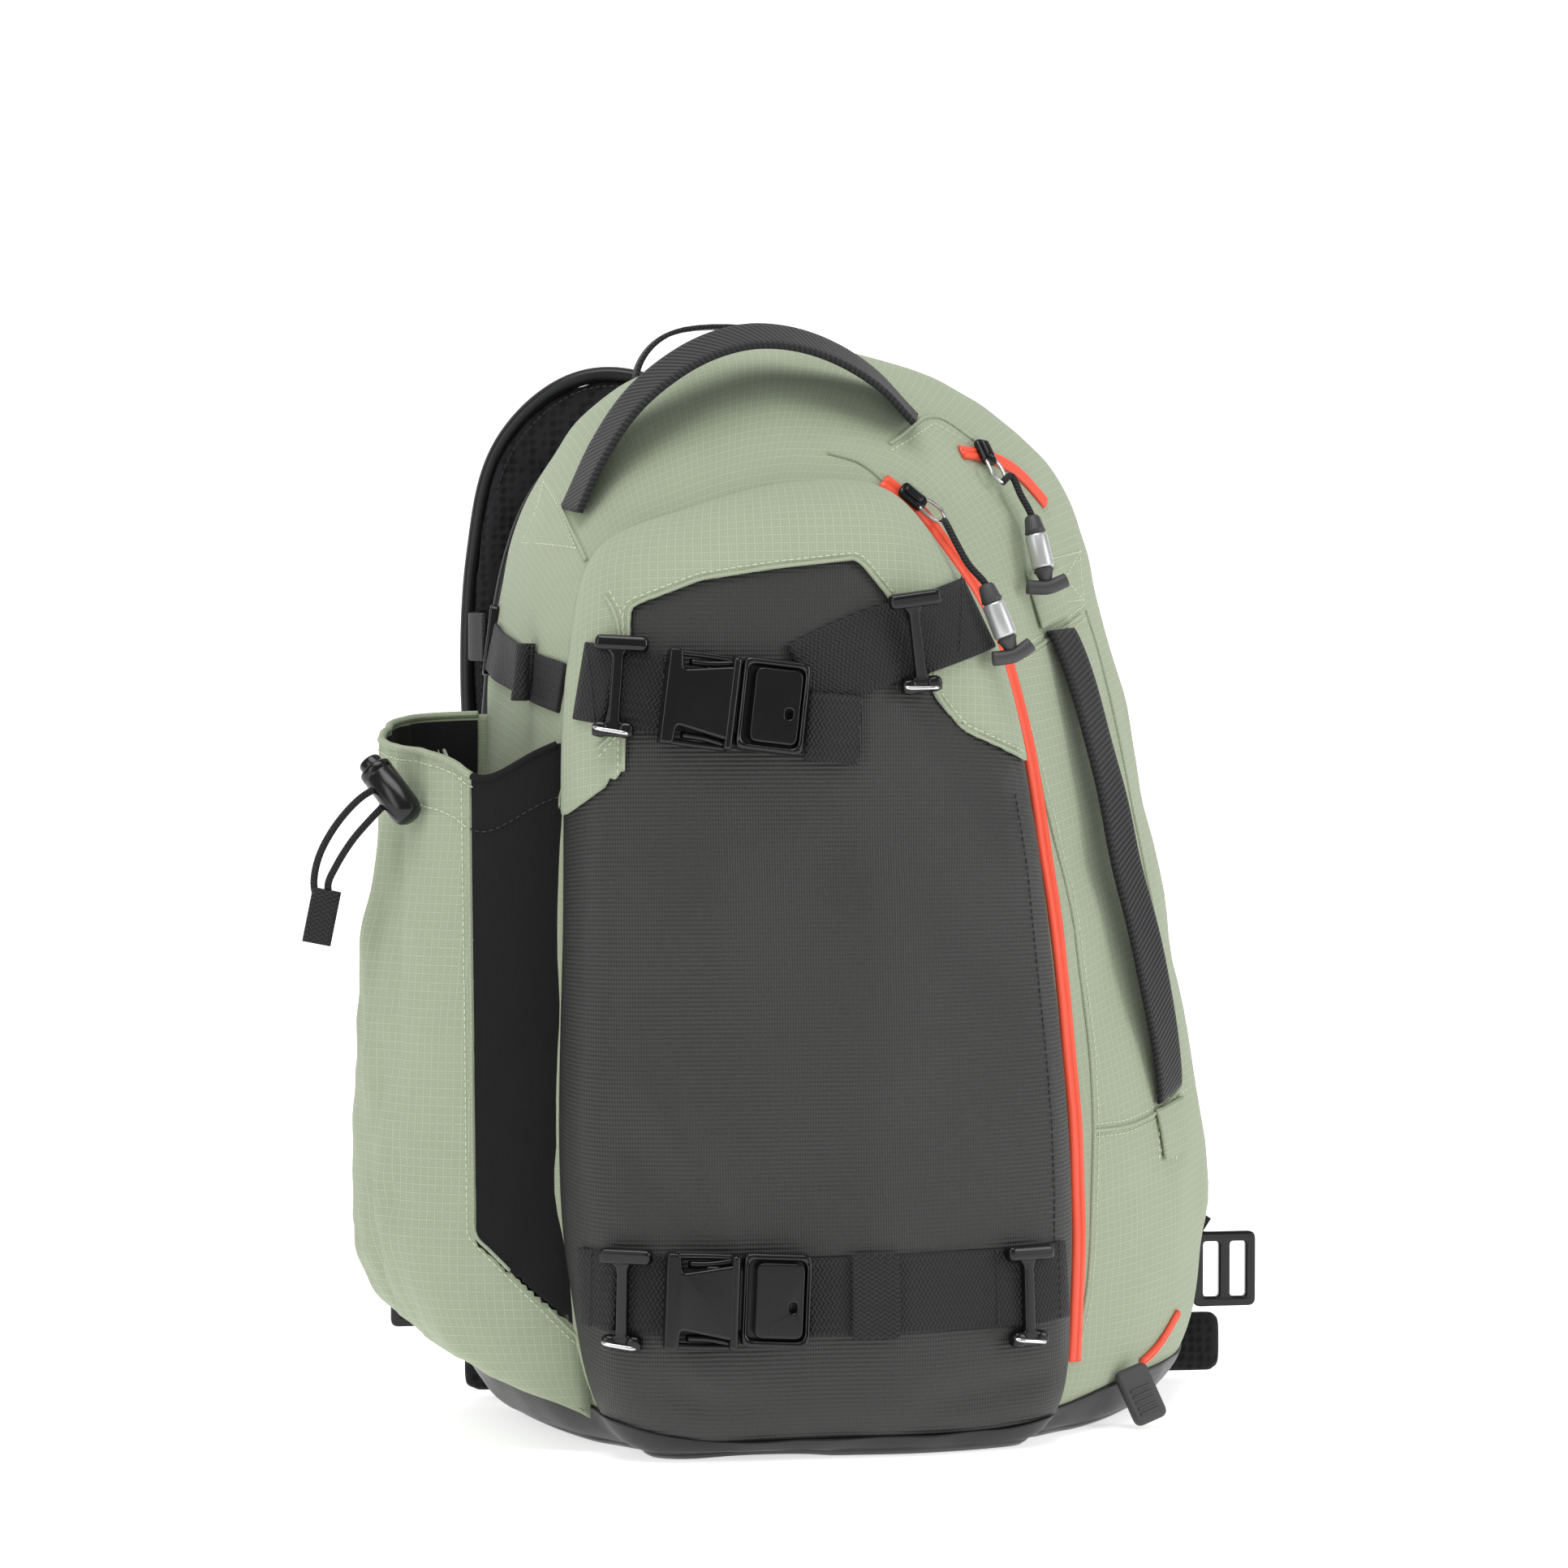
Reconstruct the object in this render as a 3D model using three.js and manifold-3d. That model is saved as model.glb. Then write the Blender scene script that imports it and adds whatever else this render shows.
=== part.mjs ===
// A camera backpack that stands on its base: a padded shell that opens at the back panel,
// a tarpaulin pocket on the front with two buckled straps across it, a stretch bottle
// pocket on the left, two carrying handles, shoulder straps and zip pulls.
// Lengths are millimetres. X runs to the right of the bag, Y to its back, Z up, and the
// origin is the middle of the flat underside.
import * as THREE from 'three';
import { mergeVertices } from 'three/addons/utils/BufferGeometryUtils.js';
import Module from 'manifold-3d';

const wasm = await Module();
wasm.setup();

// Driving dimensions of the bag.
const BODY_HEIGHT = 450;
const BODY_WIDTH = 320;
const BODY_DEPTH = 140;
const BODY_BACK = 78;
const BODY_WALL = 5;
const FRONT_LEAN = 0.07;
const POCKET_DEPTH = 40;
const POCKET_WALL = 2;
const POCKET_FALL = 0.42;
const YOKE_CLOTH = 1;
const BOOT_WALL = 2.6;
const BOTTLE_REACH = 82;
const BOTTLE_WALL = 2;
const BOTTLE_HEIGHT = 290;
const BACK_PAD = 14;
const SPINE_CHANNEL = 34;

// Driving dimensions of the straps, handles and hardware.
const STRAP_WIDTH = 32;
const STRAP_CLOTH = 1.6;
const NARROW_WIDTH = 25;
const HANDLE_WIDTH = 27;
const HANDLE_CLOTH = 3;
const HANDLE_RISE = 30;
const SIDE_HANDLE_WIDTH = 24;
const SIDE_HANDLE_BOW = 9;
const HARNESS_WIDTH = 62;
const HARNESS_PAD = 10;
const HARNESS_MIDDLE = -8;
const HARNESS_DROP = 36;
const HOOK_HEIGHT = 41;
const HOOK_WIDTH = 21;
const HOOK_PLATE = 4;
const BUCKLE_WIDTH = 39;
const BUCKLE_THICKNESS = 11;
const FEMALE_LENGTH = 30;
const MALE_LENGTH = 28;
const ZIP_WIDTH = 8;
const ZIP_HEIGHT = 2;
const CORD_DIAMETER = 3;
const LOCK_LENGTH = 28;
const LOCK_DIAMETER = 14;
const LOCK_TRAVEL = 4;
const PULL_DIAMETER = 10;
const PULL_LENGTH = 36;
const GAP = 0.3;

// Fineness of the curves.
const SPAN_STEPS = 2;

const LIFT = BOOT_WALL + GAP;
const FLAT = { roughness: 0.85, metalness: 0 };
const LOOKS = {
  ripstop: { color: 0x9aa78c, ...FLAT },
  tarp: { color: 0x3a3a39, roughness: 0.6, metalness: 0 },
  stretch: { color: 0x222124, ...FLAT },
  webbing: { color: 0x262628, ...FLAT },
  mesh: { color: 0x1c1c1e, ...FLAT },
  plastic: { color: 0x151517, roughness: 0.35, metalness: 0 },
  zip: { color: 0xf4512e, roughness: 0.5, metalness: 0 },
  cord: { color: 0x1b1b1d, ...FLAT },
  silver: { color: 0xc9cccc, roughness: 0.35, metalness: 0.9 },
  rubber: { color: 0x3f3f40, roughness: 0.6, metalness: 0 },
};

// Outline of the shell seen from the front, clockwise from the left heel, as shares of
// BODY_WIDTH and BODY_HEIGHT: at the back panel, at the ridge and at the front seam.
const OUTLINE = [
  // place, back x and z, ridge x and z, front x and z
  { place: 'left heel', bx: -0.4, bz: 0.022, rx: -0.365, rz: 0.012, fx: -0.285, fz: 0.018 },
  { place: 'left low', bx: -0.469, bz: 0.178, rx: -0.452, rz: 0.165, fx: -0.353, fz: 0.165 },
  { place: 'left middle', bx: -0.428, bz: 0.51, rx: -0.41, rz: 0.5, fx: -0.355, fz: 0.49 },
  { place: 'left high', bx: -0.388, bz: 0.81, rx: -0.372, rz: 0.79, fx: -0.34, fz: 0.725 },
  { place: 'left shoulder', bx: -0.33, bz: 0.905, rx: -0.327, rz: 0.9, fx: -0.303, fz: 0.82 },
  { place: 'top left', bx: -0.187, bz: 0.975, rx: -0.18, rz: 0.982, fx: -0.187, fz: 0.858 },
  { place: 'top', bx: 0.03, bz: 0.99, rx: 0.035, rz: 1.005, fx: -0.05, fz: 0.882 },
  { place: 'top right', bx: 0.24, bz: 0.962, rx: 0.215, rz: 0.958, fx: 0.065, fz: 0.876 },
  { place: 'right shoulder', bx: 0.385, bz: 0.885, rx: 0.315, rz: 0.875, fx: 0.14, fz: 0.82 },
  { place: 'right high', bx: 0.456, bz: 0.764, rx: 0.362, rz: 0.745, fx: 0.211, fz: 0.733 },
  { place: 'right middle', bx: 0.53, bz: 0.51, rx: 0.445, rz: 0.5, fx: 0.28, fz: 0.455 },
  { place: 'right low', bx: 0.592, bz: 0.17, rx: 0.505, rz: 0.165, fx: 0.3, fz: 0.15 },
  { place: 'right heel', bx: 0.5, bz: 0.022, rx: 0.44, rz: 0.012, fx: 0.262, fz: 0.018 },
  { place: 'sole', bx: 0.03, bz: 0, rx: 0.03, rz: 0, fx: 0, fz: 0 },
];
const RIDGE_AT = 0.53;

// Sections of the shell from the back panel to the front seam: depth as a share of
// BODY_DEPTH, and how far the edge is drawn in.
const BODY_SECTIONS = [
  { depth: 0, inset: 6 },
  { depth: 0.035, inset: 2 },
  { depth: 0.1, inset: 0 },
  { depth: 0.3, inset: -1 },
  { depth: 0.53, inset: -1 },
  { depth: 0.76, inset: -1 },
  { depth: 0.93, inset: 0 },
  { depth: 1, inset: 0.5 },
];

// Sections of the front pocket, from its seam outwards: how far out as a share of
// POCKET_DEPTH, and how far drawn in as a share of the same depth.
const POCKET_SECTIONS = [
  { out: 0, inset: 0 },
  { out: 0.3, inset: -0.02 },
  { out: 0.55, inset: 0.07 },
  { out: 0.75, inset: 0.22 },
  { out: 0.89, inset: 0.45 },
  { out: 0.97, inset: 0.85 },
  { out: 1, inset: 1.5 },
];

// Lower border of the green yoke on the front pocket, from left to right, as shares of
// BODY_WIDTH and BODY_HEIGHT.
const YOKE_BORDER = [
  { x: -0.375, z: 0.575 },
  { x: -0.29, z: 0.624 },
  { x: -0.287, z: 0.682 },
  { x: -0.279, z: 0.772 },
  { x: -0.19, z: 0.796 },
  { x: -0.09, z: 0.807 },
  { x: 0.012, z: 0.815 },
  { x: 0.073, z: 0.763 },
  { x: 0.116, z: 0.689 },
  { x: 0.153, z: 0.659 },
  { x: 0.265, z: 0.626 },
];

// Upper border of the boot seen from the front, as shares of the same two lengths.
const BOOT_BORDER = [
  { x: -0.8, z: 0.09 },
  { x: -0.48, z: 0.082 },
  { x: -0.34, z: 0.045 },
  { x: -0.18, z: 0.036 },
  { x: 0.2, z: 0.036 },
  { x: 0.4, z: 0.045 },
  { x: 0.55, z: 0.05 },
  { x: 0.8, z: 0.06 },
];

// Bottle pocket: its reach at each height, as shares of BOTTLE_REACH and of the height
// from its floor to its rim.
const BOTTLE_SECTIONS = [
  { height: 0, reach: 0.1 },
  { height: 0.02, reach: 0.55 },
  { height: 0.05, reach: 0.78 },
  { height: 0.1, reach: 0.92 },
  { height: 0.18, reach: 1 },
  { height: 0.32, reach: 0.99 },
  { height: 0.48, reach: 0.965 },
  { height: 0.62, reach: 0.94 },
  { height: 0.78, reach: 0.87 },
  { height: 0.9, reach: 0.83 },
  { height: 1, reach: 0.82 },
];
// Its floor and rim from the front seam round to the back seam, as shares of BOTTLE_HEIGHT.
const BOTTLE_EDGES = [
  { along: 0, floor: 0.05, rim: 1.01 },
  { along: 0.12, floor: 0.07, rim: 0.955 },
  { along: 0.24, floor: 0.1, rim: 0.985 },
  { along: 0.5, floor: 0.13, rim: 1 },
  { along: 0.75, floor: 0.12, rim: 1.03 },
  { along: 1, floor: 0.1, rim: 1.04 },
];
// Gathers at the foot of the bottle pocket: place and breadth along it, depth as a share
// of BOTTLE_REACH.
const BOTTLE_GATHERS = [
  { along: 0.3, breadth: 0.045, depth: 0.07 },
  { along: 0.42, breadth: 0.05, depth: 0.1 },
  { along: 0.56, breadth: 0.05, depth: 0.06 },
  { along: 0.7, breadth: 0.05, depth: 0.08 },
];
const GATHER_HEIGHT = 0.34;
const BOTTLE_STEPS = 21;

// Turns a closed geometry into a solid that can be joined and cut, and back.
function solidOf(geometry) {
  const bare = geometry.clone();
  bare.deleteAttribute('normal');
  bare.deleteAttribute('uv');
  const merged = mergeVertices(bare, 1e-4);
  const solid = new wasm.Manifold(new wasm.Mesh({
    numProp: 3,
    vertProperties: new Float32Array(merged.attributes.position.array),
    triVerts: new Uint32Array(merged.index.array),
  }));
  return solid;
}

function geometryOf(solid) {
  const mesh = solid.getMesh();
  const geometry = new THREE.BufferGeometry();
  geometry.setAttribute('position', new THREE.BufferAttribute(mesh.vertProperties, 3));
  geometry.setIndex(new THREE.BufferAttribute(mesh.triVerts, 1));
  geometry.computeVertexNormals();
  return geometry;
}

// Keeps the largest body of a cut solid.
function largest(solid) {
  const bodies = solid.decompose();
  bodies.sort((a, b) => b.volume() - a.volume());
  return bodies[0];
}

// Makes a geometry from points and triangles, with its faces turned outwards.
function closedGeometry(points, triangles) {
  let volume = 0;
  const cross = new THREE.Vector3();
  for (const [a, b, c] of triangles) {
    cross.crossVectors(points[b], points[c]);
    volume += points[a].dot(cross);
  }
  const index = triangles.flatMap(([a, b, c]) => (volume < 0 ? [a, c, b] : [a, b, c]));
  const geometry = new THREE.BufferGeometry();
  geometry.setFromPoints(points);
  geometry.setIndex(index);
  geometry.computeVertexNormals();
  return geometry;
}

// Joins closed rings of equal length into a solid, with a fan over each end.
function loft(rings) {
  const size = rings[0].length;
  const points = rings.flat();
  const triangles = [];
  for (let r = 0; r + 1 < rings.length; r += 1) {
    for (let i = 0; i < size; i += 1) {
      const j = (i + 1) % size;
      const a = r * size;
      triangles.push([a + i, a + j, a + size + j], [a + i, a + size + j, a + size + i]);
    }
  }
  for (const end of [0, rings.length - 1]) {
    const middle = new THREE.Vector3();
    rings[end].forEach((p) => middle.addScaledVector(p, 1 / size));
    const centre = points.push(middle) - 1;
    for (let i = 0; i < size; i += 1) {
      const a = end * size + i;
      const b = end * size + ((i + 1) % size);
      triangles.push(end === 0 ? [centre, b, a] : [centre, a, b]);
    }
  }
  return closedGeometry(points, triangles);
}

// Makes a solid between two grids of points of the same shape.
function sheetSolid(lower, upper) {
  const rows = lower.length;
  const columns = lower[0].length;
  const points = [...lower.flat(), ...upper.flat()];
  const top = rows * columns;
  const at = (i, j) => i * columns + j;
  const triangles = [];
  for (let i = 0; i + 1 < rows; i += 1) {
    for (let j = 0; j + 1 < columns; j += 1) {
      const [a, b, c, d] = [at(i, j), at(i + 1, j), at(i + 1, j + 1), at(i, j + 1)];
      triangles.push([a, c, b], [a, d, c], [top + a, top + b, top + c], [top + a, top + c, top + d]);
    }
  }
  const border = [];
  for (let j = 0; j + 1 < columns; j += 1) border.push(at(0, j));
  for (let i = 0; i + 1 < rows; i += 1) border.push(at(i, columns - 1));
  for (let j = columns - 1; j > 0; j -= 1) border.push(at(rows - 1, j));
  for (let i = rows - 1; i > 0; i -= 1) border.push(at(i, 0));
  border.forEach((a, k) => {
    const b = border[(k + 1) % border.length];
    triangles.push([b, a, top + a], [b, top + a, top + b]);
  });
  return closedGeometry(points, triangles);
}

// Extrudes a flat outline with rounded corners, its middle at the origin.
function plate(shape, thickness, bevel = 0.6) {
  const geometry = new THREE.ExtrudeGeometry(shape, {
    depth: thickness - 2 * bevel,
    bevelEnabled: bevel > 0,
    bevelThickness: bevel,
    bevelSize: bevel,
    bevelOffset: -bevel,
    bevelSegments: 1,
    curveSegments: 1,
  });
  geometry.translate(0, 0, -(thickness - 2 * bevel) / 2);
  return geometry;
}

function roundedOutline(width, height, radius) {
  const [w, h] = [width / 2, height / 2];
  const path = new THREE.Shape();
  path.moveTo(-w + radius, -h);
  path.lineTo(w - radius, -h);
  path.absarc(w - radius, -h + radius, radius, -Math.PI / 2, 0);
  path.lineTo(w, h - radius);
  path.absarc(w - radius, h - radius, radius, 0, Math.PI / 2);
  path.lineTo(-w + radius, h);
  path.absarc(-w + radius, h - radius, radius, Math.PI / 2, Math.PI);
  path.lineTo(-w, -h + radius);
  path.absarc(-w + radius, -h + radius, radius, Math.PI, 1.5 * Math.PI);
  return path;
}

function roundedBox(width, height, thickness, radius) {
  return plate(roundedOutline(width, height, radius), thickness);
}

// Cuts two upright slots through a plate, one on each side of its middle bar.
function slotted(geometry, away, width, height) {
  let solid = solidOf(geometry);
  for (const side of [-1, 1]) {
    const slot = new THREE.BoxGeometry(width, height, 2 * HOOK_HEIGHT);
    solid = solid.subtract(solidOf(slot.translate(side * away, 0, 0)));
  }
  return geometryOf(solid);
}

function polygonPrism(points, depth) {
  const shape = new THREE.Shape(points.map(([x, y]) => new THREE.Vector2(x, y)));
  const geometry = new THREE.ExtrudeGeometry(shape, { depth, bevelEnabled: false });
  return geometry;
}

// A prism whose outline lies in the front view and which runs from front to back.
function frontPrism(points, front, back) {
  const geometry = polygonPrism(points, back - front);
  geometry.rotateX(Math.PI / 2);
  geometry.translate(0, back, 0);
  return solidOf(geometry);
}

// A round cord, tube or wire along a smooth curve through the given points.
function tube(points, diameter, sides, steps) {
  const circle = new THREE.Shape();
  for (let k = 0; k < sides; k += 1) {
    const angle = (2 * Math.PI * k) / sides;
    const [x, y] = [Math.cos(angle) * diameter / 2, Math.sin(angle) * diameter / 2];
    if (k === 0) circle.moveTo(x, y);
    else circle.lineTo(x, y);
  }
  const extrudePath = new THREE.CatmullRomCurve3(points);
  return new THREE.ExtrudeGeometry(circle, { steps, extrudePath, curveSegments: 1 });
}

// Straight-line interpolation in a table by one of its columns.
function along(table, key, column, value) {
  const last = table.length - 1;
  for (let i = 0; i < last; i += 1) {
    const [a, b] = [table[i], table[i + 1]];
    if (value <= b[key] || i === last - 1) {
      const share = (value - a[key]) / (b[key] - a[key]);
      return a[column] + (b[column] - a[column]) * THREE.MathUtils.clamp(share, 0, 1);
    }
  }
  return table[last][column];
}

// The shell's outline at a depth, from the three outlines of the table.
function outlineAt(depth) {
  const back = ((depth - RIDGE_AT) * (depth - 1)) / RIDGE_AT;
  const ridge = (depth * (depth - 1)) / (RIDGE_AT * (RIDGE_AT - 1));
  const front = (depth * (depth - RIDGE_AT)) / (1 - RIDGE_AT);
  const corners = OUTLINE.map((row) => new THREE.Vector3(
    BODY_WIDTH * (row.bx * back + row.rx * ridge + row.fx * front),
    0,
    BODY_HEIGHT * (row.bz * back + row.rz * ridge + row.fz * front),
  ));
  const curve = new THREE.CatmullRomCurve3(corners, true, 'centripetal');
  const count = OUTLINE.length * SPAN_STEPS;
  return Array.from({ length: count }, (_, k) => curve.getPoint(k / count));
}

// Grows or shrinks a ring about its middle by a distance at its sides.
function resized(ring, grow) {
  const box = new THREE.Box3().setFromPoints(ring);
  const middle = box.getCenter(new THREE.Vector3());
  const half = box.getSize(new THREE.Vector3()).multiplyScalar(0.5);
  return ring.map((p) => new THREE.Vector3(
    middle.x + (p.x - middle.x) * (1 + grow / half.x),
    p.y,
    middle.z + (p.z - middle.z) * (1 + grow / half.z),
  ));
}

// Y of the shell at a depth and height: the front leans back as it rises.
function bodyY(depth, z) {
  return BODY_BACK - BODY_DEPTH * depth + FRONT_LEAN * depth * z;
}

// The shell as a solid, grown by a distance; a negative one gives the room inside,
// which then runs out through the back.
function bodySolid(grow) {
  const rings = BODY_SECTIONS.map(({ depth, inset }) => {
    const ring = resized(outlineAt(depth), grow - inset);
    const shift = grow * (1 - 2 * depth);
    return ring.map((p) => new THREE.Vector3(
      p.x,
      bodyY(depth, p.z) + shift,
      Math.max(p.z, LIFT - grow),
    ));
  });
  if (grow < 0) rings.unshift(rings[0].map((p) => p.clone().setY(BODY_BACK + 2 * BODY_WALL)));
  return solidOf(loft(rings));
}

// The front pocket as a solid, grown by a distance, likewise open towards the shell.
function pocketSolid(grow) {
  const seam = outlineAt(1);
  const rings = POCKET_SECTIONS.map(({ out, inset }) => {
    const ring = resized(seam, grow - inset * POCKET_DEPTH);
    return ring.map((p) => {
      const side = THREE.MathUtils.smoothstep(p.x, BODY_WIDTH * 0.02, BODY_WIDTH * 0.32);
      const bulge = POCKET_DEPTH * out * (1 - POCKET_FALL * side);
      const shift = out > 0 ? -grow : Math.max(0, grow);
      const y = bodyY(1, p.z) - GAP - bulge + shift;
      return new THREE.Vector3(p.x, y, Math.max(p.z, LIFT - grow));
    });
  });
  if (grow < 0) rings.unshift(rings[0].map((p) => p.clone().setY(p.y + POCKET_DEPTH / 2)));
  return solidOf(loft(rings));
}

const body = bodySolid(0);
const bodyClear = bodySolid(GAP);
const pocket = pocketSolid(0);
const pocketClear = pocketSolid(GAP);

// The scene graph, and the solids that straps and fittings are laid on.
const backpack = new THREE.Group();
backpack.name = 'camera_backpack';
const laidOn = { front: [], side: [] };
const placed = {};
const SETTLE_STEPS = 7;
const SETTLE_REACH = 12;

function add(name, look, geometry, frame = null) {
  const bare = geometry.clone();
  const offset = new THREE.Vector3();
  if (!frame) {
    bare.computeBoundingBox();
    bare.boundingBox.getCenter(offset);
    bare.translate(-offset.x, -offset.y, -offset.z);
  }
  const mesh = new THREE.Mesh(bare, new THREE.MeshStandardMaterial(LOOKS[look]));
  mesh.name = name;
  if (frame) frame.decompose(mesh.position, mesh.quaternion, mesh.scale);
  else mesh.position.copy(offset);
  backpack.add(mesh);
  mesh.updateMatrixWorld();
  placed[name] = solidOf(bare.clone().applyMatrix4(mesh.matrixWorld));
}

// Moves a frame along a direction until the geometry in it lies GAP from its carriers.
function settled(geometry, frame, direction, carriers, start = 0) {
  const moved = frame.clone();
  const step = (distance) => moved.premultiply(
    new THREE.Matrix4().makeTranslation(...direction.clone().multiplyScalar(distance).toArray()),
  );
  step(-start);
  for (let k = 0; k < SETTLE_STEPS; k += 1) {
    const solid = solidOf(geometry.clone().applyMatrix4(moved));
    const gaps = carriers.map((name) => solid.minGap(placed[name], SETTLE_REACH));
    step(Math.min(...gaps) - GAP);
  }
  return moved;
}

// A hidden copy of a solid that straps and fittings find their seat on.
function seat(solid) {
  const material = new THREE.MeshBasicMaterial({ side: THREE.DoubleSide });
  return new THREE.Mesh(geometryOf(solid), material);
}

// Shell, front pocket, yoke, back panel and boot.
const shell = body.subtract(bodySolid(-BODY_WALL));
add('main_body', 'ripstop', geometryOf(shell));
const pocketShell = pocket.subtract(pocketSolid(-POCKET_WALL));
add('front_pocket', 'tarp', geometryOf(pocketShell));

// Places along the depth of the shell, from the back panel forwards.
const deep = (share) => BODY_BACK - share * BODY_DEPTH;
const onBag = ({ x, z }) => [x * BODY_WIDTH, z * BODY_HEIGHT];
function yokePrism(grow) {
  const border = YOKE_BORDER.map(onBag).map(([x, z]) => [x, z - grow]);
  const outer = [[BODY_WIDTH, border.at(-1)[1]], [BODY_WIDTH, 2 * BODY_HEIGHT],
    [-BODY_WIDTH, 2 * BODY_HEIGHT], [-BODY_WIDTH, border[0][1]]];
  return frontPrism([...border, ...outer], -BODY_DEPTH - POCKET_DEPTH, 0);
}
const yoke = pocketSolid(GAP + YOKE_CLOTH).subtract(pocketClear).subtract(bodyClear);
const yokeClear = pocketSolid(2 * GAP + YOKE_CLOTH).intersect(yokePrism(GAP));
add('front_yoke', 'ripstop', geometryOf(largest(yoke.intersect(yokePrism(0)))));

const PAD_SECTIONS = [
  { out: 0, inset: 7 },
  { out: 0.25, inset: 3 },
  { out: 0.7, inset: 3 },
  { out: 1, inset: 10 },
];
function backPanel(grow) {
  const rings = PAD_SECTIONS.map(({ out, inset }) => resized(outlineAt(0), grow - inset)
    .map((p) => new THREE.Vector3(
      p.x,
      BODY_BACK + GAP + out * BACK_PAD + grow * (2 * out - 1),
      Math.max(p.z, LIFT - grow),
    )));
  const panel = solidOf(loft(rings));
  if (grow > 0) return panel;
  const channel = roundedBox(SPINE_CHANNEL, BODY_HEIGHT * 0.8, BACK_PAD, SPINE_CHANNEL / 3);
  channel.rotateX(Math.PI / 2);
  channel.translate(HARNESS_MIDDLE, BODY_BACK + 1.1 * BACK_PAD, BODY_HEIGHT * 0.47);
  return panel.subtract(solidOf(channel));
}
add('back_panel', 'mesh', geometryOf(backPanel(0)));
const panelClear = backPanel(GAP);

const bootBorder = BOOT_BORDER.map(onBag);
const bootPrism = frontPrism(
  [...bootBorder, [BODY_WIDTH * 0.8, -LIFT], [-BODY_WIDTH * 0.8, -LIFT]],
  -BODY_DEPTH - POCKET_DEPTH,
  2 * BODY_BACK,
);
const bootOuter = bodySolid(LIFT).add(pocketSolid(LIFT)).intersect(bootPrism);
const bootShell = bootOuter.subtract(bodyClear.add(pocketClear));
const bootTrim = solidOf(roundedBox(2 * BODY_WIDTH, 4 * BODY_WIDTH, BODY_HEIGHT, 1)
  .translate(0, BODY_BACK + GAP / 2 + 2 * BODY_WIDTH, 0));
const boot = largest(bootShell.subtract(bootTrim));
const bootClear = bodySolid(LIFT + GAP).add(pocketSolid(LIFT + GAP)).intersect(
  frontPrism(
    [...bootBorder.map(([x, z]) => [x, z + GAP]), [BODY_WIDTH * 0.8, -2 * LIFT],
      [-BODY_WIDTH * 0.8, -2 * LIFT]],
    -BODY_DEPTH - POCKET_DEPTH,
    2 * BODY_BACK,
  ),
);
add('base_boot', 'tarp', geometryOf(boot));

// Bottle pocket: a wall that runs from the front seam round to the back of the left side.
const BOTTLE_FRONT = new THREE.Vector2(-0.325 * BODY_WIDTH, deep(0.887));
const BOTTLE_BACK = new THREE.Vector2(-0.385 * BODY_WIDTH, deep(0.087));
const BOTTLE_SQUARE = 0.58;
const BOTTLE_FRONT_HEIGHT = 0.69 * BOTTLE_HEIGHT;

function bottlePoint(share, height, inward) {
  const floor = BOTTLE_HEIGHT * along(BOTTLE_EDGES, 'along', 'floor', share);
  const rim = BOTTLE_HEIGHT * along(BOTTLE_EDGES, 'along', 'rim', share);
  const fade = Math.max(0, 1 - height / GATHER_HEIGHT) ** 1.5;
  let reach = along(BOTTLE_SECTIONS, 'height', 'reach', height);
  for (const gather of BOTTLE_GATHERS) {
    const away = (share - gather.along) / gather.breadth;
    reach -= gather.depth * fade * Math.exp(-away * away) * Math.min(1, 8 * height);
  }
  const swell = Math.sin(Math.PI * share) ** BOTTLE_SQUARE;
  const x = THREE.MathUtils.lerp(BOTTLE_FRONT.x, BOTTLE_BACK.x, share)
    - (BOTTLE_REACH * reach - inward) * swell;
  const turn = (1 - Math.cos(Math.PI * share)) / 2;
  const frontY = BOTTLE_FRONT.y
    + FRONT_LEAN * (floor + height * (rim - floor) - BOTTLE_FRONT_HEIGHT);
  const y = THREE.MathUtils.lerp(frontY + inward, BOTTLE_BACK.y - inward, turn);
  const lift = height === 0 ? inward : 0;
  return new THREE.Vector3(x, y, floor + height * (rim - floor) + lift);
}

function bottleWall(grow) {
  const grid = (inward) => BOTTLE_SECTIONS.map(({ height }) => Array.from(
    { length: BOTTLE_STEPS + 1 },
    (_, k) => bottlePoint(k / BOTTLE_STEPS, height, inward),
  ));
  return solidOf(sheetSolid(grid(BOTTLE_WALL + grow), grid(-grow)));
}
const GUSSET_BORDER = [
  { x: -0.469, z: 0.192 },
  { x: -0.345, z: 0.117 },
  { x: -0.2, z: 0.02 },
  { x: -0.2, z: 0.8 },
  { x: -0.469, z: 0.8 },
];
const bottle = bottleWall(0).subtract(bodyClear).subtract(pocketClear).subtract(bootClear)
  .subtract(yokeClear);
const gussetFront = -BODY_DEPTH;
const gussetBack = deep(0.657);
const gussetPrism = frontPrism(GUSSET_BORDER.map(onBag), gussetFront, gussetBack);
const gussetKerf = frontPrism(
  GUSSET_BORDER.map(onBag).map(([x, z]) => [x - GAP, z - GAP]),
  gussetFront,
  gussetBack + GAP,
);
add('bottle_pocket_outer', 'ripstop', geometryOf(largest(bottle.subtract(gussetKerf))));
add('bottle_pocket_gusset', 'stretch', geometryOf(largest(bottle.intersect(gussetPrism))));

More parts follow.
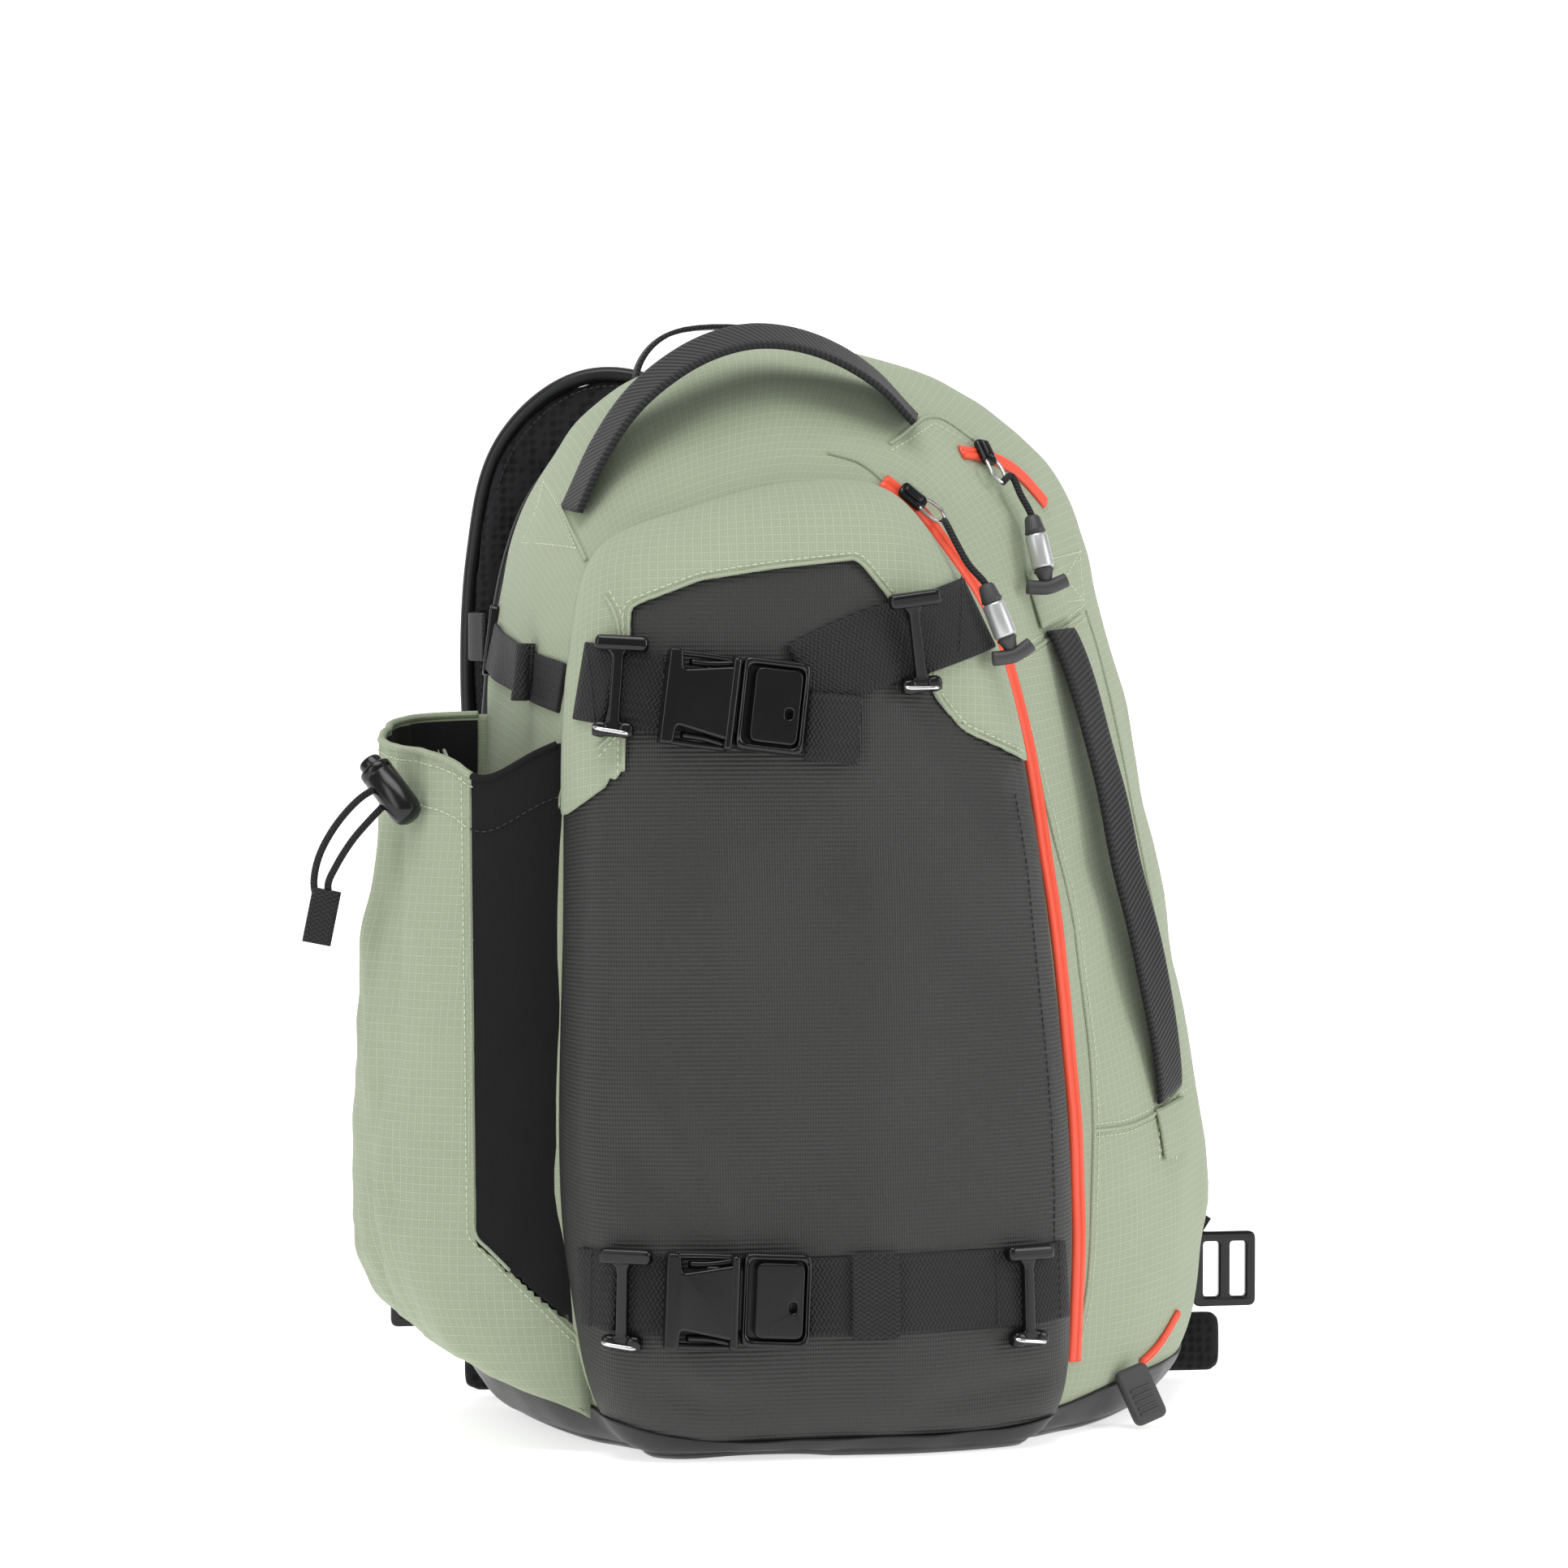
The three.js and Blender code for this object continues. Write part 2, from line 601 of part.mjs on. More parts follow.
// Seats: rays from one side find the surface and its slope.
laidOn.front.push(seat(pocket), seat(body), seat(yokeClear));
laidOn.side.push(seat(body));
laidOn.bottle = [seat(bottle)];
const FAR = 2 * BODY_HEIGHT;
const VIEWS = {
  front: { from: (a, b) => new THREE.Vector3(a, -FAR, b), look: new THREE.Vector3(0, 1, 0) },
  left: { from: (a, b) => new THREE.Vector3(-FAR, a, b), look: new THREE.Vector3(1, 0, 0) },
  right: { from: (a, b) => new THREE.Vector3(FAR, a, b), look: new THREE.Vector3(-1, 0, 0) },
  top: { from: (a, b) => new THREE.Vector3(a, b, FAR), look: new THREE.Vector3(0, 0, -1) },
};
const SLOPE_REACH = 5;
const ray = new THREE.Raycaster();

function hit(view, targets, a, b) {
  ray.set(VIEWS[view].from(a, b), VIEWS[view].look);
  const [first] = ray.intersectObjects(targets, false);
  return first ? first.point : null;
}

function surfaceAt(view, targets, a, b) {
  const point = hit(view, targets, a, b);
  const ends = [[SLOPE_REACH, 0], [-SLOPE_REACH, 0], [0, SLOPE_REACH], [0, -SLOPE_REACH]]
    .map(([da, db]) => hit(view, targets, a + da, b + db) ?? point);
  const normal = ends[0].clone().sub(ends[1]).cross(ends[2].clone().sub(ends[3])).normalize();
  if (normal.dot(VIEWS[view].look) > 0) normal.negate();
  return { point, normal };
}

// A band of cloth laid on the bag along a route seen in one view. A handle bows off the
// surface by a rise that grows towards its middle.
function laidBand(view, targets, route, width, lift, thickness, rise = 0, spacing = 12) {
  const curve = new THREE.CatmullRomCurve3(
    route.map(([a, b]) => new THREE.Vector3(a, b, 0)),
    false,
    'centripetal',
  );
  const steps = Math.max(2, Math.round(curve.getLength() / spacing));
  const [lower, upper] = [[], []];
  for (let i = 0; i <= steps; i += 1) {
    const share = i / steps;
    const middle = curve.getPointAt(share);
    const tangent = curve.getTangentAt(share);
    const across = new THREE.Vector3(-tangent.y, tangent.x, 0);
    const sides = [-0.5, 0, 0.5].map((part) => {
      const at = middle.clone().addScaledVector(across, part * width);
      return surfaceAt(view, targets, at.x, at.y);
    });
    const bow = lift + rise * Math.sin(Math.PI * share) ** 0.7;
    lower.push(sides.map(({ point, normal }) => point.clone().addScaledVector(normal, bow)));
    upper.push(sides.map(({ point, normal }) => point.clone()
      .addScaledVector(normal, bow + thickness)));
  }
  return sheetSolid(lower, upper);
}

// A frame whose X runs along the route, Y across it and Z out of the bag.
function frameOn(view, targets, a, b, direction, lift) {
  const { point, normal } = surfaceAt(view, targets, a, b);
  const { from, look } = VIEWS[view];
  const x = from(...direction).sub(from(0, 0));
  x.addScaledVector(look, -x.dot(normal) / look.dot(normal)).normalize();
  const y = new THREE.Vector3().crossVectors(normal, x);
  const frame = new THREE.Matrix4().makeBasis(x, y, normal);
  frame.setPosition(point.clone().addScaledVector(normal, lift));
  return frame;
}

const wide = (share) => share * BODY_WIDTH;
const high = (share) => share * BODY_HEIGHT;
const clearances = bodyClear.add(pocketClear).add(yokeClear).add(bottleWall(GAP));
function cleared(geometry) {
  return geometryOf(largest(solidOf(geometry).subtract(clearances)));
}

// The two straps across the front pocket, each from an anchor through a hook to a
// buckle, and on through a second hook to the zip side.
const LAYER = GAP + STRAP_CLOTH;
const STRAPS = [
  {
    name: 'upper', anchor: [[-0.338, 0.705], [-0.303, 0.7]], hook: [-0.297, 0.699], tilt: -0.05,
    left: [[-0.295, 0.699], [-0.225, 0.69]], buckle: [-0.15, 0.684], buckleTilt: -0.09,
    right: [[-0.06, 0.705], [0.01, 0.728], [0.08, 0.744]], farHook: [0.084, 0.741], farTilt: 0.14,
    far: [[0.09, 0.746], [0.18, 0.766]], tail: [[-0.058, 0.664], [0.01, 0.66]],
  },
  {
    name: 'lower', anchor: [[-0.343, 0.16], [-0.303, 0.158]], hook: [-0.295, 0.152], tilt: -0.02,
    left: [[-0.293, 0.158], [-0.225, 0.155]], buckle: [-0.155, 0.15], buckleTilt: 0,
    right: [[-0.065, 0.15], [0.08, 0.152], [0.222, 0.15]], farHook: [0.225, 0.143], farTilt: 0,
    far: [[0.232, 0.152], [0.288, 0.154]], tail: null,
  },
];
const inFront = (points) => points.map(([x, z]) => [wide(x), high(z)]);

function bandOnFront(points, width, lift, thickness) {
  const geometry = laidBand('front', laidOn.front, inFront(points), width, lift, thickness);
  return cleared(geometry);
}

// A hook: an upright plate with two slots beside its bar, a wide head and a wire gate.
function hookGeometry() {
  const [w, h] = [HOOK_WIDTH / 2, HOOK_HEIGHT / 2];
  const shape = new THREE.Shape();
  shape.moveTo(-0.55 * w, -h);
  shape.lineTo(0.55 * w, -h);
  shape.lineTo(0.8 * w, -0.82 * h);
  shape.lineTo(0.8 * w, 0.6 * h);
  shape.lineTo(1.15 * w, 0.72 * h);
  shape.lineTo(1.05 * w, h);
  shape.lineTo(-0.75 * w, h);
  shape.lineTo(-0.9 * w, 0.8 * h);
  shape.lineTo(-0.8 * w, -0.82 * h);
  return slotted(plate(shape, HOOK_PLATE, 0.5), 0.42 * w, 0.5 * w, 1.3 * h);
}

// Buckle halves. The socket half is hollow and its mouth faces the other half's tongue.
function femaleGeometry() {
  const outer = solidOf(roundedBox(FEMALE_LENGTH, BUCKLE_WIDTH, BUCKLE_THICKNESS, 4));
  const socket = solidOf(roundedBox(FEMALE_LENGTH, BUCKLE_WIDTH - 10, BUCKLE_THICKNESS - 5, 2)
    .translate(FEMALE_LENGTH * 0.24, 0, 0));
  const slot = solidOf(roundedBox(4, BUCKLE_WIDTH - 8, 2 * BUCKLE_THICKNESS, 1.5)
    .translate(-FEMALE_LENGTH * 0.37, 0, 0));
  const windows = [-1, 1].map((side) => solidOf(
    roundedBox(FEMALE_LENGTH * 0.5, 8, BUCKLE_THICKNESS - 5, 2)
      .translate(FEMALE_LENGTH * 0.1, side * (BUCKLE_WIDTH / 2 - 1), 0),
  ));
  const hollow = outer.subtract(socket).subtract(slot);
  return geometryOf(hollow.subtract(windows[0]).subtract(windows[1]));
}

function maleGeometry() {
  const block = solidOf(roundedBox(MALE_LENGTH, BUCKLE_WIDTH - 3, BUCKLE_THICKNESS - 1, 4));
  const reach = FEMALE_LENGTH * 0.6;
  const tongue = solidOf(roundedBox(reach, BUCKLE_WIDTH - 12, BUCKLE_THICKNESS - 6.5, 2)
    .translate(-MALE_LENGTH / 2 - reach / 2 + 2, 0, 0));
  const slot = solidOf(roundedBox(4, BUCKLE_WIDTH - 9, 2 * BUCKLE_THICKNESS, 1.5)
    .translate(MALE_LENGTH * 0.36, 0, 0));
  return geometryOf(block.add(tongue).subtract(slot));
}

for (const strap of STRAPS) {
  const name = (part) => `${strap.name}_strap_${part}`;
  add(name('anchor'), 'webbing', bandOnFront(strap.anchor, STRAP_WIDTH, GAP, STRAP_CLOTH));
  add(name('left'), 'webbing', bandOnFront(strap.left, STRAP_WIDTH, GAP, STRAP_CLOTH));
  add(name('right'), 'webbing', bandOnFront(strap.right, STRAP_WIDTH, GAP, STRAP_CLOTH));
  add(name('far_anchor'), 'webbing', bandOnFront(strap.far, STRAP_WIDTH, GAP, STRAP_CLOTH));
  if (strap.tail) {
    add(name('tail'), 'webbing', bandOnFront(strap.tail, STRAP_WIDTH - 4, LAYER + GAP, STRAP_CLOTH));
  }
  const hooks = [['hook', strap.hook, strap.tilt], ['far_hook', strap.farHook, strap.farTilt]];
  for (const [part, [x, z], tilt] of hooks) {
    const frame = frameOn('front', laidOn.front, wide(x), high(z), [4, 4 * tilt], 4 * LAYER);
    const inward = new THREE.Vector3().setFromMatrixColumn(frame, 2).negate();
    const near = ['anchor', 'left', 'right', 'far_anchor'].map(name);
    const geometry = hookGeometry();
    add(name(part), 'plastic', geometry, settled(geometry, frame, inward, [...near,
      'front_pocket', 'front_yoke'], HOOK_PLATE));
  }
  const [x, z] = strap.buckle;
  const lift = 2 * LAYER + GAP + BUCKLE_THICKNESS / 2;
  const direction = [9, 9 * strap.buckleTilt];
  const frame = frameOn('front', laidOn.front, wide(x), high(z), direction, lift);
  const inward = new THREE.Vector3().setFromMatrixColumn(frame, 2).negate();
  const socket = femaleGeometry().translate(-FEMALE_LENGTH / 2 - GAP / 2, 0, 0);
  const tongue = maleGeometry().translate(MALE_LENGTH / 2 + GAP / 2, 0, 0);
  const near = [name('left'), name('right'), 'front_pocket', 'front_yoke'];
  if (strap.tail) near.push(name('tail'));
  const both = geometryOf(solidOf(socket).add(solidOf(tongue)));
  const seated = settled(both, frame, inward, near, LAYER);
  add(name('buckle_socket'), 'plastic', socket, seated);
  add(name('buckle_tongue'), 'plastic', tongue, seated);
}

// The carrying handles: ribbed webbing that bows off the top and off the right side.
const TOP_HANDLE = [[-0.328, 0.617], [-0.25, 0.612], [-0.1, 0.607], [0.05, 0.607], [0.148, 0.617]]
  .map(([x, y]) => [wide(x), deep(y)]);
const HANDLE_ACROSS = new THREE.Vector3(0, 1, 0.42).normalize();
const SIDE_HANDLE = [[0.527, 0.75], [0.607, 0.53], [0.527, 0.305]]
  .map(([y, z]) => [deep(y), high(z)]);
const shellSeat = laidOn.side;
function topHandle() {
  const curve = new THREE.CatmullRomCurve3(
    TOP_HANDLE.map(([x, y]) => hit('top', shellSeat, x, y)),
  );
  const steps = 14;
  const points = Array.from({ length: steps + 1 }, (_, k) => {
    const share = k / steps;
    const point = curve.getPointAt(share);
    point.z += GAP + HANDLE_CLOTH / 2 + HANDLE_RISE * Math.sin(Math.PI * share) ** 0.8;
    return point;
  });
  return freeRibbon(points, HANDLE_WIDTH, HANDLE_ACROSS, HANDLE_CLOTH, 1);
}
add('top_handle', 'webbing', cleared(topHandle()));
add('side_handle', 'webbing', cleared(
  laidBand('right', shellSeat, SIDE_HANDLE, SIDE_HANDLE_WIDTH, GAP, HANDLE_CLOTH, SIDE_HANDLE_BOW, 18),
));
const FLAP_CLOTH = 2;
const FLAP_LENGTH = 26;
const FLAP_AWAY = 3.5;
const flapEnds = [['top', SIDE_HANDLE[0], 1], ['bottom', SIDE_HANDLE.at(-1), -1]];
for (const [place, [y, z], up] of flapEnds) {
  const route = [[y, z + up * FLAP_AWAY], [y, z + up * FLAP_LENGTH]];
  const width = SIDE_HANDLE_WIDTH + 4;
  add(`side_flap_${place}`, 'ripstop', cleared(
    laidBand('right', shellSeat, route, width, GAP, FLAP_CLOTH),
  ));
}

// Zips: the long one runs down beside the front seam, the second over the right shoulder,
// and a short one opens the small pouch at the lower right.
function zipRoute() {
  const ring = outlineAt(1);
  const first = OUTLINE.findIndex((row) => row.place === 'top right') * SPAN_STEPS;
  const last = OUTLINE.findIndex((row) => row.place === 'right low') * SPAN_STEPS + 1;
  const away = ZIP_WIDTH / 2 + YOKE_CLOTH + 4 * GAP;
  const route = [];
  for (let k = first; k <= last; k += 1) {
    const run = ring[k + 1].clone().sub(ring[k - 1]).normalize();
    route.push([ring[k].x - run.z * away, ring[k].z + run.x * away]);
  }
  return route;
}
const frontRoute = zipRoute();
const topRoute = inFront([[0.195, 0.918], [0.235, 0.915], [0.28, 0.902], [0.325, 0.872]]);
const pouchRoute = inFront([[0.43, 0.055], [0.465, 0.068], [0.5, 0.095]]);
const zips = [['front', frontRoute, ZIP_WIDTH], ['top', topRoute, ZIP_WIDTH * 0.8],
  ['pouch', pouchRoute, ZIP_WIDTH * 0.5]];
for (const [place, route, width] of zips) {
  add(`zip_${place}`, 'zip', cleared(
    laidBand('front', shellSeat, route, width, GAP, ZIP_HEIGHT, 0, 20),
  ));
}

// Zip pulls: a slider with a wire loop, a short cord, and a grip with a bright sleeve.
function sliderGeometry() {
  const block = solidOf(roundedBox(13, 8, 4, 2));
  const loop = [[4, 0, 2.5], [6, 3.2, 3.2], [14, 3.4, 3.2], [17, 0, 3.2], [14, -3.4, 3.2],
    [6, -3.2, 3.2], [4, 0, 2.5]].map((p) => new THREE.Vector3(...p));
  return geometryOf(block.add(solidOf(tube(loop.slice(0, 6), 1.6, 5, 10))));
}
function gripGeometry() {
  const r = PULL_DIAMETER / 2;
  const core = r - 1.4;
  const profile = [[0, 0], [r * 0.5, 0], [r * 0.85, 7], [core, 8], [core, 24], [r * 0.75, 25],
    [r * 0.5, PULL_LENGTH - 5], [0, PULL_LENGTH - 5]];
  const lathe = new THREE.LatheGeometry(profile.map(([x, y]) => new THREE.Vector2(x, y)), 10);
  const bar = [[-8, PULL_LENGTH - 5, 0], [0, PULL_LENGTH - 3, 0], [8, PULL_LENGTH - 5, 0]];
  const tee = tube(bar.map((p) => new THREE.Vector3(...p)), 6.5, 8, 4);
  return geometryOf(solidOf(lathe).add(solidOf(tee)));
}
function sleeveGeometry() {
  const outer = PULL_DIAMETER / 2 + 0.3;
  const inner = PULL_DIAMETER / 2 - 1.4 + GAP;
  const profile = [[inner, 8.4], [outer, 8.4], [outer, 23.6], [inner, 23.6], [inner, 8.4]];
  return new THREE.LatheGeometry(profile.map(([x, y]) => new THREE.Vector2(x, y)), 10);
}
const RING_END = 20;
const PULLS = [
  { name: 'front', route: frontRoute, at: 0.035, cord: [[0.128, 0.838], [0.152, 0.803]],
    grip: [0.166, 0.783], end: [0.197, 0.728] },
  { name: 'top', route: topRoute, at: 0.1, cord: [[0.252, 0.89], [0.263, 0.872]],
    grip: [0.269, 0.852], end: [0.283, 0.79] },
];
for (const pull of PULLS) {
  const targets = laidOn.front;
  const path = new THREE.CatmullRomCurve3(pull.route.map(([x, z]) => new THREE.Vector3(x, z, 0)));
  const [at, ahead] = [path.getPointAt(pull.at), path.getTangentAt(pull.at).multiplyScalar(3)];
  const start = frameOn('front', shellSeat, at.x, at.y, [ahead.x, ahead.y], 2 * ZIP_HEIGHT + 2);
  const inward = new THREE.Vector3().setFromMatrixColumn(start, 2).negate();
  const slider = sliderGeometry();
  const sliderFrame = settled(slider, start, inward, [`zip_${pull.name}`, 'main_body',
    'front_yoke'], ZIP_HEIGHT);
  add(`zip_slider_${pull.name}`, 'silver', slider, sliderFrame);
  const lifted = ([x, z], lift) => {
    const { point, normal } = surfaceAt('front', targets, wide(x), high(z));
    return point.addScaledVector(normal, lift);
  };
  const reach = PULL_DIAMETER / 2 + 3 * GAP + YOKE_CLOTH;
  const head = lifted(pull.grip, reach + 3);
  const foot = lifted(pull.end, reach + 3);
  const down = foot.clone().sub(head).normalize();
  const ringEnd = new THREE.Vector3(RING_END, 0, 3.3).applyMatrix4(sliderFrame);
  const cord = [ringEnd, ...pull.cord.map((at) => lifted(at, reach)), head.clone()
    .addScaledVector(down, -2.5 * GAP)];
  add(`zip_cord_${pull.name}`, 'cord', tube(cord, CORD_DIAMETER, 8, 6));
  const toward = new THREE.Vector3(0, -1, 0);
  const side = new THREE.Vector3().crossVectors(down, toward).normalize();
  const out = new THREE.Vector3().crossVectors(side, down).normalize();
  const frame = new THREE.Matrix4().makeBasis(side, down, out.negate());
  if (frame.determinant() < 0) frame.makeBasis(side.negate(), down, out);
  frame.setPosition(head);
  add(`zip_grip_${pull.name}`, 'rubber', gripGeometry(), frame);
  add(`zip_sleeve_${pull.name}`, 'silver', sleeveGeometry(), frame);
}

// Cord lock on the rim of the bottle pocket: a barrel with a spring button in its end, two
// strands of drawcord and the tab that ends them.
// Its place as shares of BOTTLE_REACH and BOTTLE_HEIGHT, and where the wall carries it.
const LOCK_AT = [0.925, 0.928];
const LOCK_REST = 0.8;
const LOCK_AXIS = new THREE.Vector3(0.52, -0.42, -0.74).normalize();
const LOCK_WALL = 1.8;
const onBottle = (share) => BOTTLE_FRONT.x - share * BOTTLE_REACH;
const lockZ = LOCK_AT[1] * BOTTLE_HEIGHT;
const lockSeat = hit('front', laidOn.bottle, onBottle(LOCK_REST), lockZ);
const lockTurn = new THREE.Quaternion().setFromUnitVectors(new THREE.Vector3(0, 1, 0), LOCK_AXIS);
const lockStart = new THREE.Matrix4().compose(
  new THREE.Vector3(onBottle(LOCK_AT[0]), lockSeat.y - LOCK_LENGTH / 2, lockZ),
  lockTurn,
  new THREE.Vector3(1, 1, 1),
);
const lockMiddle = new THREE.Vector3().setFromMatrixPosition(settled(
  barrelGeometry(),
  lockStart,
  new THREE.Vector3(0, 1, 0),
  ['bottle_pocket_outer', 'bottle_pocket_gusset'],
));
function alongLock(distance) {
  return lockMiddle.clone().addScaledVector(LOCK_AXIS, distance);
}
function lockFrame(distance) {
  return new THREE.Matrix4().compose(alongLock(distance), lockTurn, new THREE.Vector3(1, 1, 1));
}
function barrelGeometry() {
  const r = LOCK_DIAMETER / 2;
  const bore = r - LOCK_WALL;
  const h = LOCK_LENGTH / 2;
  const profile = [[0, -h + 14], [bore, -h + 14], [bore, -h], [r, -h], [r, h - 5],
    [r * 0.8, h - 1.5], [r * 0.45, h], [0, h]];
  return new THREE.LatheGeometry(profile.map(([x, y]) => new THREE.Vector2(x, y)), 14);
}
function buttonGeometry() {
  const r = LOCK_DIAMETER / 2 - LOCK_WALL - GAP;
  const profile = [[0, -LOCK_TRAVEL - 0.5], [r - 1, -LOCK_TRAVEL - 0.5], [r, -LOCK_TRAVEL + 0.5],
    [r, 8], [0, 8]];
  return new THREE.LatheGeometry(profile.map(([x, y]) => new THREE.Vector2(x, y)), 12);
}
add('cord_lock_barrel', 'plastic', barrelGeometry(), lockFrame(0));
add('cord_lock_button', 'plastic', buttonGeometry(), lockFrame(-LOCK_LENGTH / 2));
const TAB_SIZE = [12, 23, 3];
// Routes of the two strands from the barrel to the tab, from the middle of the barrel.
const STRANDS = [
  [[-4, 0, -5], [-9, -1, -10], [-17, -2, -19], [-24, -2, -30], [-27.2, -2, -37.5]],
  [[-6, 0, 3], [-14, -1, -2], [-24, -2, -13], [-31, -2, -26], [-33, -2, -37]],
];
const barrelClear = solidOf(new THREE.CylinderGeometry(
  LOCK_DIAMETER / 2 + GAP,
  LOCK_DIAMETER / 2 + GAP,
  LOCK_LENGTH + 2 * GAP,
  14,
).applyMatrix4(lockFrame(0)));
STRANDS.forEach((strand, k) => {
  const points = strand.map(([x, y, z]) => lockMiddle.clone().add(new THREE.Vector3(x, y, z)));
  const cord = solidOf(tube(points, CORD_DIAMETER, 8, 7)).subtract(barrelClear);
  add(`drawcord_${k + 1}`, 'cord', geometryOf(largest(cord)));
});
const TAB_FROM_LOCK = new THREE.Vector3(-33, -2, -60);
const tabTurn = new THREE.Quaternion().setFromEuler(new THREE.Euler(0, 0.2, 0));
const tabStart = new THREE.Matrix4().compose(
  lockMiddle.clone().add(TAB_FROM_LOCK),
  tabTurn,
  new THREE.Vector3(1, 1, 1),
);
const tab = roundedBox(TAB_SIZE[0], TAB_SIZE[1], TAB_SIZE[2], 3).rotateX(Math.PI / 2);
const toCords = new THREE.Vector3(0.2, 0, 1).normalize();
add('drawcord_tab', 'webbing', tab, settled(tab, tabStart, toCords, ['drawcord_1', 'drawcord_2']));

// Shoulder straps: padded bands that leave the top of the back panel, arch over and hang
// down behind the bag; webbing runs on to a slider at each hip wing.
const PANEL_REAR = BODY_BACK + GAP + BACK_PAD;
const HARNESS = [
  // across from HARNESS_MIDDLE and up, as shares of BODY_WIDTH and BODY_HEIGHT; back from the
  // back panel as a share of BODY_DEPTH; breadth as a share of HARNESS_WIDTH; how much of
  // HARNESS_DROP the right strap hangs lower there
  { x: -0.11, y: 0.01, z: 0.84, breadth: 0.95, drop: 0.3 },
  { x: -0.145, y: 0.07, z: 0.925, breadth: 1, drop: 0.75 },
  { x: -0.21, y: 0.17, z: 0.943, breadth: 1, drop: 1 },
  { x: -0.272, y: 0.27, z: 0.905, breadth: 1, drop: 1 },
  { x: -0.298, y: 0.315, z: 0.82, breadth: 1, drop: 0.8 },
  { x: -0.306, y: 0.32, z: 0.7, breadth: 1, drop: 0.5 },
  { x: -0.3, y: 0.3, z: 0.575, breadth: 0.92, drop: 0.25 },
  { x: -0.285, y: 0.26, z: 0.445, breadth: 0.8, drop: 0 },
  { x: -0.27, y: 0.21, z: 0.345, breadth: 0.62, drop: 0 },
];
const HARNESS_EDGE = [
  { across: -0.5, pad: 0.35 },
  { across: -0.42, pad: 1 },
  { across: 0, pad: 1 },
  { across: 0.42, pad: 1 },
  { across: 0.5, pad: 0.35 },
];
const HARNESS_STEPS = 13;
function harnessPoint({ x, y, z, drop }, side) {
  return new THREE.Vector3(
    HARNESS_MIDDLE + side * wide(-x),
    PANEL_REAR + y * BODY_DEPTH,
    high(z) - (side > 0 ? HARNESS_DROP * drop : 0),
  );
}
function shoulderStrap(side, grow) {
  const curve = new THREE.CatmullRomCurve3(HARNESS.map((row) => harnessPoint(row, side)));
  const [lower, upper] = [[], []];
  for (let i = 0; i <= HARNESS_STEPS; i += 1) {
    const share = i / HARNESS_STEPS;
    const middle = curve.getPoint(share);
    const tangent = curve.getTangent(share);
    const across = new THREE.Vector3(tangent.z, 0, -tangent.x).normalize();
    const out = tangent.clone().cross(across).normalize();
    const row = share * (HARNESS.length - 1);
    const breadth = along(HARNESS.map((r, k) => ({ ...r, k })), 'k', 'breadth', row);
    const place = (edge, sign) => middle.clone()
      .addScaledVector(across, edge.across * (breadth * HARNESS_WIDTH + 2 * grow))
      .addScaledVector(out, sign * (edge.pad * HARNESS_PAD / 2 + grow));
    lower.push(HARNESS_EDGE.map((edge) => place(edge, -1)));
    upper.push(HARNESS_EDGE.map((edge) => place(edge, 1)));
  }
  return sheetSolid(lower, upper);
}

// A free ribbon of webbing along points, its flat side facing front unless a direction
// across it is given.
function freeRibbon(points, width, across = null, thickness = STRAP_CLOTH, fineness = 2) {
  const curve = new THREE.CatmullRomCurve3(points);
  const steps = (points.length - 1) * fineness;
  const [lower, upper] = [[], []];
  for (let i = 0; i <= steps; i += 1) {
    const middle = curve.getPoint(i / steps);
    const tangent = curve.getTangent(i / steps);
    const side = across ?? new THREE.Vector3(tangent.z, 0, -tangent.x).normalize();
    const out = tangent.clone().cross(side).normalize();
    const row = (sign) => [-0.5, 0.5].map((share) => middle.clone()
      .addScaledVector(side, share * width)
      .addScaledVector(out, sign * thickness / 2));
    lower.push(row(-1));
    upper.push(row(1));
  }
  return sheetSolid(lower, upper);
}
function slotFrameGeometry(width, height) {
  const frame = plate(roundedOutline(width, height, 5), 4, 0.8);
  return slotted(frame, width * 0.21, width * 0.24, height - 8);
}
const HIPS = [
  {
    name: 'right', side: 1, wing: [0.36, 0.645], hang: [[0.44, 0.19, 0.235], [0.545, 0.13, 0.165]],
    slider: 0.647,
  },
  {
    name: 'left', side: -1, wing: [0.34, 0.44], hang: [[0.35, 0.17, 0.22], [0.42, 0.11, 0.16]],
    slider: 0.49,
  },
];
const WING_HEIGHT = 30;
const WING_PAD = 10;
const WING_LIFT = 1;
const SLIDER_SIZE = [29, 34];
const SLIDER_Z = WING_LIFT + WING_HEIGHT + GAP + SLIDER_SIZE[1] / 2;
const TIE_LENGTH = 16;
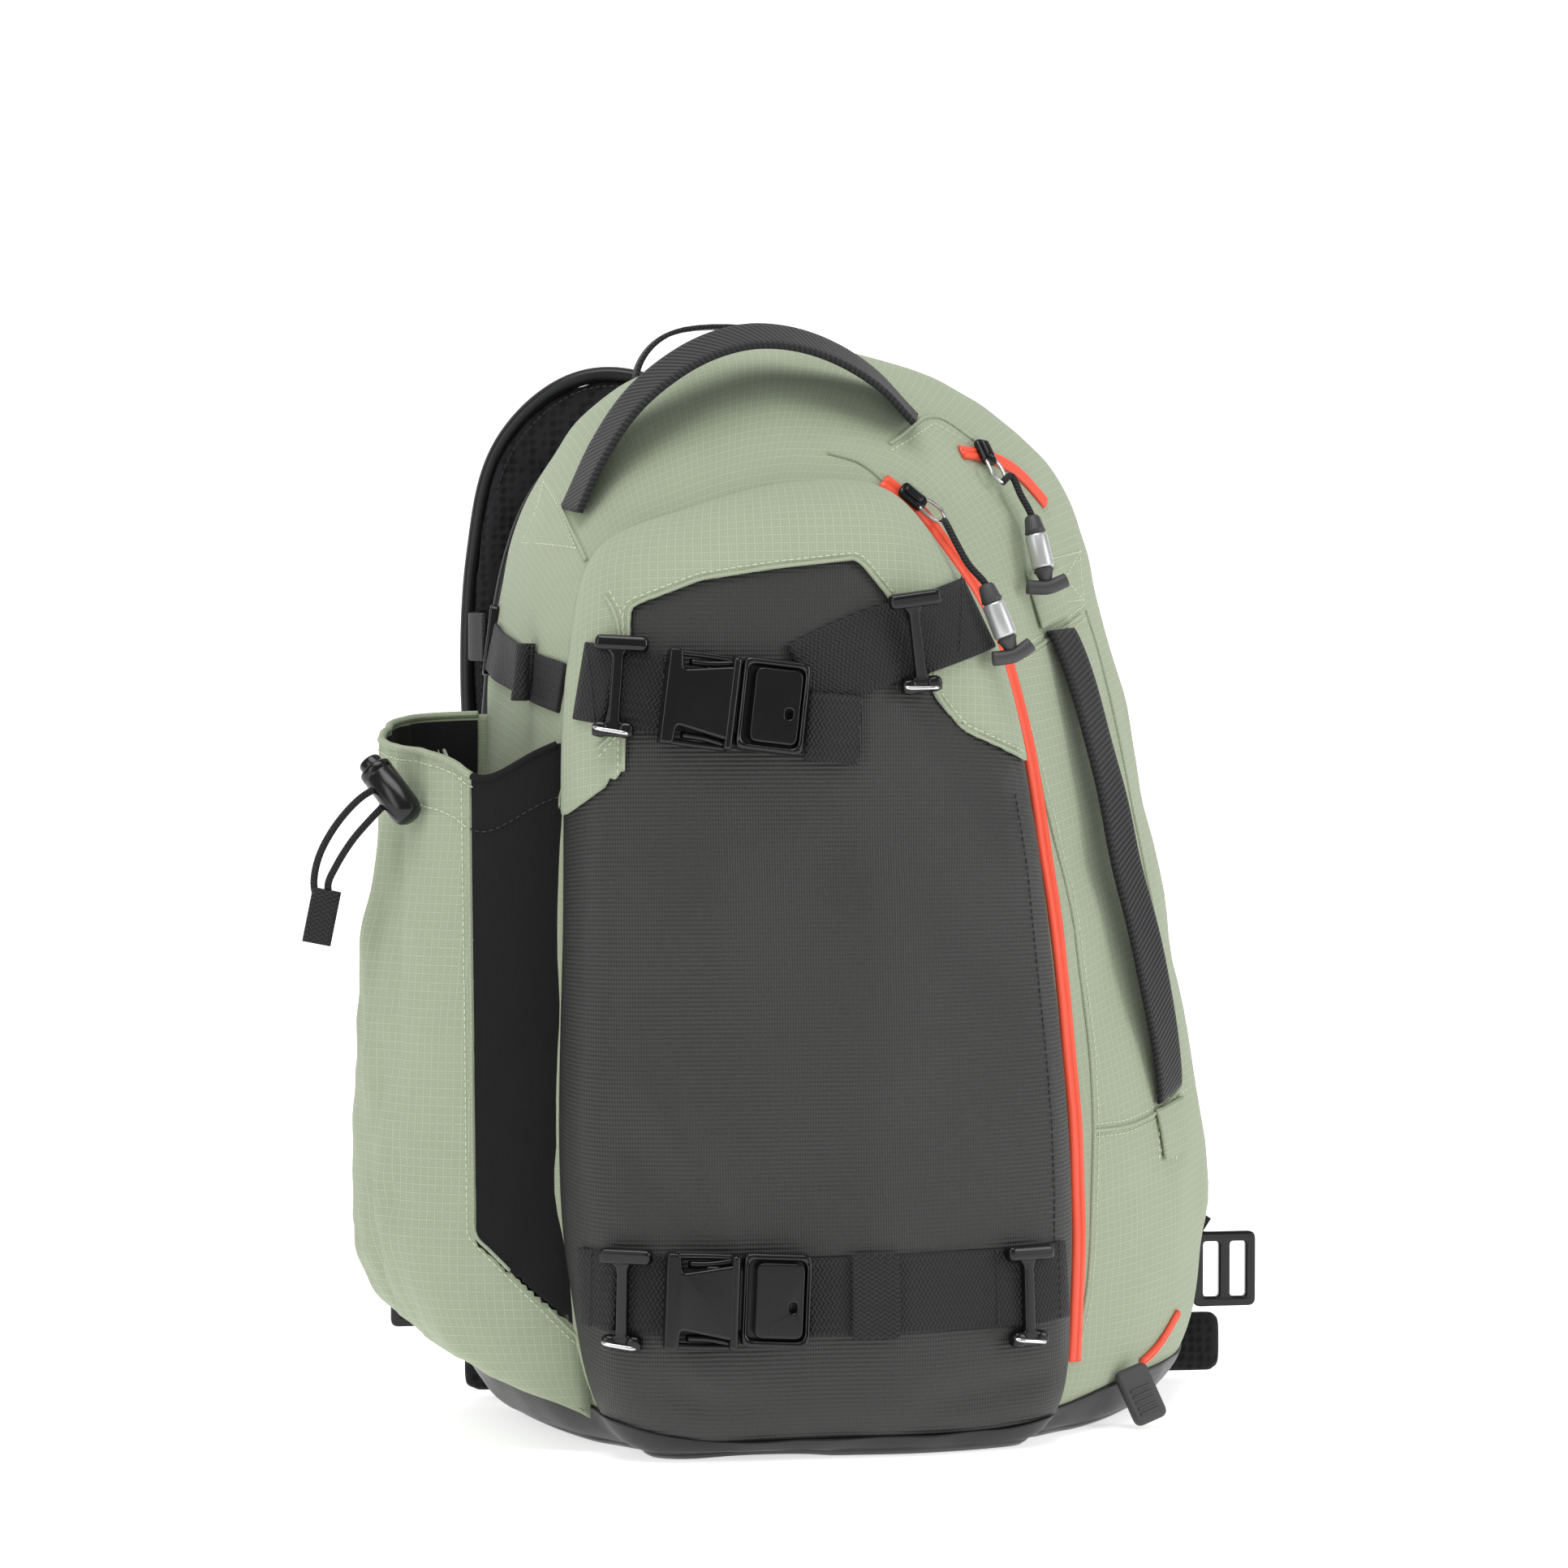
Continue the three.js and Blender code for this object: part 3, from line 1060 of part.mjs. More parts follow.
for (const hip of HIPS) {
  const strap = solidOf(shoulderStrap(hip.side, 0)).subtract(panelClear).subtract(bodyClear);
  add(`shoulder_strap_${hip.name}`, 'mesh', geometryOf(largest(strap)));
  const strapClear = solidOf(shoulderStrap(hip.side, GAP));
  const spot = ([x, y, z]) => new THREE.Vector3(
    hip.side * wide(x),
    PANEL_REAR + y * BODY_DEPTH,
    high(z),
  );
  const end = harnessPoint(HARNESS.at(-1), hip.side);
  const top = end.clone().add(new THREE.Vector3(0, 0, 3));
  const below = end.clone().add(new THREE.Vector3(hip.side * 5, 0, -26));
  const slider = new THREE.Vector3(hip.side * wide(hip.slider), PANEL_REAR + 4, SLIDER_Z);
  const reach = slider.clone().add(new THREE.Vector3(-hip.side * 12, 6, 12));
  const [inner, outer] = hip.wing.map(wide);
  add(`hip_wing_${hip.name}`, 'mesh', roundedBox(outer - inner, WING_HEIGHT, WING_PAD, 6)
    .rotateX(Math.PI / 2)
    .translate(
      hip.side * (inner + outer) / 2,
      PANEL_REAR + GAP + WING_PAD / 2,
      WING_LIFT + WING_HEIGHT / 2,
    ));
  const hanging = solidOf(freeRibbon([top, below, ...hip.hang.map(spot), reach], NARROW_WIDTH));
  const cut = hanging.subtract(strapClear).subtract(strapClear.translate([0, 0, -GAP]));
  const webbing = `lower_webbing_${hip.name}`;
  add(webbing, 'webbing', geometryOf(largest(cut)));
  const frame = slotFrameGeometry(...SLIDER_SIZE).rotateX(Math.PI / 2);
  const sliderStart = new THREE.Matrix4().makeTranslation(slider.x, slider.y - 8, slider.z);
  const sliderName = `strap_slider_${hip.name}`;
  add(sliderName, 'plastic', frame, settled(
    frame,
    sliderStart,
    new THREE.Vector3(0, 1, 0),
    [webbing],
  ));
  const tieEnd = slider.x - hip.side * (SLIDER_SIZE[0] / 2 + GAP);
  const tie = [0, 1].map((k) => new THREE.Vector3(
    tieEnd - hip.side * TIE_LENGTH * k,
    PANEL_REAR + GAP + STRAP_CLOTH / 2,
    slider.z - 2,
  ));
  const tieRibbon = freeRibbon(tie, NARROW_WIDTH);
  const inward = new THREE.Vector3(0, -1, 0);
  add(`hip_webbing_${hip.name}`, 'webbing', tieRibbon.applyMatrix4(
    settled(tieRibbon, new THREE.Matrix4(), inward, ['back_panel'], 1),
  ));
}

// Haul loop on the top edge of the back panel.
const HAUL = [[-0.2, 0.955], [-0.195, 1.01], [-0.15, 1.04], [0, 1.04], [0.04, 1.02], [0.05, 0.965]];
const HAUL_WIDTH = 11;
add('haul_loop', 'webbing', cleared(geometryOf(solidOf(freeRibbon(
  HAUL.map(([x, z]) => new THREE.Vector3(wide(x), BODY_BACK + BACK_PAD / 2, high(z))),
  HAUL_WIDTH,
  new THREE.Vector3(0, 1, 0),
)).subtract(panelClear))));

// Load strap on the left side: webbing, a rolled keeper and a buckle.
const LOAD_ABOVE = 24;
const aboveRim = (share) => BOTTLE_HEIGHT * BOTTLE_EDGES.at(-1).rim + share * LOAD_ABOVE;
const LOAD = [[0.797, 0.5], [0.557, 0.75], [0.257, 1.03], [0.137, 1.21]]
  .map(([y, z]) => [deep(y), aboveRim(z)]);
add('load_webbing', 'webbing', cleared(
  laidBand('left', shellSeat, LOAD, NARROW_WIDTH - 4, GAP, STRAP_CLOTH, 0, 18),
));
const KEEPER_DIAMETER = 9;
const keeperFrame = frameOn('left', shellSeat, deep(0.607), aboveRim(0.75), [4, 0],
  LAYER + GAP + KEEPER_DIAMETER / 2);
const keeper = new THREE.CylinderGeometry(
  KEEPER_DIAMETER / 2,
  KEEPER_DIAMETER / 2,
  NARROW_WIDTH,
  10,
);
const keeperIn = new THREE.Vector3().setFromMatrixColumn(keeperFrame, 2).negate();
add('rolled_keeper', 'webbing', keeper, settled(keeper, keeperFrame, keeperIn, ['load_webbing',
  'main_body']));
const loadFrame = frameOn('left', shellSeat, deep(0.067), aboveRim(1.31), [4, 0], 4 * LAYER);
const loadIn = new THREE.Vector3().setFromMatrixColumn(loadFrame, 2).negate();
const LOAD_BUCKLE = [16, 31];
const loadBuckle = slotFrameGeometry(...LOAD_BUCKLE);
add('load_buckle', 'plastic', loadBuckle, settled(loadBuckle, loadFrame, loadIn, ['load_webbing',
  'main_body']));
const loadStart = new THREE.Vector3().setFromMatrixPosition(loadFrame);
const loadLoop = freeRibbon([
  new THREE.Vector3(loadStart.x + 6, BODY_BACK + 1, loadStart.z),
  new THREE.Vector3(loadStart.x - 2, BODY_BACK + 18, loadStart.z + 1),
  new THREE.Vector3(loadStart.x + 6, PANEL_REAR + 0.45 * BODY_DEPTH, loadStart.z + 2),
], NARROW_WIDTH - 4, new THREE.Vector3(0, 0, 1));
add('load_loop', 'webbing', geometryOf(largest(solidOf(loadLoop)
  .subtract(solidOf(shoulderStrap(-1, GAP))).subtract(panelClear).subtract(bodyClear))));

// Rubber tongue at the foot of the pouch zip.
const TONGUE = [10, 26, 3.5];
const tongueTurn = new THREE.Quaternion().setFromEuler(new THREE.Euler(-0.15, -0.75, 0.3));
const tongueStart = new THREE.Matrix4().compose(
  new THREE.Vector3(wide(0.425), deep(0.877), high(0.032)),
  tongueTurn,
  new THREE.Vector3(1, 1, 1),
);
const rubberTongue = roundedBox(TONGUE[0], TONGUE[1], TONGUE[2], 4).rotateX(Math.PI / 2);
const tongueIn = new THREE.Vector3(-0.3, 1, 0).normalize();
add('rubber_tongue', 'rubber', rubberTongue, settled(rubberTongue, tongueStart, tongueIn,
  ['main_body', 'base_boot'], 4));

export default backpack;
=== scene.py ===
# %% [markdown]
# # A camera backpack, standing on its base
# The bag is a padded shell with a tarpaulin pocket on its front, a stretch bottle pocket on
# its left and a padded harness behind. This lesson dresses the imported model: each soft
# piece is built again as a fine surface from the same few sections as the solid, so that it
# sags, folds and catches the light like cloth, and each hard piece gets rounded edges.
# Lengths are written in millimetres and turned to metres once, when a mesh is made.

import math

import bmesh
import bpy
import numpy as np
from mathutils import Matrix, Vector, noise
from mathutils.bvhtree import BVHTree


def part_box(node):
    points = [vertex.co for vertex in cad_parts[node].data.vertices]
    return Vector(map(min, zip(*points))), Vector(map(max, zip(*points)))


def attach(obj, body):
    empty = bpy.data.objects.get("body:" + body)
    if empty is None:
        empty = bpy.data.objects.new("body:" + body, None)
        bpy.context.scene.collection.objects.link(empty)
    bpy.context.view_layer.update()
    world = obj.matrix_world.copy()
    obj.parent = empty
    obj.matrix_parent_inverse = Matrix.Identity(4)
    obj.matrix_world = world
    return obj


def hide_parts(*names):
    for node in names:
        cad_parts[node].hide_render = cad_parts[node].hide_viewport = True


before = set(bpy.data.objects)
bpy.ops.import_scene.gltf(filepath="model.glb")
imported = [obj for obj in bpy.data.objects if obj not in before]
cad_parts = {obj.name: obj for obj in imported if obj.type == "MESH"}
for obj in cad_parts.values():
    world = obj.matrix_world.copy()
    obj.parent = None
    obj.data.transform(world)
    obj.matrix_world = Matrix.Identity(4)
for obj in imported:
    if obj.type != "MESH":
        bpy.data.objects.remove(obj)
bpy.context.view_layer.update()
MM = 0.001
BAG = "bag"
print("solids loaded:", len(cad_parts))

# %% [markdown]
# ## Camera
# The picture is taken from a little to the left of straight ahead, from three quarters of
# the bag's height, with a long lens. A long lens far away keeps upright edges nearly
# parallel, which is how product pictures look. The distance sets the perspective and the
# lens the framing.

# %% Camera
AZIMUTH = math.radians(-10)
CAMERA_AWAY = 2.05
CAMERA_HEIGHT = 0.34
AIM_SIDE = -0.013
PICTURE = 1932
FOCAL_PIXELS = 5960
AIM_DOWN = math.atan2(196, FOCAL_PIXELS)

camera_data = bpy.data.cameras.new("camera")
camera_data.sensor_width = 36
camera_data.lens = 36 * FOCAL_PIXELS / PICTURE
camera = bpy.data.objects.new("camera", camera_data)
bpy.context.scene.collection.objects.link(camera)
camera.location = (
    AIM_SIDE + math.sin(AZIMUTH) * CAMERA_AWAY,
    -math.cos(AZIMUTH) * CAMERA_AWAY,
    CAMERA_HEIGHT,
)
ahead = Vector((
    -math.sin(AZIMUTH) * math.cos(AIM_DOWN),
    math.cos(AZIMUTH) * math.cos(AIM_DOWN),
    -math.sin(AIM_DOWN),
))
camera.rotation_mode = "QUATERNION"
camera.rotation_quaternion = ahead.to_track_quat("-Z", "Y")
bpy.context.scene.camera = camera
print("lens mm:", round(camera_data.lens, 1))

# %% [markdown]
# ## Small helpers
# Every outline and route here is a short list of corners. One helper draws a smooth curve
# through them, as a tailor's French curve would, and another spaces its points evenly.


# %% Helpers for lines
def curve_through(corners, closed=False, per_span=8):
    """Points of a centripetal Catmull-Rom curve through the corners."""
    p = np.asarray(corners, float)
    n = len(p)
    if not closed:
        p = np.vstack([2 * p[0] - p[1], p, 2 * p[-1] - p[-2]])
    t = np.linspace(0, 1, per_span, endpoint=False)[:, None]
    out = []
    for k in range(n if closed else n - 1):
        if closed:
            a, b, c, d = p[k - 1], p[k], p[(k + 1) % n], p[(k + 2) % n]
        else:
            a, b, c, d = p[k], p[k + 1], p[k + 2], p[k + 3]
        s0, s1, s2 = (max(np.linalg.norm(v), 1e-6) ** 0.5 for v in (b - a, c - b, d - c))
        m1 = s1 * ((b - a) / s0 - (c - a) / (s0 + s1) + (c - b) / s1)
        m2 = s1 * ((c - b) / s1 - (d - b) / (s1 + s2) + (d - c) / s2)
        out.append(
            (2 * t**3 - 3 * t**2 + 1) * b
            + (t**3 - 2 * t**2 + t) * m1
            + (3 * t**2 - 2 * t**3) * c
            + (t**3 - t**2) * m2
        )
    if not closed:
        out.append(p[-2][None])
    return np.vstack(out)


def lengths_along(points):
    """How far along the line each point lies."""
    return np.r_[0, np.cumsum(np.linalg.norm(np.diff(points, axis=0), axis=1))]


def evenly(points, step):
    """The same open line with points a step apart."""
    away = lengths_along(points)
    at = np.linspace(0, away[-1], max(3, int(round(away[-1] / step)) + 1))
    return np.stack([np.interp(at, away, points[:, k]) for k in range(points.shape[1])], 1)


def unit(v):
    """Directions of length one; a vector of no length stays as it is."""
    return v / np.maximum(np.linalg.norm(v, axis=-1, keepdims=True), 1e-9)


# %% [markdown]
# Most cloth here is a grid of points, so one helper turns a grid into a mesh with a UV map
# in metres. A UV map in real lengths lets a weave have its real pitch on every piece.


# %% Helpers for meshes
def new_object(name, mesh):
    made = bpy.data.objects.new(name, mesh)
    bpy.context.scene.collection.objects.link(made)
    return made


def grid_piece(name, points, uv, closed=False, caps=()):
    """A mesh from a grid of points in millimetres and a grid of UV places in metres."""
    rows, columns = points.shape[:2]
    spans = columns if closed else columns - 1
    i, j = np.meshgrid(np.arange(rows - 1), np.arange(spans), indexing="ij")
    k = (j + 1) % columns
    quads = np.stack([i * columns + j, i * columns + k, (i + 1) * columns + k, (i + 1) * columns + j], -1)
    corners = np.stack([uv[i, j], uv[i, j + 1], uv[i + 1, j + 1], uv[i + 1, j]], 2)
    faces = quads.reshape(-1, 4).tolist()
    places = corners.reshape(-1, 2).tolist()
    for end in caps:
        row, order = (0, slice(None, None, -1)) if end == "first" else (rows - 1, slice(None))
        faces.append(list(range(row * columns, (row + 1) * columns))[order])
        places += uv[row, :columns][order].tolist()
    mesh = bpy.data.meshes.new(name)
    mesh.from_pydata((points.reshape(-1, 3) * MM).tolist(), [], faces)
    layer = mesh.uv_layers.new(name="cloth")
    layer.data.foreach_set("uv", np.asarray(places, np.float32).ravel())
    mesh.shade_smooth()
    return new_object(name, mesh)


def turn_out(piece, inside=None):
    """Makes the faces look away from a point, or out of a closed mesh."""
    made = bmesh.new()
    made.from_mesh(piece.data)
    if inside is None:
        bmesh.ops.recalc_face_normals(made, faces=made.faces)
    else:
        middle = Vector(inside) * MM
        score = sum(f.normal.dot(f.calc_center_median() - middle) * f.calc_area() for f in made.faces)
        if score < 0:
            bmesh.ops.reverse_faces(made, faces=made.faces)
    made.to_mesh(piece.data)
    made.free()


# %% [markdown]
# Straps, seams and pulls lie on the cloth. A search tree finds the place on a surface that
# is seen at a spot in one view, and which way the surface faces there.


# %% Finding places on a surface
def tree_of(*pieces):
    """A search tree over the faces of some meshes, in metres."""
    points, faces = [], []
    for piece in pieces:
        start = len(points)
        points += [v.co.copy() for v in piece.data.vertices]
        faces += [[start + v for v in f.vertices] for f in piece.data.polygons]
    return BVHTree.FromPolygons(points, faces)


VIEWS = {
    "front": (lambda a, b: (a, -900, b), Vector((0, 1, 0))),
    "left": (lambda a, b: (-900, a, b), Vector((1, 0, 0))),
    "right": (lambda a, b: (900, a, b), Vector((-1, 0, 0))),
    "top": (lambda a, b: (a, b, 900), Vector((0, 0, -1))),
}


def seat(tree, view, a, b):
    """Point and outward normal of the surface at a place seen in one view, in millimetres."""
    start, look = VIEWS[view]
    point, normal, _, _ = tree.ray_cast(Vector(start(a, b)) * MM, look)
    if point is None:
        point, normal, _, _ = tree.find_nearest(Vector(start(a, b)) * MM + look * 0.9)
    if normal.dot(look) > 0:
        normal = -normal
    return np.array(point) / MM, np.array(normal)



# %% Finishing a piece
def applied(piece):
    """The piece with its modifiers turned into its mesh."""
    shown = piece.evaluated_get(bpy.context.evaluated_depsgraph_get())
    mesh = bpy.data.meshes.new_from_object(shown)
    piece.modifiers.clear()
    piece.data = mesh
    return piece


def hand_over(piece, material, nodes=(), body=BAG):
    """Gives a finished piece its material, its body and the solids it stands for."""
    if piece.modifiers:
        applied(piece)
    piece.data.materials.clear()
    piece.data.materials.append(material)
    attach(piece, body)
    if nodes:
        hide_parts(*nodes)
    return piece


def walled(piece, thickness):
    """Gives a sheet its thickness, in millimetres, on its inner side."""
    wall = piece.modifiers.new("wall", "SOLIDIFY")
    wall.thickness = thickness * MM
    wall.offset = -1
    wall.use_even_offset = False
    return piece


# %% [markdown]
# Cloth is never flat. Smooth noise along the surface's normals gives it slow waves.


# %% Waves for cloth
def bumpy(points, normals, size, height, seed):
    """Moves points along their normals by smooth noise of a size and height in millimetres."""
    flat = points.reshape(-1, 3)
    wave = np.array([noise.noise(Vector(p / size) + Vector((seed, seed, seed))) for p in flat])
    return points + normals * (height * wave).reshape(points.shape[:-1])[..., None]


def grid_normals(points, closed=False):
    """Unit normals of a grid of points."""
    if closed:
        across = np.roll(points, -1, 1) - np.roll(points, 1, 1)
    else:
        across = np.gradient(points, axis=1)
    return unit(np.cross(across, np.gradient(points, axis=0)))


# %% [markdown]
# ## Shader groups
# Cloth is mostly pattern at several sizes: threads, a coarser grid or rib, and slow changes
# of tone from handling. Each effect that several finishes share is one node group with
# named inputs, so a finish is a few numbers. A group only puts out tones, masks and
# heights; the Principled shader stays in each material, where its plain numbers are set.


# %% Helpers for node trees
def feed(tree, socket, value):
    """Links a socket to another node's output, or sets it to a number or a colour."""
    if isinstance(value, bpy.types.NodeSocket):
        tree.links.new(value, socket)
    else:
        socket.default_value = value


def put(tree, kind, settings=None, **values):
    """Adds a node; its inputs are named, with _ for a space, or numbered, as i0 and i1."""
    made = tree.nodes.new(kind)
    for key, value in (settings or {}).items():
        setattr(made, key, value)
    for key, value in values.items():
        numbered = key[0] == "i" and key[1:].isdigit()
        feed(tree, made.inputs[int(key[1:]) if numbered else key.replace("_", " ")], value)
    return made


def maths(tree, operation, a, b=0.0, c=0.0):
    """One sum on numbers or sockets, and the socket with its result."""
    return put(tree, "ShaderNodeMath", {"operation": operation}, i0=a, i1=b, i2=c).outputs[0]


def scaled(tree, colour, share):
    """A colour made lighter or darker by a share."""
    made = put(tree, "ShaderNodeVectorMath", {"operation": "SCALE"}, i0=colour)
    feed(tree, made.inputs["Scale"], share)
    return made.outputs[0]


def new_group(name, inputs, outputs):
    """An empty shader group with its sockets, and the nodes that hold them."""
    tree = bpy.data.node_groups.new(name, "ShaderNodeTree")
    for label, kind, value in inputs:
        socket = tree.interface.new_socket(name=label, in_out="INPUT", socket_type=kind)
        if value is not None:
            socket.default_value = value
    for label, kind in outputs:
        tree.interface.new_socket(name=label, in_out="OUTPUT", socket_type=kind)
    return tree, tree.nodes.new("NodeGroupInput"), tree.nodes.new("NodeGroupOutput")


FLOAT, VECTOR, COLOUR = "NodeSocketFloat", "NodeSocketVector", "NodeSocketColor"

# Slow changes of tone, and fine fibre grain.
WEAR, source, sink = new_group(
    "handled_tone",
    [("Place", VECTOR, None), ("Colour", COLOUR, (0.5, 0.5, 0.5, 1)), ("Patch size", FLOAT, 20.0),
     ("Change", FLOAT, 0.15), ("Fibre size", FLOAT, 900.0)],
    [("Colour", COLOUR), ("Fibre", FLOAT), ("Patch", FLOAT)],
)
patch = put(WEAR, "ShaderNodeTexNoise", Vector=source.outputs["Place"],
            Scale=source.outputs["Patch size"], Detail=4.0, Roughness=0.6)
fibre = put(WEAR, "ShaderNodeTexNoise", Vector=source.outputs["Place"],
            Scale=source.outputs["Fibre size"], Detail=2.0, Roughness=0.7)
mixed = maths(WEAR, "ADD", maths(WEAR, "MULTIPLY", patch.outputs[0], 0.65),
              maths(WEAR, "MULTIPLY", fibre.outputs[0], 0.35))
centred = maths(WEAR, "SUBTRACT", mixed, 0.5)
gain = maths(WEAR, "MULTIPLY_ADD", centred, source.outputs["Change"], 1.0)
WEAR.links.new(scaled(WEAR, source.outputs["Colour"], gain), sink.inputs["Colour"])
WEAR.links.new(fibre.outputs[0], sink.inputs["Fibre"])
WEAR.links.new(patch.outputs[0], sink.inputs["Patch"])

# Lines at a pitch along one direction of the cloth, as ribs or heavier threads.
LINES, source, sink = new_group(
    "thread_lines",
    [("Along", FLOAT, 0.0), ("Pitch", FLOAT, 0.004), ("Width", FLOAT, 0.1)],
    [("Line", FLOAT), ("Wave", FLOAT)],
)
turns = maths(LINES, "DIVIDE", source.outputs["Along"], source.outputs["Pitch"])
away = maths(LINES, "ABSOLUTE", maths(LINES, "SUBTRACT", maths(LINES, "FRACT", turns), 0.5))
edge = put(LINES, "ShaderNodeMapRange", {"interpolation_type": "SMOOTHSTEP"}, Value=away)
LINES.links.new(source.outputs["Width"], edge.inputs["From Max"])
edge.inputs["To Min"].default_value = 1.0
edge.inputs["To Max"].default_value = 0.0
wave = maths(LINES, "SINE", maths(LINES, "MULTIPLY", turns, 2 * math.pi))
LINES.links.new(edge.outputs[0], sink.inputs["Line"])
LINES.links.new(wave, sink.inputs["Wave"])


def use_group(tree, group, **values):
    """Places a shader group in a material with its own values."""
    return put(tree, "ShaderNodeGroup", {"node_tree": group}, **values)


def new_finish(name, roughness, metallic=0.0, specular=0.5, sheen=0.0):
    """A material with a Principled shader; numbers that are even all over sit on its sockets."""
    made = bpy.data.materials.new(name)
    made.use_nodes = True
    shader = made.node_tree.nodes["Principled BSDF"]
    shader.inputs["Roughness"].default_value = roughness
    shader.inputs["Metallic"].default_value = metallic
    shader.inputs["Specular IOR Level"].default_value = specular
    shader.inputs["Sheen Weight"].default_value = sheen
    return made, made.node_tree, shader


def bump_into(tree, shader, heights):
    """Adds bumps on top of each other; each is a height, its strength and its depth in mm."""
    last = None
    for height, strength, depth in heights:
        bump = put(tree, "ShaderNodeBump", Strength=strength, Distance=depth * MM, Height=height)
        if last is not None:
            tree.links.new(last, bump.inputs["Normal"])
        last = bump.outputs[0]
    tree.links.new(last, shader.inputs["Normal"])


def uneven_roughness(tree, shader, patch, low, high):
    """Roughness that wanders between two values with the slow patches of tone."""
    rough = put(tree, "ShaderNodeMapRange", Value=patch)
    rough.inputs["To Min"].default_value = low
    rough.inputs["To Max"].default_value = high
    tree.links.new(rough.outputs[0], shader.inputs["Roughness"])


def uv_parts(tree):
    """The place on the cloth in metres, and its two parts: along and across."""
    place = put(tree, "ShaderNodeUVMap", {"uv_map": "cloth"})
    parts = put(tree, "ShaderNodeSeparateXYZ", Vector=place.outputs[0])
    return place.outputs[0], parts.outputs[0], parts.outputs[1]


print("shader groups:", [g.name for g in bpy.data.node_groups])

# %% [markdown]
# ## Finishes
# The front and sides are ripstop: a plain weave with heavier threads about every four
# millimetres that stop a tear. The pocket is a coated cloth whose base weave shows through
# as small lozenges. Webbing shows ribs, the knit is plain and dull, and the moulded parts
# are smooth with a soft shine. Each finish mixes slow tone, its pattern and a fibre bump.


# %% Finishes of the cloths
GRID_THREAD = (0.56, 0.6, 0.47, 1)
FINE_THREAD = 0.00062


def ripstop(name, colour, pitch=0.0036):
    """A plain weave with a grid of heavier threads, which show as short dashes."""
    made, tree, shader = new_finish(name, 0.82, specular=0.3, sheen=0.12)
    place, along, across = uv_parts(tree)
    tone = use_group(tree, WEAR, Place=place, Colour=colour, Patch_size=14.0, Change=0.22,
                     Fibre_size=1400.0)
    up = use_group(tree, LINES, Along=along, Pitch=pitch, Width=0.09)
    over = use_group(tree, LINES, Along=across, Pitch=pitch, Width=0.09)
    dash_up = use_group(tree, LINES, Along=across, Pitch=pitch / 3.0, Width=0.5)
    dash_over = use_group(tree, LINES, Along=along, Pitch=pitch / 3.0, Width=0.5)
    grid = maths(tree, "MAXIMUM", maths(tree, "MULTIPLY", up.outputs[0], dash_up.outputs[0]),
                 maths(tree, "MULTIPLY", over.outputs[0], dash_over.outputs[0]))
    light = put(tree, "ShaderNodeMix", {"data_type": "RGBA"}, i0=maths(tree, "MULTIPLY", grid, 0.8),
                i6=tone.outputs["Colour"], i7=GRID_THREAD)
    tree.links.new(light.outputs[2], shader.inputs["Base Color"])
    fine_up = use_group(tree, LINES, Along=along, Pitch=FINE_THREAD, Width=0.4)
    fine_over = use_group(tree, LINES, Along=across, Pitch=FINE_THREAD, Width=0.4)
    weave = maths(tree, "MULTIPLY", fine_up.outputs["Wave"], fine_over.outputs["Wave"])
    bump_into(tree, shader, [
        (tone.outputs["Patch"], 0.25, 3.0), (weave, 0.35, 0.12), (grid, 0.7, 0.16),
        (tone.outputs["Fibre"], 0.3, 0.15),
    ])
    return made


def coated(name, colour, roughness, emboss, specular, pitch=0.0013):
    """A coated cloth: two sets of sloping lines make the small lozenges of its base weave."""
    made, tree, shader = new_finish(name, roughness, specular=specular)
    place, along, across = uv_parts(tree)
    tone = use_group(tree, WEAR, Place=place, Colour=colour, Patch_size=9.0, Change=0.3,
                     Fibre_size=700.0)
    tree.links.new(tone.outputs["Colour"], shader.inputs["Base Color"])
    sloped = maths(tree, "ADD", along, maths(tree, "MULTIPLY", across, 0.6))
    other = maths(tree, "SUBTRACT", along, maths(tree, "MULTIPLY", across, 0.6))
    one = use_group(tree, LINES, Along=sloped, Pitch=pitch, Width=0.4)
    two = use_group(tree, LINES, Along=other, Pitch=pitch, Width=0.4)
    lozenge = maths(tree, "MULTIPLY", one.outputs["Wave"], two.outputs["Wave"])
    uneven_roughness(tree, shader, tone.outputs["Patch"], roughness - 0.08, roughness + 0.1)
    bump_into(tree, shader, [
        (tone.outputs["Patch"], 0.3, 4.0), (lozenge, emboss, 0.22), (tone.outputs["Fibre"], 0.15, 0.1),
    ])
    return made


LANE = 0.0034


def webbed(name, colour, strength, rib=0.0019, slant=0.0):
    """Webbing: ribs across the strap, broken into lanes along it, or slanted right across."""
    made, tree, shader = new_finish(name, 0.62, specular=0.3, sheen=0.05)
    place, along, across = uv_parts(tree)
    tone = use_group(tree, WEAR, Place=place, Colour=colour, Patch_size=40.0, Change=0.35,
                     Fibre_size=1500.0)
    lanes = use_group(tree, LINES, Along=across, Pitch=LANE, Width=0.32)
    zigzag = maths(tree, "MULTIPLY", lanes.outputs["Wave"], rib * 0.35 * (0 if slant else 1))
    shift = maths(tree, "MULTIPLY_ADD", across, slant, zigzag)
    ribs = use_group(tree, LINES, Along=maths(tree, "ADD", along, shift), Pitch=rib, Width=0.45)
    height = ribs.outputs["Line"]
    shade = maths(tree, "MULTIPLY_ADD", height, 1.1, 0.35)
    tree.links.new(scaled(tree, tone.outputs["Colour"], shade), shader.inputs["Base Color"])
    bump_into(tree, shader, [
        (height, strength, 0.3), (lanes.outputs["Wave"], 0.0 if slant else 0.25, 0.12),
        (tone.outputs["Fibre"], 0.3, 0.12),
    ])
    return made


WALE = 0.0009


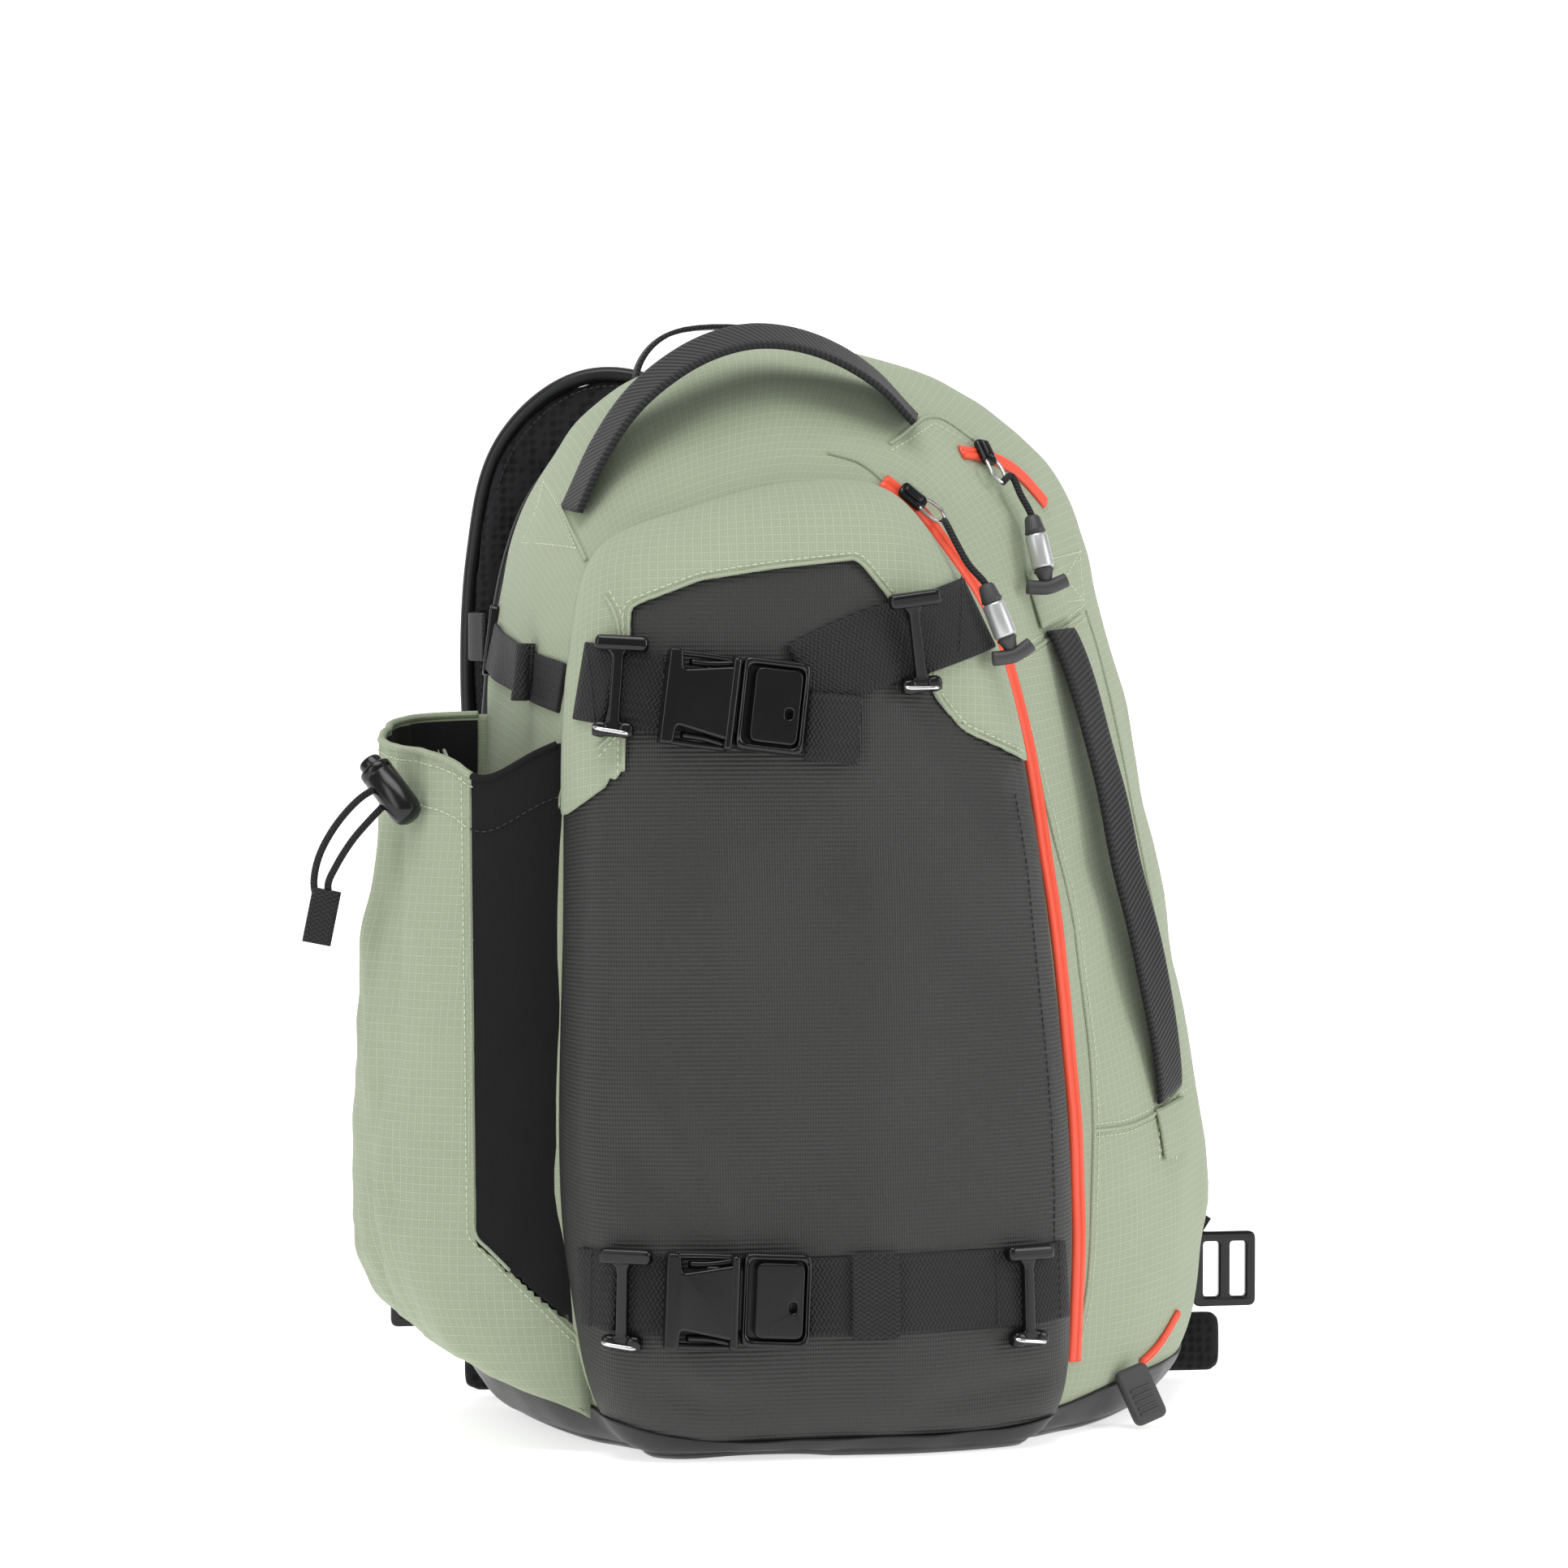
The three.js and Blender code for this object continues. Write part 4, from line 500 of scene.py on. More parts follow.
def knitted(name, colour, sheen, holes=0.0):
    """A knit: fine wales, or a net of holes over foam where holes is above nought."""
    made, tree, shader = new_finish(name, 0.9, specular=0.25, sheen=sheen)
    place, along, _ = uv_parts(tree)
    if holes:
        place = put(tree, "ShaderNodeTexCoord").outputs["Object"]
    tone = use_group(tree, WEAR, Place=place, Colour=colour, Patch_size=18.0, Change=0.3,
                     Fibre_size=1200.0)
    if holes:
        cells = put(tree, "ShaderNodeTexVoronoi", Vector=place, Scale=1 / holes, Randomness=0.25)
        net = put(tree, "ShaderNodeMapRange", Value=cells.outputs["Distance"])
        net.inputs["From Min"].default_value = 0.2
        net.inputs["From Max"].default_value = 0.55
        height = net.outputs[0]
        shade = maths(tree, "MULTIPLY_ADD", height, 0.7, 0.4)
        heights = [(height, 0.8, 0.9), (tone.outputs["Fibre"], 0.3, 0.15)]
    else:
        wales = use_group(tree, LINES, Along=along, Pitch=WALE, Width=0.5)
        height = wales.outputs["Line"]
        shade = maths(tree, "MULTIPLY_ADD", height, 0.25, 0.85)
        heights = [(tone.outputs["Patch"], 0.2, 2.0), (height, 0.35, 0.12), (tone.outputs["Fibre"], 0.35, 0.15)]
    tree.links.new(scaled(tree, tone.outputs["Colour"], shade), shader.inputs["Base Color"])
    bump_into(tree, shader, heights)
    return made


# %% [markdown]
# Hard pieces are moulded plastic, plated steel and rubber. Real mouldings aren't mirror
# smooth: a very fine grain spreads the highlight, and handling leaves some places duller.


# %% Finishes of the hard pieces
def moulded(name, colour, roughness, specular=0.5, metallic=0.0, grain=0.25, change=0.2):
    """A hard surface with a fine grain, duller in slow patches; thread and tape use it too."""
    made, tree, shader = new_finish(name, roughness, metallic, specular)
    place = put(tree, "ShaderNodeTexCoord").outputs["Object"]
    tone = use_group(tree, WEAR, Place=place, Colour=colour, Patch_size=45.0, Change=change,
                     Fibre_size=2200.0)
    tree.links.new(tone.outputs["Colour"], shader.inputs["Base Color"])
    uneven_roughness(tree, shader, tone.outputs["Patch"], max(0.05, roughness - 0.1), roughness + 0.12)
    bump_into(tree, shader, [(tone.outputs["Fibre"], grain, 0.06), (tone.outputs["Patch"], 0.1, 0.3)])
    return made


SAGE = (0.325, 0.375, 0.262, 1)
FINISH = {
    "ripstop": ripstop("sage_ripstop", SAGE),
    "tarp": coated("charcoal_tarp", (0.026, 0.026, 0.025, 1), 0.42, 0.65, 0.42, pitch=0.0022),
    "boot": coated("black_base_cloth", (0.008, 0.008, 0.009, 1), 0.34, 0.2, 0.35),
    "knit": knitted("stretch_knit", (0.009, 0.0085, 0.0095, 1), 0.04),
    "mesh": knitted("spacer_mesh", (0.011, 0.011, 0.0125, 1), 0.05, holes=0.0042),
    "webbing": webbed("flat_webbing", (0.017, 0.017, 0.0185, 1), 1.0),
    "ribbed": webbed("ribbed_webbing", (0.013, 0.013, 0.015, 1), 1.0, rib=0.0024, slant=0.35),
    "plastic": moulded("black_acetal", (0.004, 0.004, 0.0045, 1), 0.2, specular=0.42),
    "zip": moulded("coated_orange_tape", (0.86, 0.085, 0.035, 1), 0.42, grain=0.4, change=0.12),
    "steel": moulded("bright_steel", (0.62, 0.62, 0.63, 1), 0.24, metallic=1.0, change=0.15),
    "sleeve": moulded("satin_sleeve", (0.55, 0.56, 0.56, 1), 0.38, metallic=0.7, change=0.1),
    "rubber": moulded("moulded_rubber", (0.042, 0.042, 0.044, 1), 0.5, grain=0.5),
    "cord": webbed("braided_cord", (0.013, 0.013, 0.014, 1), 0.9, rib=0.0016, slant=0.5),
    "thread": moulded("sage_thread", (0.66, 0.68, 0.52, 1), 0.7, grain=0.6),
    "dark thread": moulded("black_thread", (0.02, 0.02, 0.021, 1), 0.6, grain=0.6),
}
print("finishes:", len(FINISH))

# %% [markdown]
# ## The padded shell
# The shell is a bag with a front seam, a ridge and a back edge, each a different outline.
# A loft through the three, with the edges drawn in a little, gives its form. Padded cloth
# over foam also swells between its seams and shows long shallow waves, so the loft is fine
# enough to carry both. UV places follow the outline one way and the depth the other, so
# the ripstop threads run with the panels.

# %% Outlines of the shell
# the shell's width, height and depth, and how far behind the middle its back panel lies
WIDTH, HEIGHT, DEPTH, BACK = 320, 450, 140, 78
# how far the front seam leans back for each millimetre up, and how high the shell's sole is
LEAN, BASE_LIFT = 0.07, 2.9
# the pocket's depth, the share of it that is lost at its right side, and its gap to the shell
POCKET_DEPTH, POCKET_FALL, GAP = 40, 0.42, 0.3
# where the ridge lies, as a share of the depth from the back
RIDGE = 0.53
# place: back panel x and z, ridge x and z, front seam x and z, as shares of width and height
OUTLINE = {
    "left heel": (-0.4, 0.022, -0.365, 0.012, -0.285, 0.018),
    "left low": (-0.469, 0.178, -0.452, 0.165, -0.353, 0.165),
    "left middle": (-0.428, 0.51, -0.41, 0.5, -0.355, 0.49),
    "left high": (-0.388, 0.81, -0.372, 0.79, -0.34, 0.725),
    "left shoulder": (-0.33, 0.905, -0.327, 0.9, -0.303, 0.82),
    "top left": (-0.187, 0.975, -0.18, 0.982, -0.187, 0.858),
    "top": (0.03, 0.99, 0.035, 1.005, -0.05, 0.882),
    "top right": (0.24, 0.962, 0.215, 0.958, 0.065, 0.876),
    "right shoulder": (0.385, 0.885, 0.315, 0.875, 0.14, 0.82),
    "right high": (0.456, 0.764, 0.362, 0.745, 0.211, 0.733),
    "right middle": (0.53, 0.51, 0.445, 0.5, 0.28, 0.455),
    "right low": (0.592, 0.17, 0.505, 0.165, 0.3, 0.15),
    "right heel": (0.5, 0.022, 0.44, 0.012, 0.262, 0.018),
    "sole": (0.03, 0, 0.03, 0, 0, 0),
}
PLACES = list(OUTLINE)
PER_SPAN = 16
# depth from the back panel as a share, and how far the edge is drawn in there
SHELL_EDGE = [(0, 6), (0.035, 2), (0.1, 0), (0.3, -1), (0.53, -1), (0.76, -1), (0.93, 0), (1, 0.5)]


def outline_at(depth, per_span=PER_SPAN):
    """The shell's outline at a depth, as points (x, z)."""
    back = (depth - RIDGE) * (depth - 1) / RIDGE
    ridge = depth * (depth - 1) / (RIDGE * (RIDGE - 1))
    front = depth * (depth - RIDGE) / (1 - RIDGE)
    rows = np.array(list(OUTLINE.values()))
    x = WIDTH * (rows[:, 0] * back + rows[:, 2] * ridge + rows[:, 4] * front)
    z = HEIGHT * (rows[:, 1] * back + rows[:, 3] * ridge + rows[:, 5] * front)
    return curve_through(np.stack([x, z], 1), closed=True, per_span=per_span)


def resized(ring, grow):
    """Grows a ring about its middle by a distance at its sides."""
    low, high = ring.min(0), ring.max(0)
    middle, half = (low + high) / 2, (high - low) / 2
    return middle + (ring - middle) * (1 + grow / half)


def smooth_step(x, low, high):
    """Rises from 0 to 1 between two values, level at both."""
    t = np.clip((x - low) / (high - low), 0, 1)
    return t * t * (3 - 2 * t)


def shell_y(depth, z):
    """How far back a place on the shell lies; the front seam leans back as it rises."""
    return BACK - DEPTH * depth + LEAN * depth * z


def ring_uv(points):
    """UV places in metres: round the rings one way, from ring to ring the other."""
    rows, columns = points.shape[:2]
    middle = points[rows // 2]
    around = lengths_along(np.vstack([middle, middle[:1]]))
    steps = np.linalg.norm(np.diff(points, axis=0), axis=2).mean(1)
    onward = np.r_[0, np.cumsum(steps)]
    return np.stack(np.broadcast_arrays(around[None, :], onward[:, None]), -1) * MM


def shell_points(waves):
    """The shell's surface with waves of a height, which fade out towards the sole."""
    # the steps are finer at both edges, where the cloth turns
    depths = np.r_[np.linspace(0, 0.12, 9)[:-1], np.linspace(0.12, 0.92, 34)[:-1], np.linspace(0.92, 1, 7)]
    edge = np.array(SHELL_EDGE)
    rings = []
    for depth in depths:
        ring = resized(outline_at(depth), -np.interp(depth, edge[:, 0], edge[:, 1]))
        y = shell_y(depth, ring[:, 1])
        rings.append(np.stack([ring[:, 0], y, np.maximum(ring[:, 1], BASE_LIFT)], 1))
    points = np.array(rings)
    free = smooth_step(points[..., 2], 12, 60)[..., None]
    normals = grid_normals(points, closed=True) * free
    points = bumpy(points, normals, 46.0, waves, 3.0)
    return bumpy(points, normals, 19.0, waves * 0.28, 9.0)


def closed_loft(name, points, uv):
    """A loft of rings, closed at both ends by rings that shrink to their middle."""
    ends = []
    for row, shares in ((0, (0.02, 0.35, 0.7, 0.94)), (-1, (0.94, 0.7, 0.35, 0.02))):
        middle = points[row].mean(0)
        ends.append([middle + (points[row] - middle) * s for s in shares])
    whole = np.concatenate([ends[0], points, ends[1]])
    rows = np.r_[[0] * 4, np.arange(len(points)), [len(points) - 1] * 4]
    piece = grid_piece(name, whole, uv[rows], closed=True, caps=("first", "last"))
    turn_out(piece)
    return piece


# %% [markdown]
# Real padded cloth is never quite even, so the loft gets two sizes of wave, broad ones and
# smaller ones on top.

# %% The shell itself
shell_grid = shell_points(2.6)
shell = closed_loft("shell_cloth", shell_grid, ring_uv(shell_grid))
hand_over(shell, FINISH["ripstop"], ["main_body"])
print("shell faces:", len(shell.data.polygons))

# %% [markdown]
# ## The front pocket
# The pocket is a stiff coated cloth sewn to the front seam. It stands out forty
# millimetres on the left and less on the right, and turns over in a round edge before it
# runs flat across the front. Stiff cloth folds in a few long creases rather than in many
# small ones, so the creases are a short table of lines with a width and a height.

# %% The front pocket
# how far out as a share of the pocket's depth, and how far drawn in as a share of the same
POCKET_EDGE = [(0, 0), (0.3, -0.02), (0.55, 0.07), (0.75, 0.22), (0.89, 0.45), (0.97, 0.85), (1, 1.5)]
# creases of the pocket: ends (x, z), width and height in millimetres
CREASES = [
    ((22, 305), (74, 232), 9, 1.3), ((10, 270), (66, 190), 13, -1.5), ((34, 322), (86, 262), 7, -0.9),
    ((-96, 140), (-66, 84), 9, -1.9), ((-84, 150), (-52, 92), 8, 1.2), ((-60, 240), (-30, 120), 24, 1.0),
    ((20, 150), (60, 60), 18, -1.1), ((50, 140), (76, 60), 10, 0.8), ((-80, 30), (-40, 22), 7, -1.6),
    ((30, 22), (82, 30), 6, -1.6), ((-70, 44), (-50, 20), 6, 1.2), ((-50, 300), (0, 240), 22, -0.8),
]
# how much stronger the creases are than the table says, and how far their ends fade
CREASE_STRENGTH, CREASE_FADE = 1.35, 18
EDGE_STEPS = 5


def pocket_points(grow):
    """The pocket's surface with its creases, grown outwards by a distance."""
    edge = curve_through(POCKET_EDGE, per_span=EDGE_STEPS)
    seam = outline_at(1)
    rings = []

    def ring_of(out, ring, shift):
        side = smooth_step(ring[:, 0], WIDTH * 0.02, WIDTH * 0.32)
        bulge = POCKET_DEPTH * out * (1 - POCKET_FALL * side)
        y = shell_y(1, ring[:, 1]) - GAP - bulge + shift
        rings.append(np.stack([ring[:, 0], y, np.maximum(ring[:, 1], BASE_LIFT - grow)], 1))

    for out, inset in edge:
        ring_of(out, resized(seam, grow - inset * POCKET_DEPTH), -grow if out > 0 else max(0, grow))
    last = resized(seam, grow - POCKET_EDGE[-1][1] * POCKET_DEPTH)
    middle = last.mean(0)
    for share in np.linspace(1, 0.02, 22)[1:]:
        ring_of(1, middle + (last - middle) * share, -grow)
    points = np.array(rings)
    normals = grid_normals(points, closed=True)
    if normals[-4, :, 1].mean() > 0:
        normals = -normals
    x, z = points[..., 0], points[..., 2]
    height = np.zeros(x.shape)
    for (x0, z0), (x1, z1), width, rise in CREASES:
        run = np.array([x1 - x0, z1 - z0], float)
        size = np.linalg.norm(run)
        run /= size
        along = (x - x0) * run[0] + (z - z0) * run[1]
        away = -(x - x0) * run[1] + (z - z0) * run[0]
        inside = np.minimum(along + CREASE_FADE, size + CREASE_FADE - along)
        ends = np.clip(inside / (2 * CREASE_FADE), 0, 1)
        height += CREASE_STRENGTH * rise * np.exp(-((away / width) ** 2)) * ends * ends * (3 - 2 * ends)
    away_from_seam = smooth_step(np.arange(len(points)), 2, 14)[:, None]
    points = points + normals * (height * away_from_seam)[..., None]
    return bumpy(points, normals * away_from_seam[..., None], 70.0, 2.2, 5.0)


def unrolled(points, flat_row):
    """UV places in metres: as seen across the front, and rolled out flat over the edge."""
    places = points[:, :, [0, 2]].copy()
    run = places[0] - places[flat_row]
    run /= np.linalg.norm(run, axis=1, keepdims=True)
    steps = np.linalg.norm(np.diff(points, axis=0), axis=2)
    for row in range(flat_row):
        places[row] = places[flat_row] + run * steps[row:flat_row].sum(0)[:, None]
    return np.concatenate([places, places[:, :1]], 1) * MM


BEHIND_POCKET = (0, 200, 180)
pocket_grid = pocket_points(0)
pocket_uv = unrolled(pocket_grid, EDGE_STEPS * (len(POCKET_EDGE) - 1))
pocket = grid_piece("front_pocket_cloth", pocket_grid, pocket_uv, closed=True, caps=("last",))
turn_out(pocket, BEHIND_POCKET)
hand_over(pocket, FINISH["tarp"], ["front_pocket"])
print("pocket faces:", len(pocket.data.polygons))

# %% [markdown]
# ## The yoke over the pocket
# A cap of ripstop covers the upper part of the pocket. Its lower border runs down on the
# left, across, and down again to the zip. One way is to cut a fine copy of the pocket's
# surface along that border: faces outside go, and the points next to the border are moved
# onto it, which leaves a clean edge without a boolean. The bottle pocket uses it again.


# %% Cutting a sheet along a border
def inside_of(points, border):
    """Which points (a, b) lie inside a closed border."""
    a, b = points[:, 0][:, None], points[:, 1][:, None]
    p, q = border, np.roll(border, -1, 0)
    cross = (p[:, 1] > b) != (q[:, 1] > b)
    with np.errstate(divide="ignore", invalid="ignore"):
        at = (q[:, 0] - p[:, 0]) * (b - p[:, 1]) / (q[:, 1] - p[:, 1]) + p[:, 0]
    return (cross & (a < at)).sum(1) % 2 == 1


def nearest_on(point, border):
    """The place on a closed border that lies nearest to a point."""
    p, q = border, np.roll(border, -1, 0)
    run = q - p
    t = np.clip(((point - p) * run).sum(1) / np.maximum((run * run).sum(1), 1e-9), 0, 1)
    spots = p + run * t[:, None]
    return spots[np.argmin(((spots - point) ** 2).sum(1))]


def even_edge(made, tree, passes):
    """Evens a cut edge on the surface, only where the cloth turns away from the front."""
    made.normal_update()
    edge_verts = [v for v in made.verts if v.is_boundary]
    # 0 where the cloth faces the front, 1 where it is well turned away
    turned = {v: min(1.0, max(0.0, (0.85 - abs(v.normal.y)) / 0.4)) for v in edge_verts}
    for _ in range(passes):
        spots = {}
        for v in edge_verts:
            ends = [e.other_vert(v).co for e in v.link_edges if e.is_boundary]
            if len(ends) == 2 and turned[v] > 0:
                spots[v] = v.co.lerp((ends[0] + ends[1]) / 2, 0.6 * turned[v])
        for v, spot in spots.items():
            v.co = tree.find_nearest(spot)[0]


def cut_along(piece, border, keep_inside=True, even_passes=0):
    """Keeps one side of a border drawn in the front view, with its edge on the border."""
    made = bmesh.new()
    made.from_mesh(piece.data)
    made.verts.ensure_lookup_table()
    tree = BVHTree.FromBMesh(made)
    flat = np.array([(v.co.x, v.co.z) for v in made.verts]) / MM
    keep = inside_of(flat, border)
    if not keep_inside:
        keep = ~keep
    near = keep.copy()
    for edge in made.edges:
        a, b = (v.index for v in edge.verts)
        if keep[a] != keep[b]:
            near[a] = near[b] = True
    layer = made.loops.layers.uv.active
    for v in made.verts:
        if near[v.index] and not keep[v.index]:
            x, z = nearest_on(flat[v.index], border)
            hit = tree.find_nearest(Vector((x * MM, v.co.y, z * MM)))
            moved = Vector((x * MM, hit[0].y, z * MM))
            for loop in v.link_loops:
                loop[layer].uv += Vector(((moved.x - v.co.x), (moved.z - v.co.z)))
            v.co = moved
    gone = [f for f in made.faces if not all(near[v.index] for v in f.verts)
            or not any(keep[v.index] for v in f.verts)]
    bmesh.ops.delete(made, geom=gone, context="FACES")
    loose = [v for v in made.verts if not v.link_faces]
    bmesh.ops.delete(made, geom=loose, context="VERTS")
    if even_passes:
        even_edge(made, tree, even_passes)
    made.to_mesh(piece.data)
    made.free()
    return piece


# %% [markdown]
# Where the yoke turns round the pocket's left side, the front view sees the cloth at a
# slant, so an edge drawn there comes out ragged. That stretch is evened along the surface.

# %% The yoke
# lower border of the yoke, as shares of width and height
YOKE_BORDER = np.array([
    (-0.375, 0.575), (-0.29, 0.624), (-0.287, 0.682), (-0.279, 0.772), (-0.19, 0.796), (-0.09, 0.807),
    (0.012, 0.815), (0.073, 0.763), (0.116, 0.689), (0.153, 0.659), (0.265, 0.626),
]) * (WIDTH, HEIGHT)
around_top = [(WIDTH, YOKE_BORDER[-1][1]), (WIDTH, 2 * HEIGHT), (-WIDTH, 2 * HEIGHT),
              (-WIDTH, YOKE_BORDER[0][1])]
yoke_area = np.vstack([YOKE_BORDER, around_top])
YOKE_THICKNESS = 1.0
yoke_grid = pocket_points(GAP + YOKE_THICKNESS + 0.2)
yoke = grid_piece("front_yoke_cloth", yoke_grid, pocket_uv, closed=True, caps=("last",))
turn_out(yoke, BEHIND_POCKET)
cut_along(yoke, yoke_area, even_passes=25)
walled(yoke, YOKE_THICKNESS)
hand_over(yoke, FINISH["ripstop"], ["front_yoke"])
print("yoke faces:", len(yoke.data.polygons))

# %% [markdown]
# ## The bottle pocket
# A wall of cloth runs from the front seam round to the back of the left side. It is longer
# than the space it covers, so it is gathered at its foot and folds in at its lower corner,
# and a drawcord in its rim puckers it. The wall is a grid of share round it and share of
# height, which makes gathers simple: each is a valley that fades as it rises. The wall is
# made once, then cut in two along a border: ripstop outside and dark stretch knit in front.

# %% The wall of the bottle pocket
# how far the pocket stands out to the left, and how high its rim is
REACH, RIM = 82, 290
BOTTLE_COLUMNS, MIDDLE_ROW = 150, 60
BOTTLE_SECTIONS = np.array([
    (0, 0.1), (0.02, 0.55), (0.05, 0.78), (0.1, 0.92), (0.18, 1), (0.32, 0.99), (0.48, 0.965),
    (0.62, 0.94), (0.78, 0.87), (0.9, 0.83), (1, 0.82),
])
# share round the pocket, floor and rim as shares of RIM
BOTTLE_EDGES = np.array([
    (0, 0.05, 1.01), (0.12, 0.07, 0.955), (0.24, 0.1, 0.985), (0.5, 0.13, 1), (0.75, 0.12, 1.03),
    (1, 0.1, 1.04),
])
# gathers: place round the pocket, breadth, depth in millimetres, and how high they reach
GATHERS = [
    (0.3, 0.04, 7, 0.3), (0.42, 0.045, 10, 0.42), (0.56, 0.05, 6, 0.3), (0.7, 0.05, 6.5, 0.35),
    (0.36, 0.02, 4.2, 0.5), (0.48, 0.022, 4.6, 0.36), (0.24, 0.02, 3, 0.22), (0.63, 0.02, 2.4, 0.45),
]
# puckers under the rim: place, breadth, depth in millimetres
PUCKERS = [
    (0.2, 0.018, 2.0), (0.27, 0.014, -1.5), (0.33, 0.016, 2.2), (0.44, 0.02, 1.6),
    (0.55, 0.018, -1.4), (0.66, 0.02, 2.0), (0.78, 0.02, 1.6),
]
# long soft folds of the wall: ends (share, height), breadth in millimetres, rise in millimetres
DRAPES = [
    ((0.34, 0.2), (0.46, 0.75), 10, 3.4), ((0.42, 0.1), (0.36, 0.5), 8, -3.4),
    ((0.3, 0.3), (0.4, 0.16), 6, -3), ((0.5, 0.5), (0.44, 0.95), 9, 2.4),
    ((0.3, 0.45), (0.38, 0.9), 7, -2.4), ((0.6, 0.1), (0.55, 0.6), 12, -2),
]
# about how long the wall is, which turns its shares into millimetres for the folds
WALL_LENGTH = 300
# where the wall meets the bag in front and behind, seen from above
FRONT_END = np.array([-0.325 * WIDTH, -0.33 * DEPTH])
BACK_END = np.array([-0.385 * WIDTH, 0.47 * DEPTH])


def bottle_points():
    """The wall as a grid of points, from the front round to the back and from floor to rim."""
    shares = np.linspace(0, 1, BOTTLE_COLUMNS)
    share, height = np.meshgrid(shares, np.r_[0, 0.01, 0.02, 0.035, np.linspace(0.05, 1, 104)])
    floor = RIM * np.interp(share, BOTTLE_EDGES[:, 0], BOTTLE_EDGES[:, 1])
    rim = RIM * np.interp(share, *curve_through(BOTTLE_EDGES[:, [0, 2]]).T)
    sections = curve_through(BOTTLE_SECTIONS)
    reach = REACH * np.interp(height, sections[:, 0], sections[:, 1])
    for at, breadth, depth, tall in GATHERS:
        fade = np.maximum(0, 1 - height / tall) ** 1.4 * np.minimum(1, 9 * height)
        reach -= depth * fade * np.exp(-(((share - at) / breadth) ** 2))
    for at, breadth, depth in PUCKERS:
        reach -= depth * smooth_step(height, 0.8, 0.97) * np.exp(-(((share - at) / breadth) ** 2))
    for (s0, h0), (s1, h1), breadth, rise in DRAPES:
        a, b = (share - s0) * WALL_LENGTH, (height - h0) * RIM
        run = np.array([(s1 - s0) * WALL_LENGTH, (h1 - h0) * RIM])
        size = np.linalg.norm(run)
        on = (a * run[0] + b * run[1]) / size
        off = (b * run[0] - a * run[1]) / size
        ends = smooth_step(on, -20, 20) * (1 - smooth_step(on, size - 20, size + 20))
        reach += rise * ends * np.exp(-((off / breadth) ** 2))
    swell = np.sin(np.pi * np.clip(share, 1e-6, 1 - 1e-6)) ** 0.58
    z = floor + height * (rim - floor)
    x = FRONT_END[0] + (BACK_END[0] - FRONT_END[0]) * share - reach * swell
    turn = (1 - np.cos(np.pi * share)) / 2
    front_y = FRONT_END[1] + LEAN * (z - 200)
    y = front_y + (BACK_END[1] - front_y) * turn
    points = np.stack([x, y, z], -1)
    normals = grid_normals(points) * (np.sin(np.pi * share) ** 0.5)[..., None]
    points = bumpy(points, normals, 34.0, 1.5, 2.0)
    points = bumpy(points, normals * (1 - height)[..., None], 12.0, 1.8, 7.0)
    around = np.broadcast_to(lengths_along(points[MIDDLE_ROW]), share.shape)
    uv = np.stack([around, z], -1) * MM
    return points, uv


bottle_grid, bottle_uv = bottle_points()

# %% [markdown]
# The border between knit and ripstop is drawn in the front view, where only the front third
# of the wall is seen. So that third is cut twice, once for each side of the border, and the
# ripstop side is joined to the rest of the wall.

# %% Knit and ripstop
# border of the knit front, as shares of width and height
KNIT_BORDER = np.array([
    (-0.469, 0.192), (-0.345, 0.117), (-0.2, 0.02), (-0.2, 0.8), (-0.469, 0.8),
]) * (WIDTH, HEIGHT)
front_third = bottle_grid.shape[1] // 3


def bottle_part(name, columns):
    """Some columns of the wall as a mesh of their own."""
    part = grid_piece(name, bottle_grid[:, columns], bottle_uv[:, columns])
    turn_out(part, (-60, 10, 150))
    return part


front_columns = slice(0, front_third + 1)
outer_front = cut_along(bottle_part("outer_front", front_columns), KNIT_BORDER, keep_inside=False)
outer_back = bottle_part("bottle_pocket_cloth", slice(front_third, None))
joined = bmesh.new()
joined.from_mesh(outer_back.data)
joined.from_mesh(outer_front.data)
bmesh.ops.remove_doubles(joined, verts=joined.verts, dist=0.0002)
joined.to_mesh(outer_back.data)
joined.free()
bpy.data.objects.remove(outer_front)
bottle = walled(outer_back, 1.6)
knit = walled(cut_along(bottle_part("bottle_pocket_knit", front_columns), KNIT_BORDER), 1.4)
hand_over(bottle, FINISH["ripstop"], ["bottle_pocket_outer"])
hand_over(knit, FINISH["knit"], ["bottle_pocket_gusset"])
for piece in (bottle, knit):
    print(piece.name, "m2, both faces:", round(sum(f.area for f in piece.data.polygons), 4))

# %% [markdown]
# ## The base
# A tougher, slightly glossy cloth wraps the foot of shell and pocket like a shoe. Its form
# comes from the surfaces that it covers: rays cast inwards all round, at heights that fall
# from its border to the floor, find shell and pocket, and each point stands off by the
# cloth. The sole closes it with rings that shrink to the middle.

# %% The base
# upper border seen from the front, as shares of width and height
BASE_BORDER = np.array([
    (-0.8, 0.09), (-0.48, 0.082), (-0.34, 0.045), (-0.26, 0.028), (-0.18, 0.018), (0.2, 0.02),
    (0.3, 0.03), (0.4, 0.045), (0.55, 0.05), (0.8, 0.06),
]) * (WIDTH, HEIGHT)
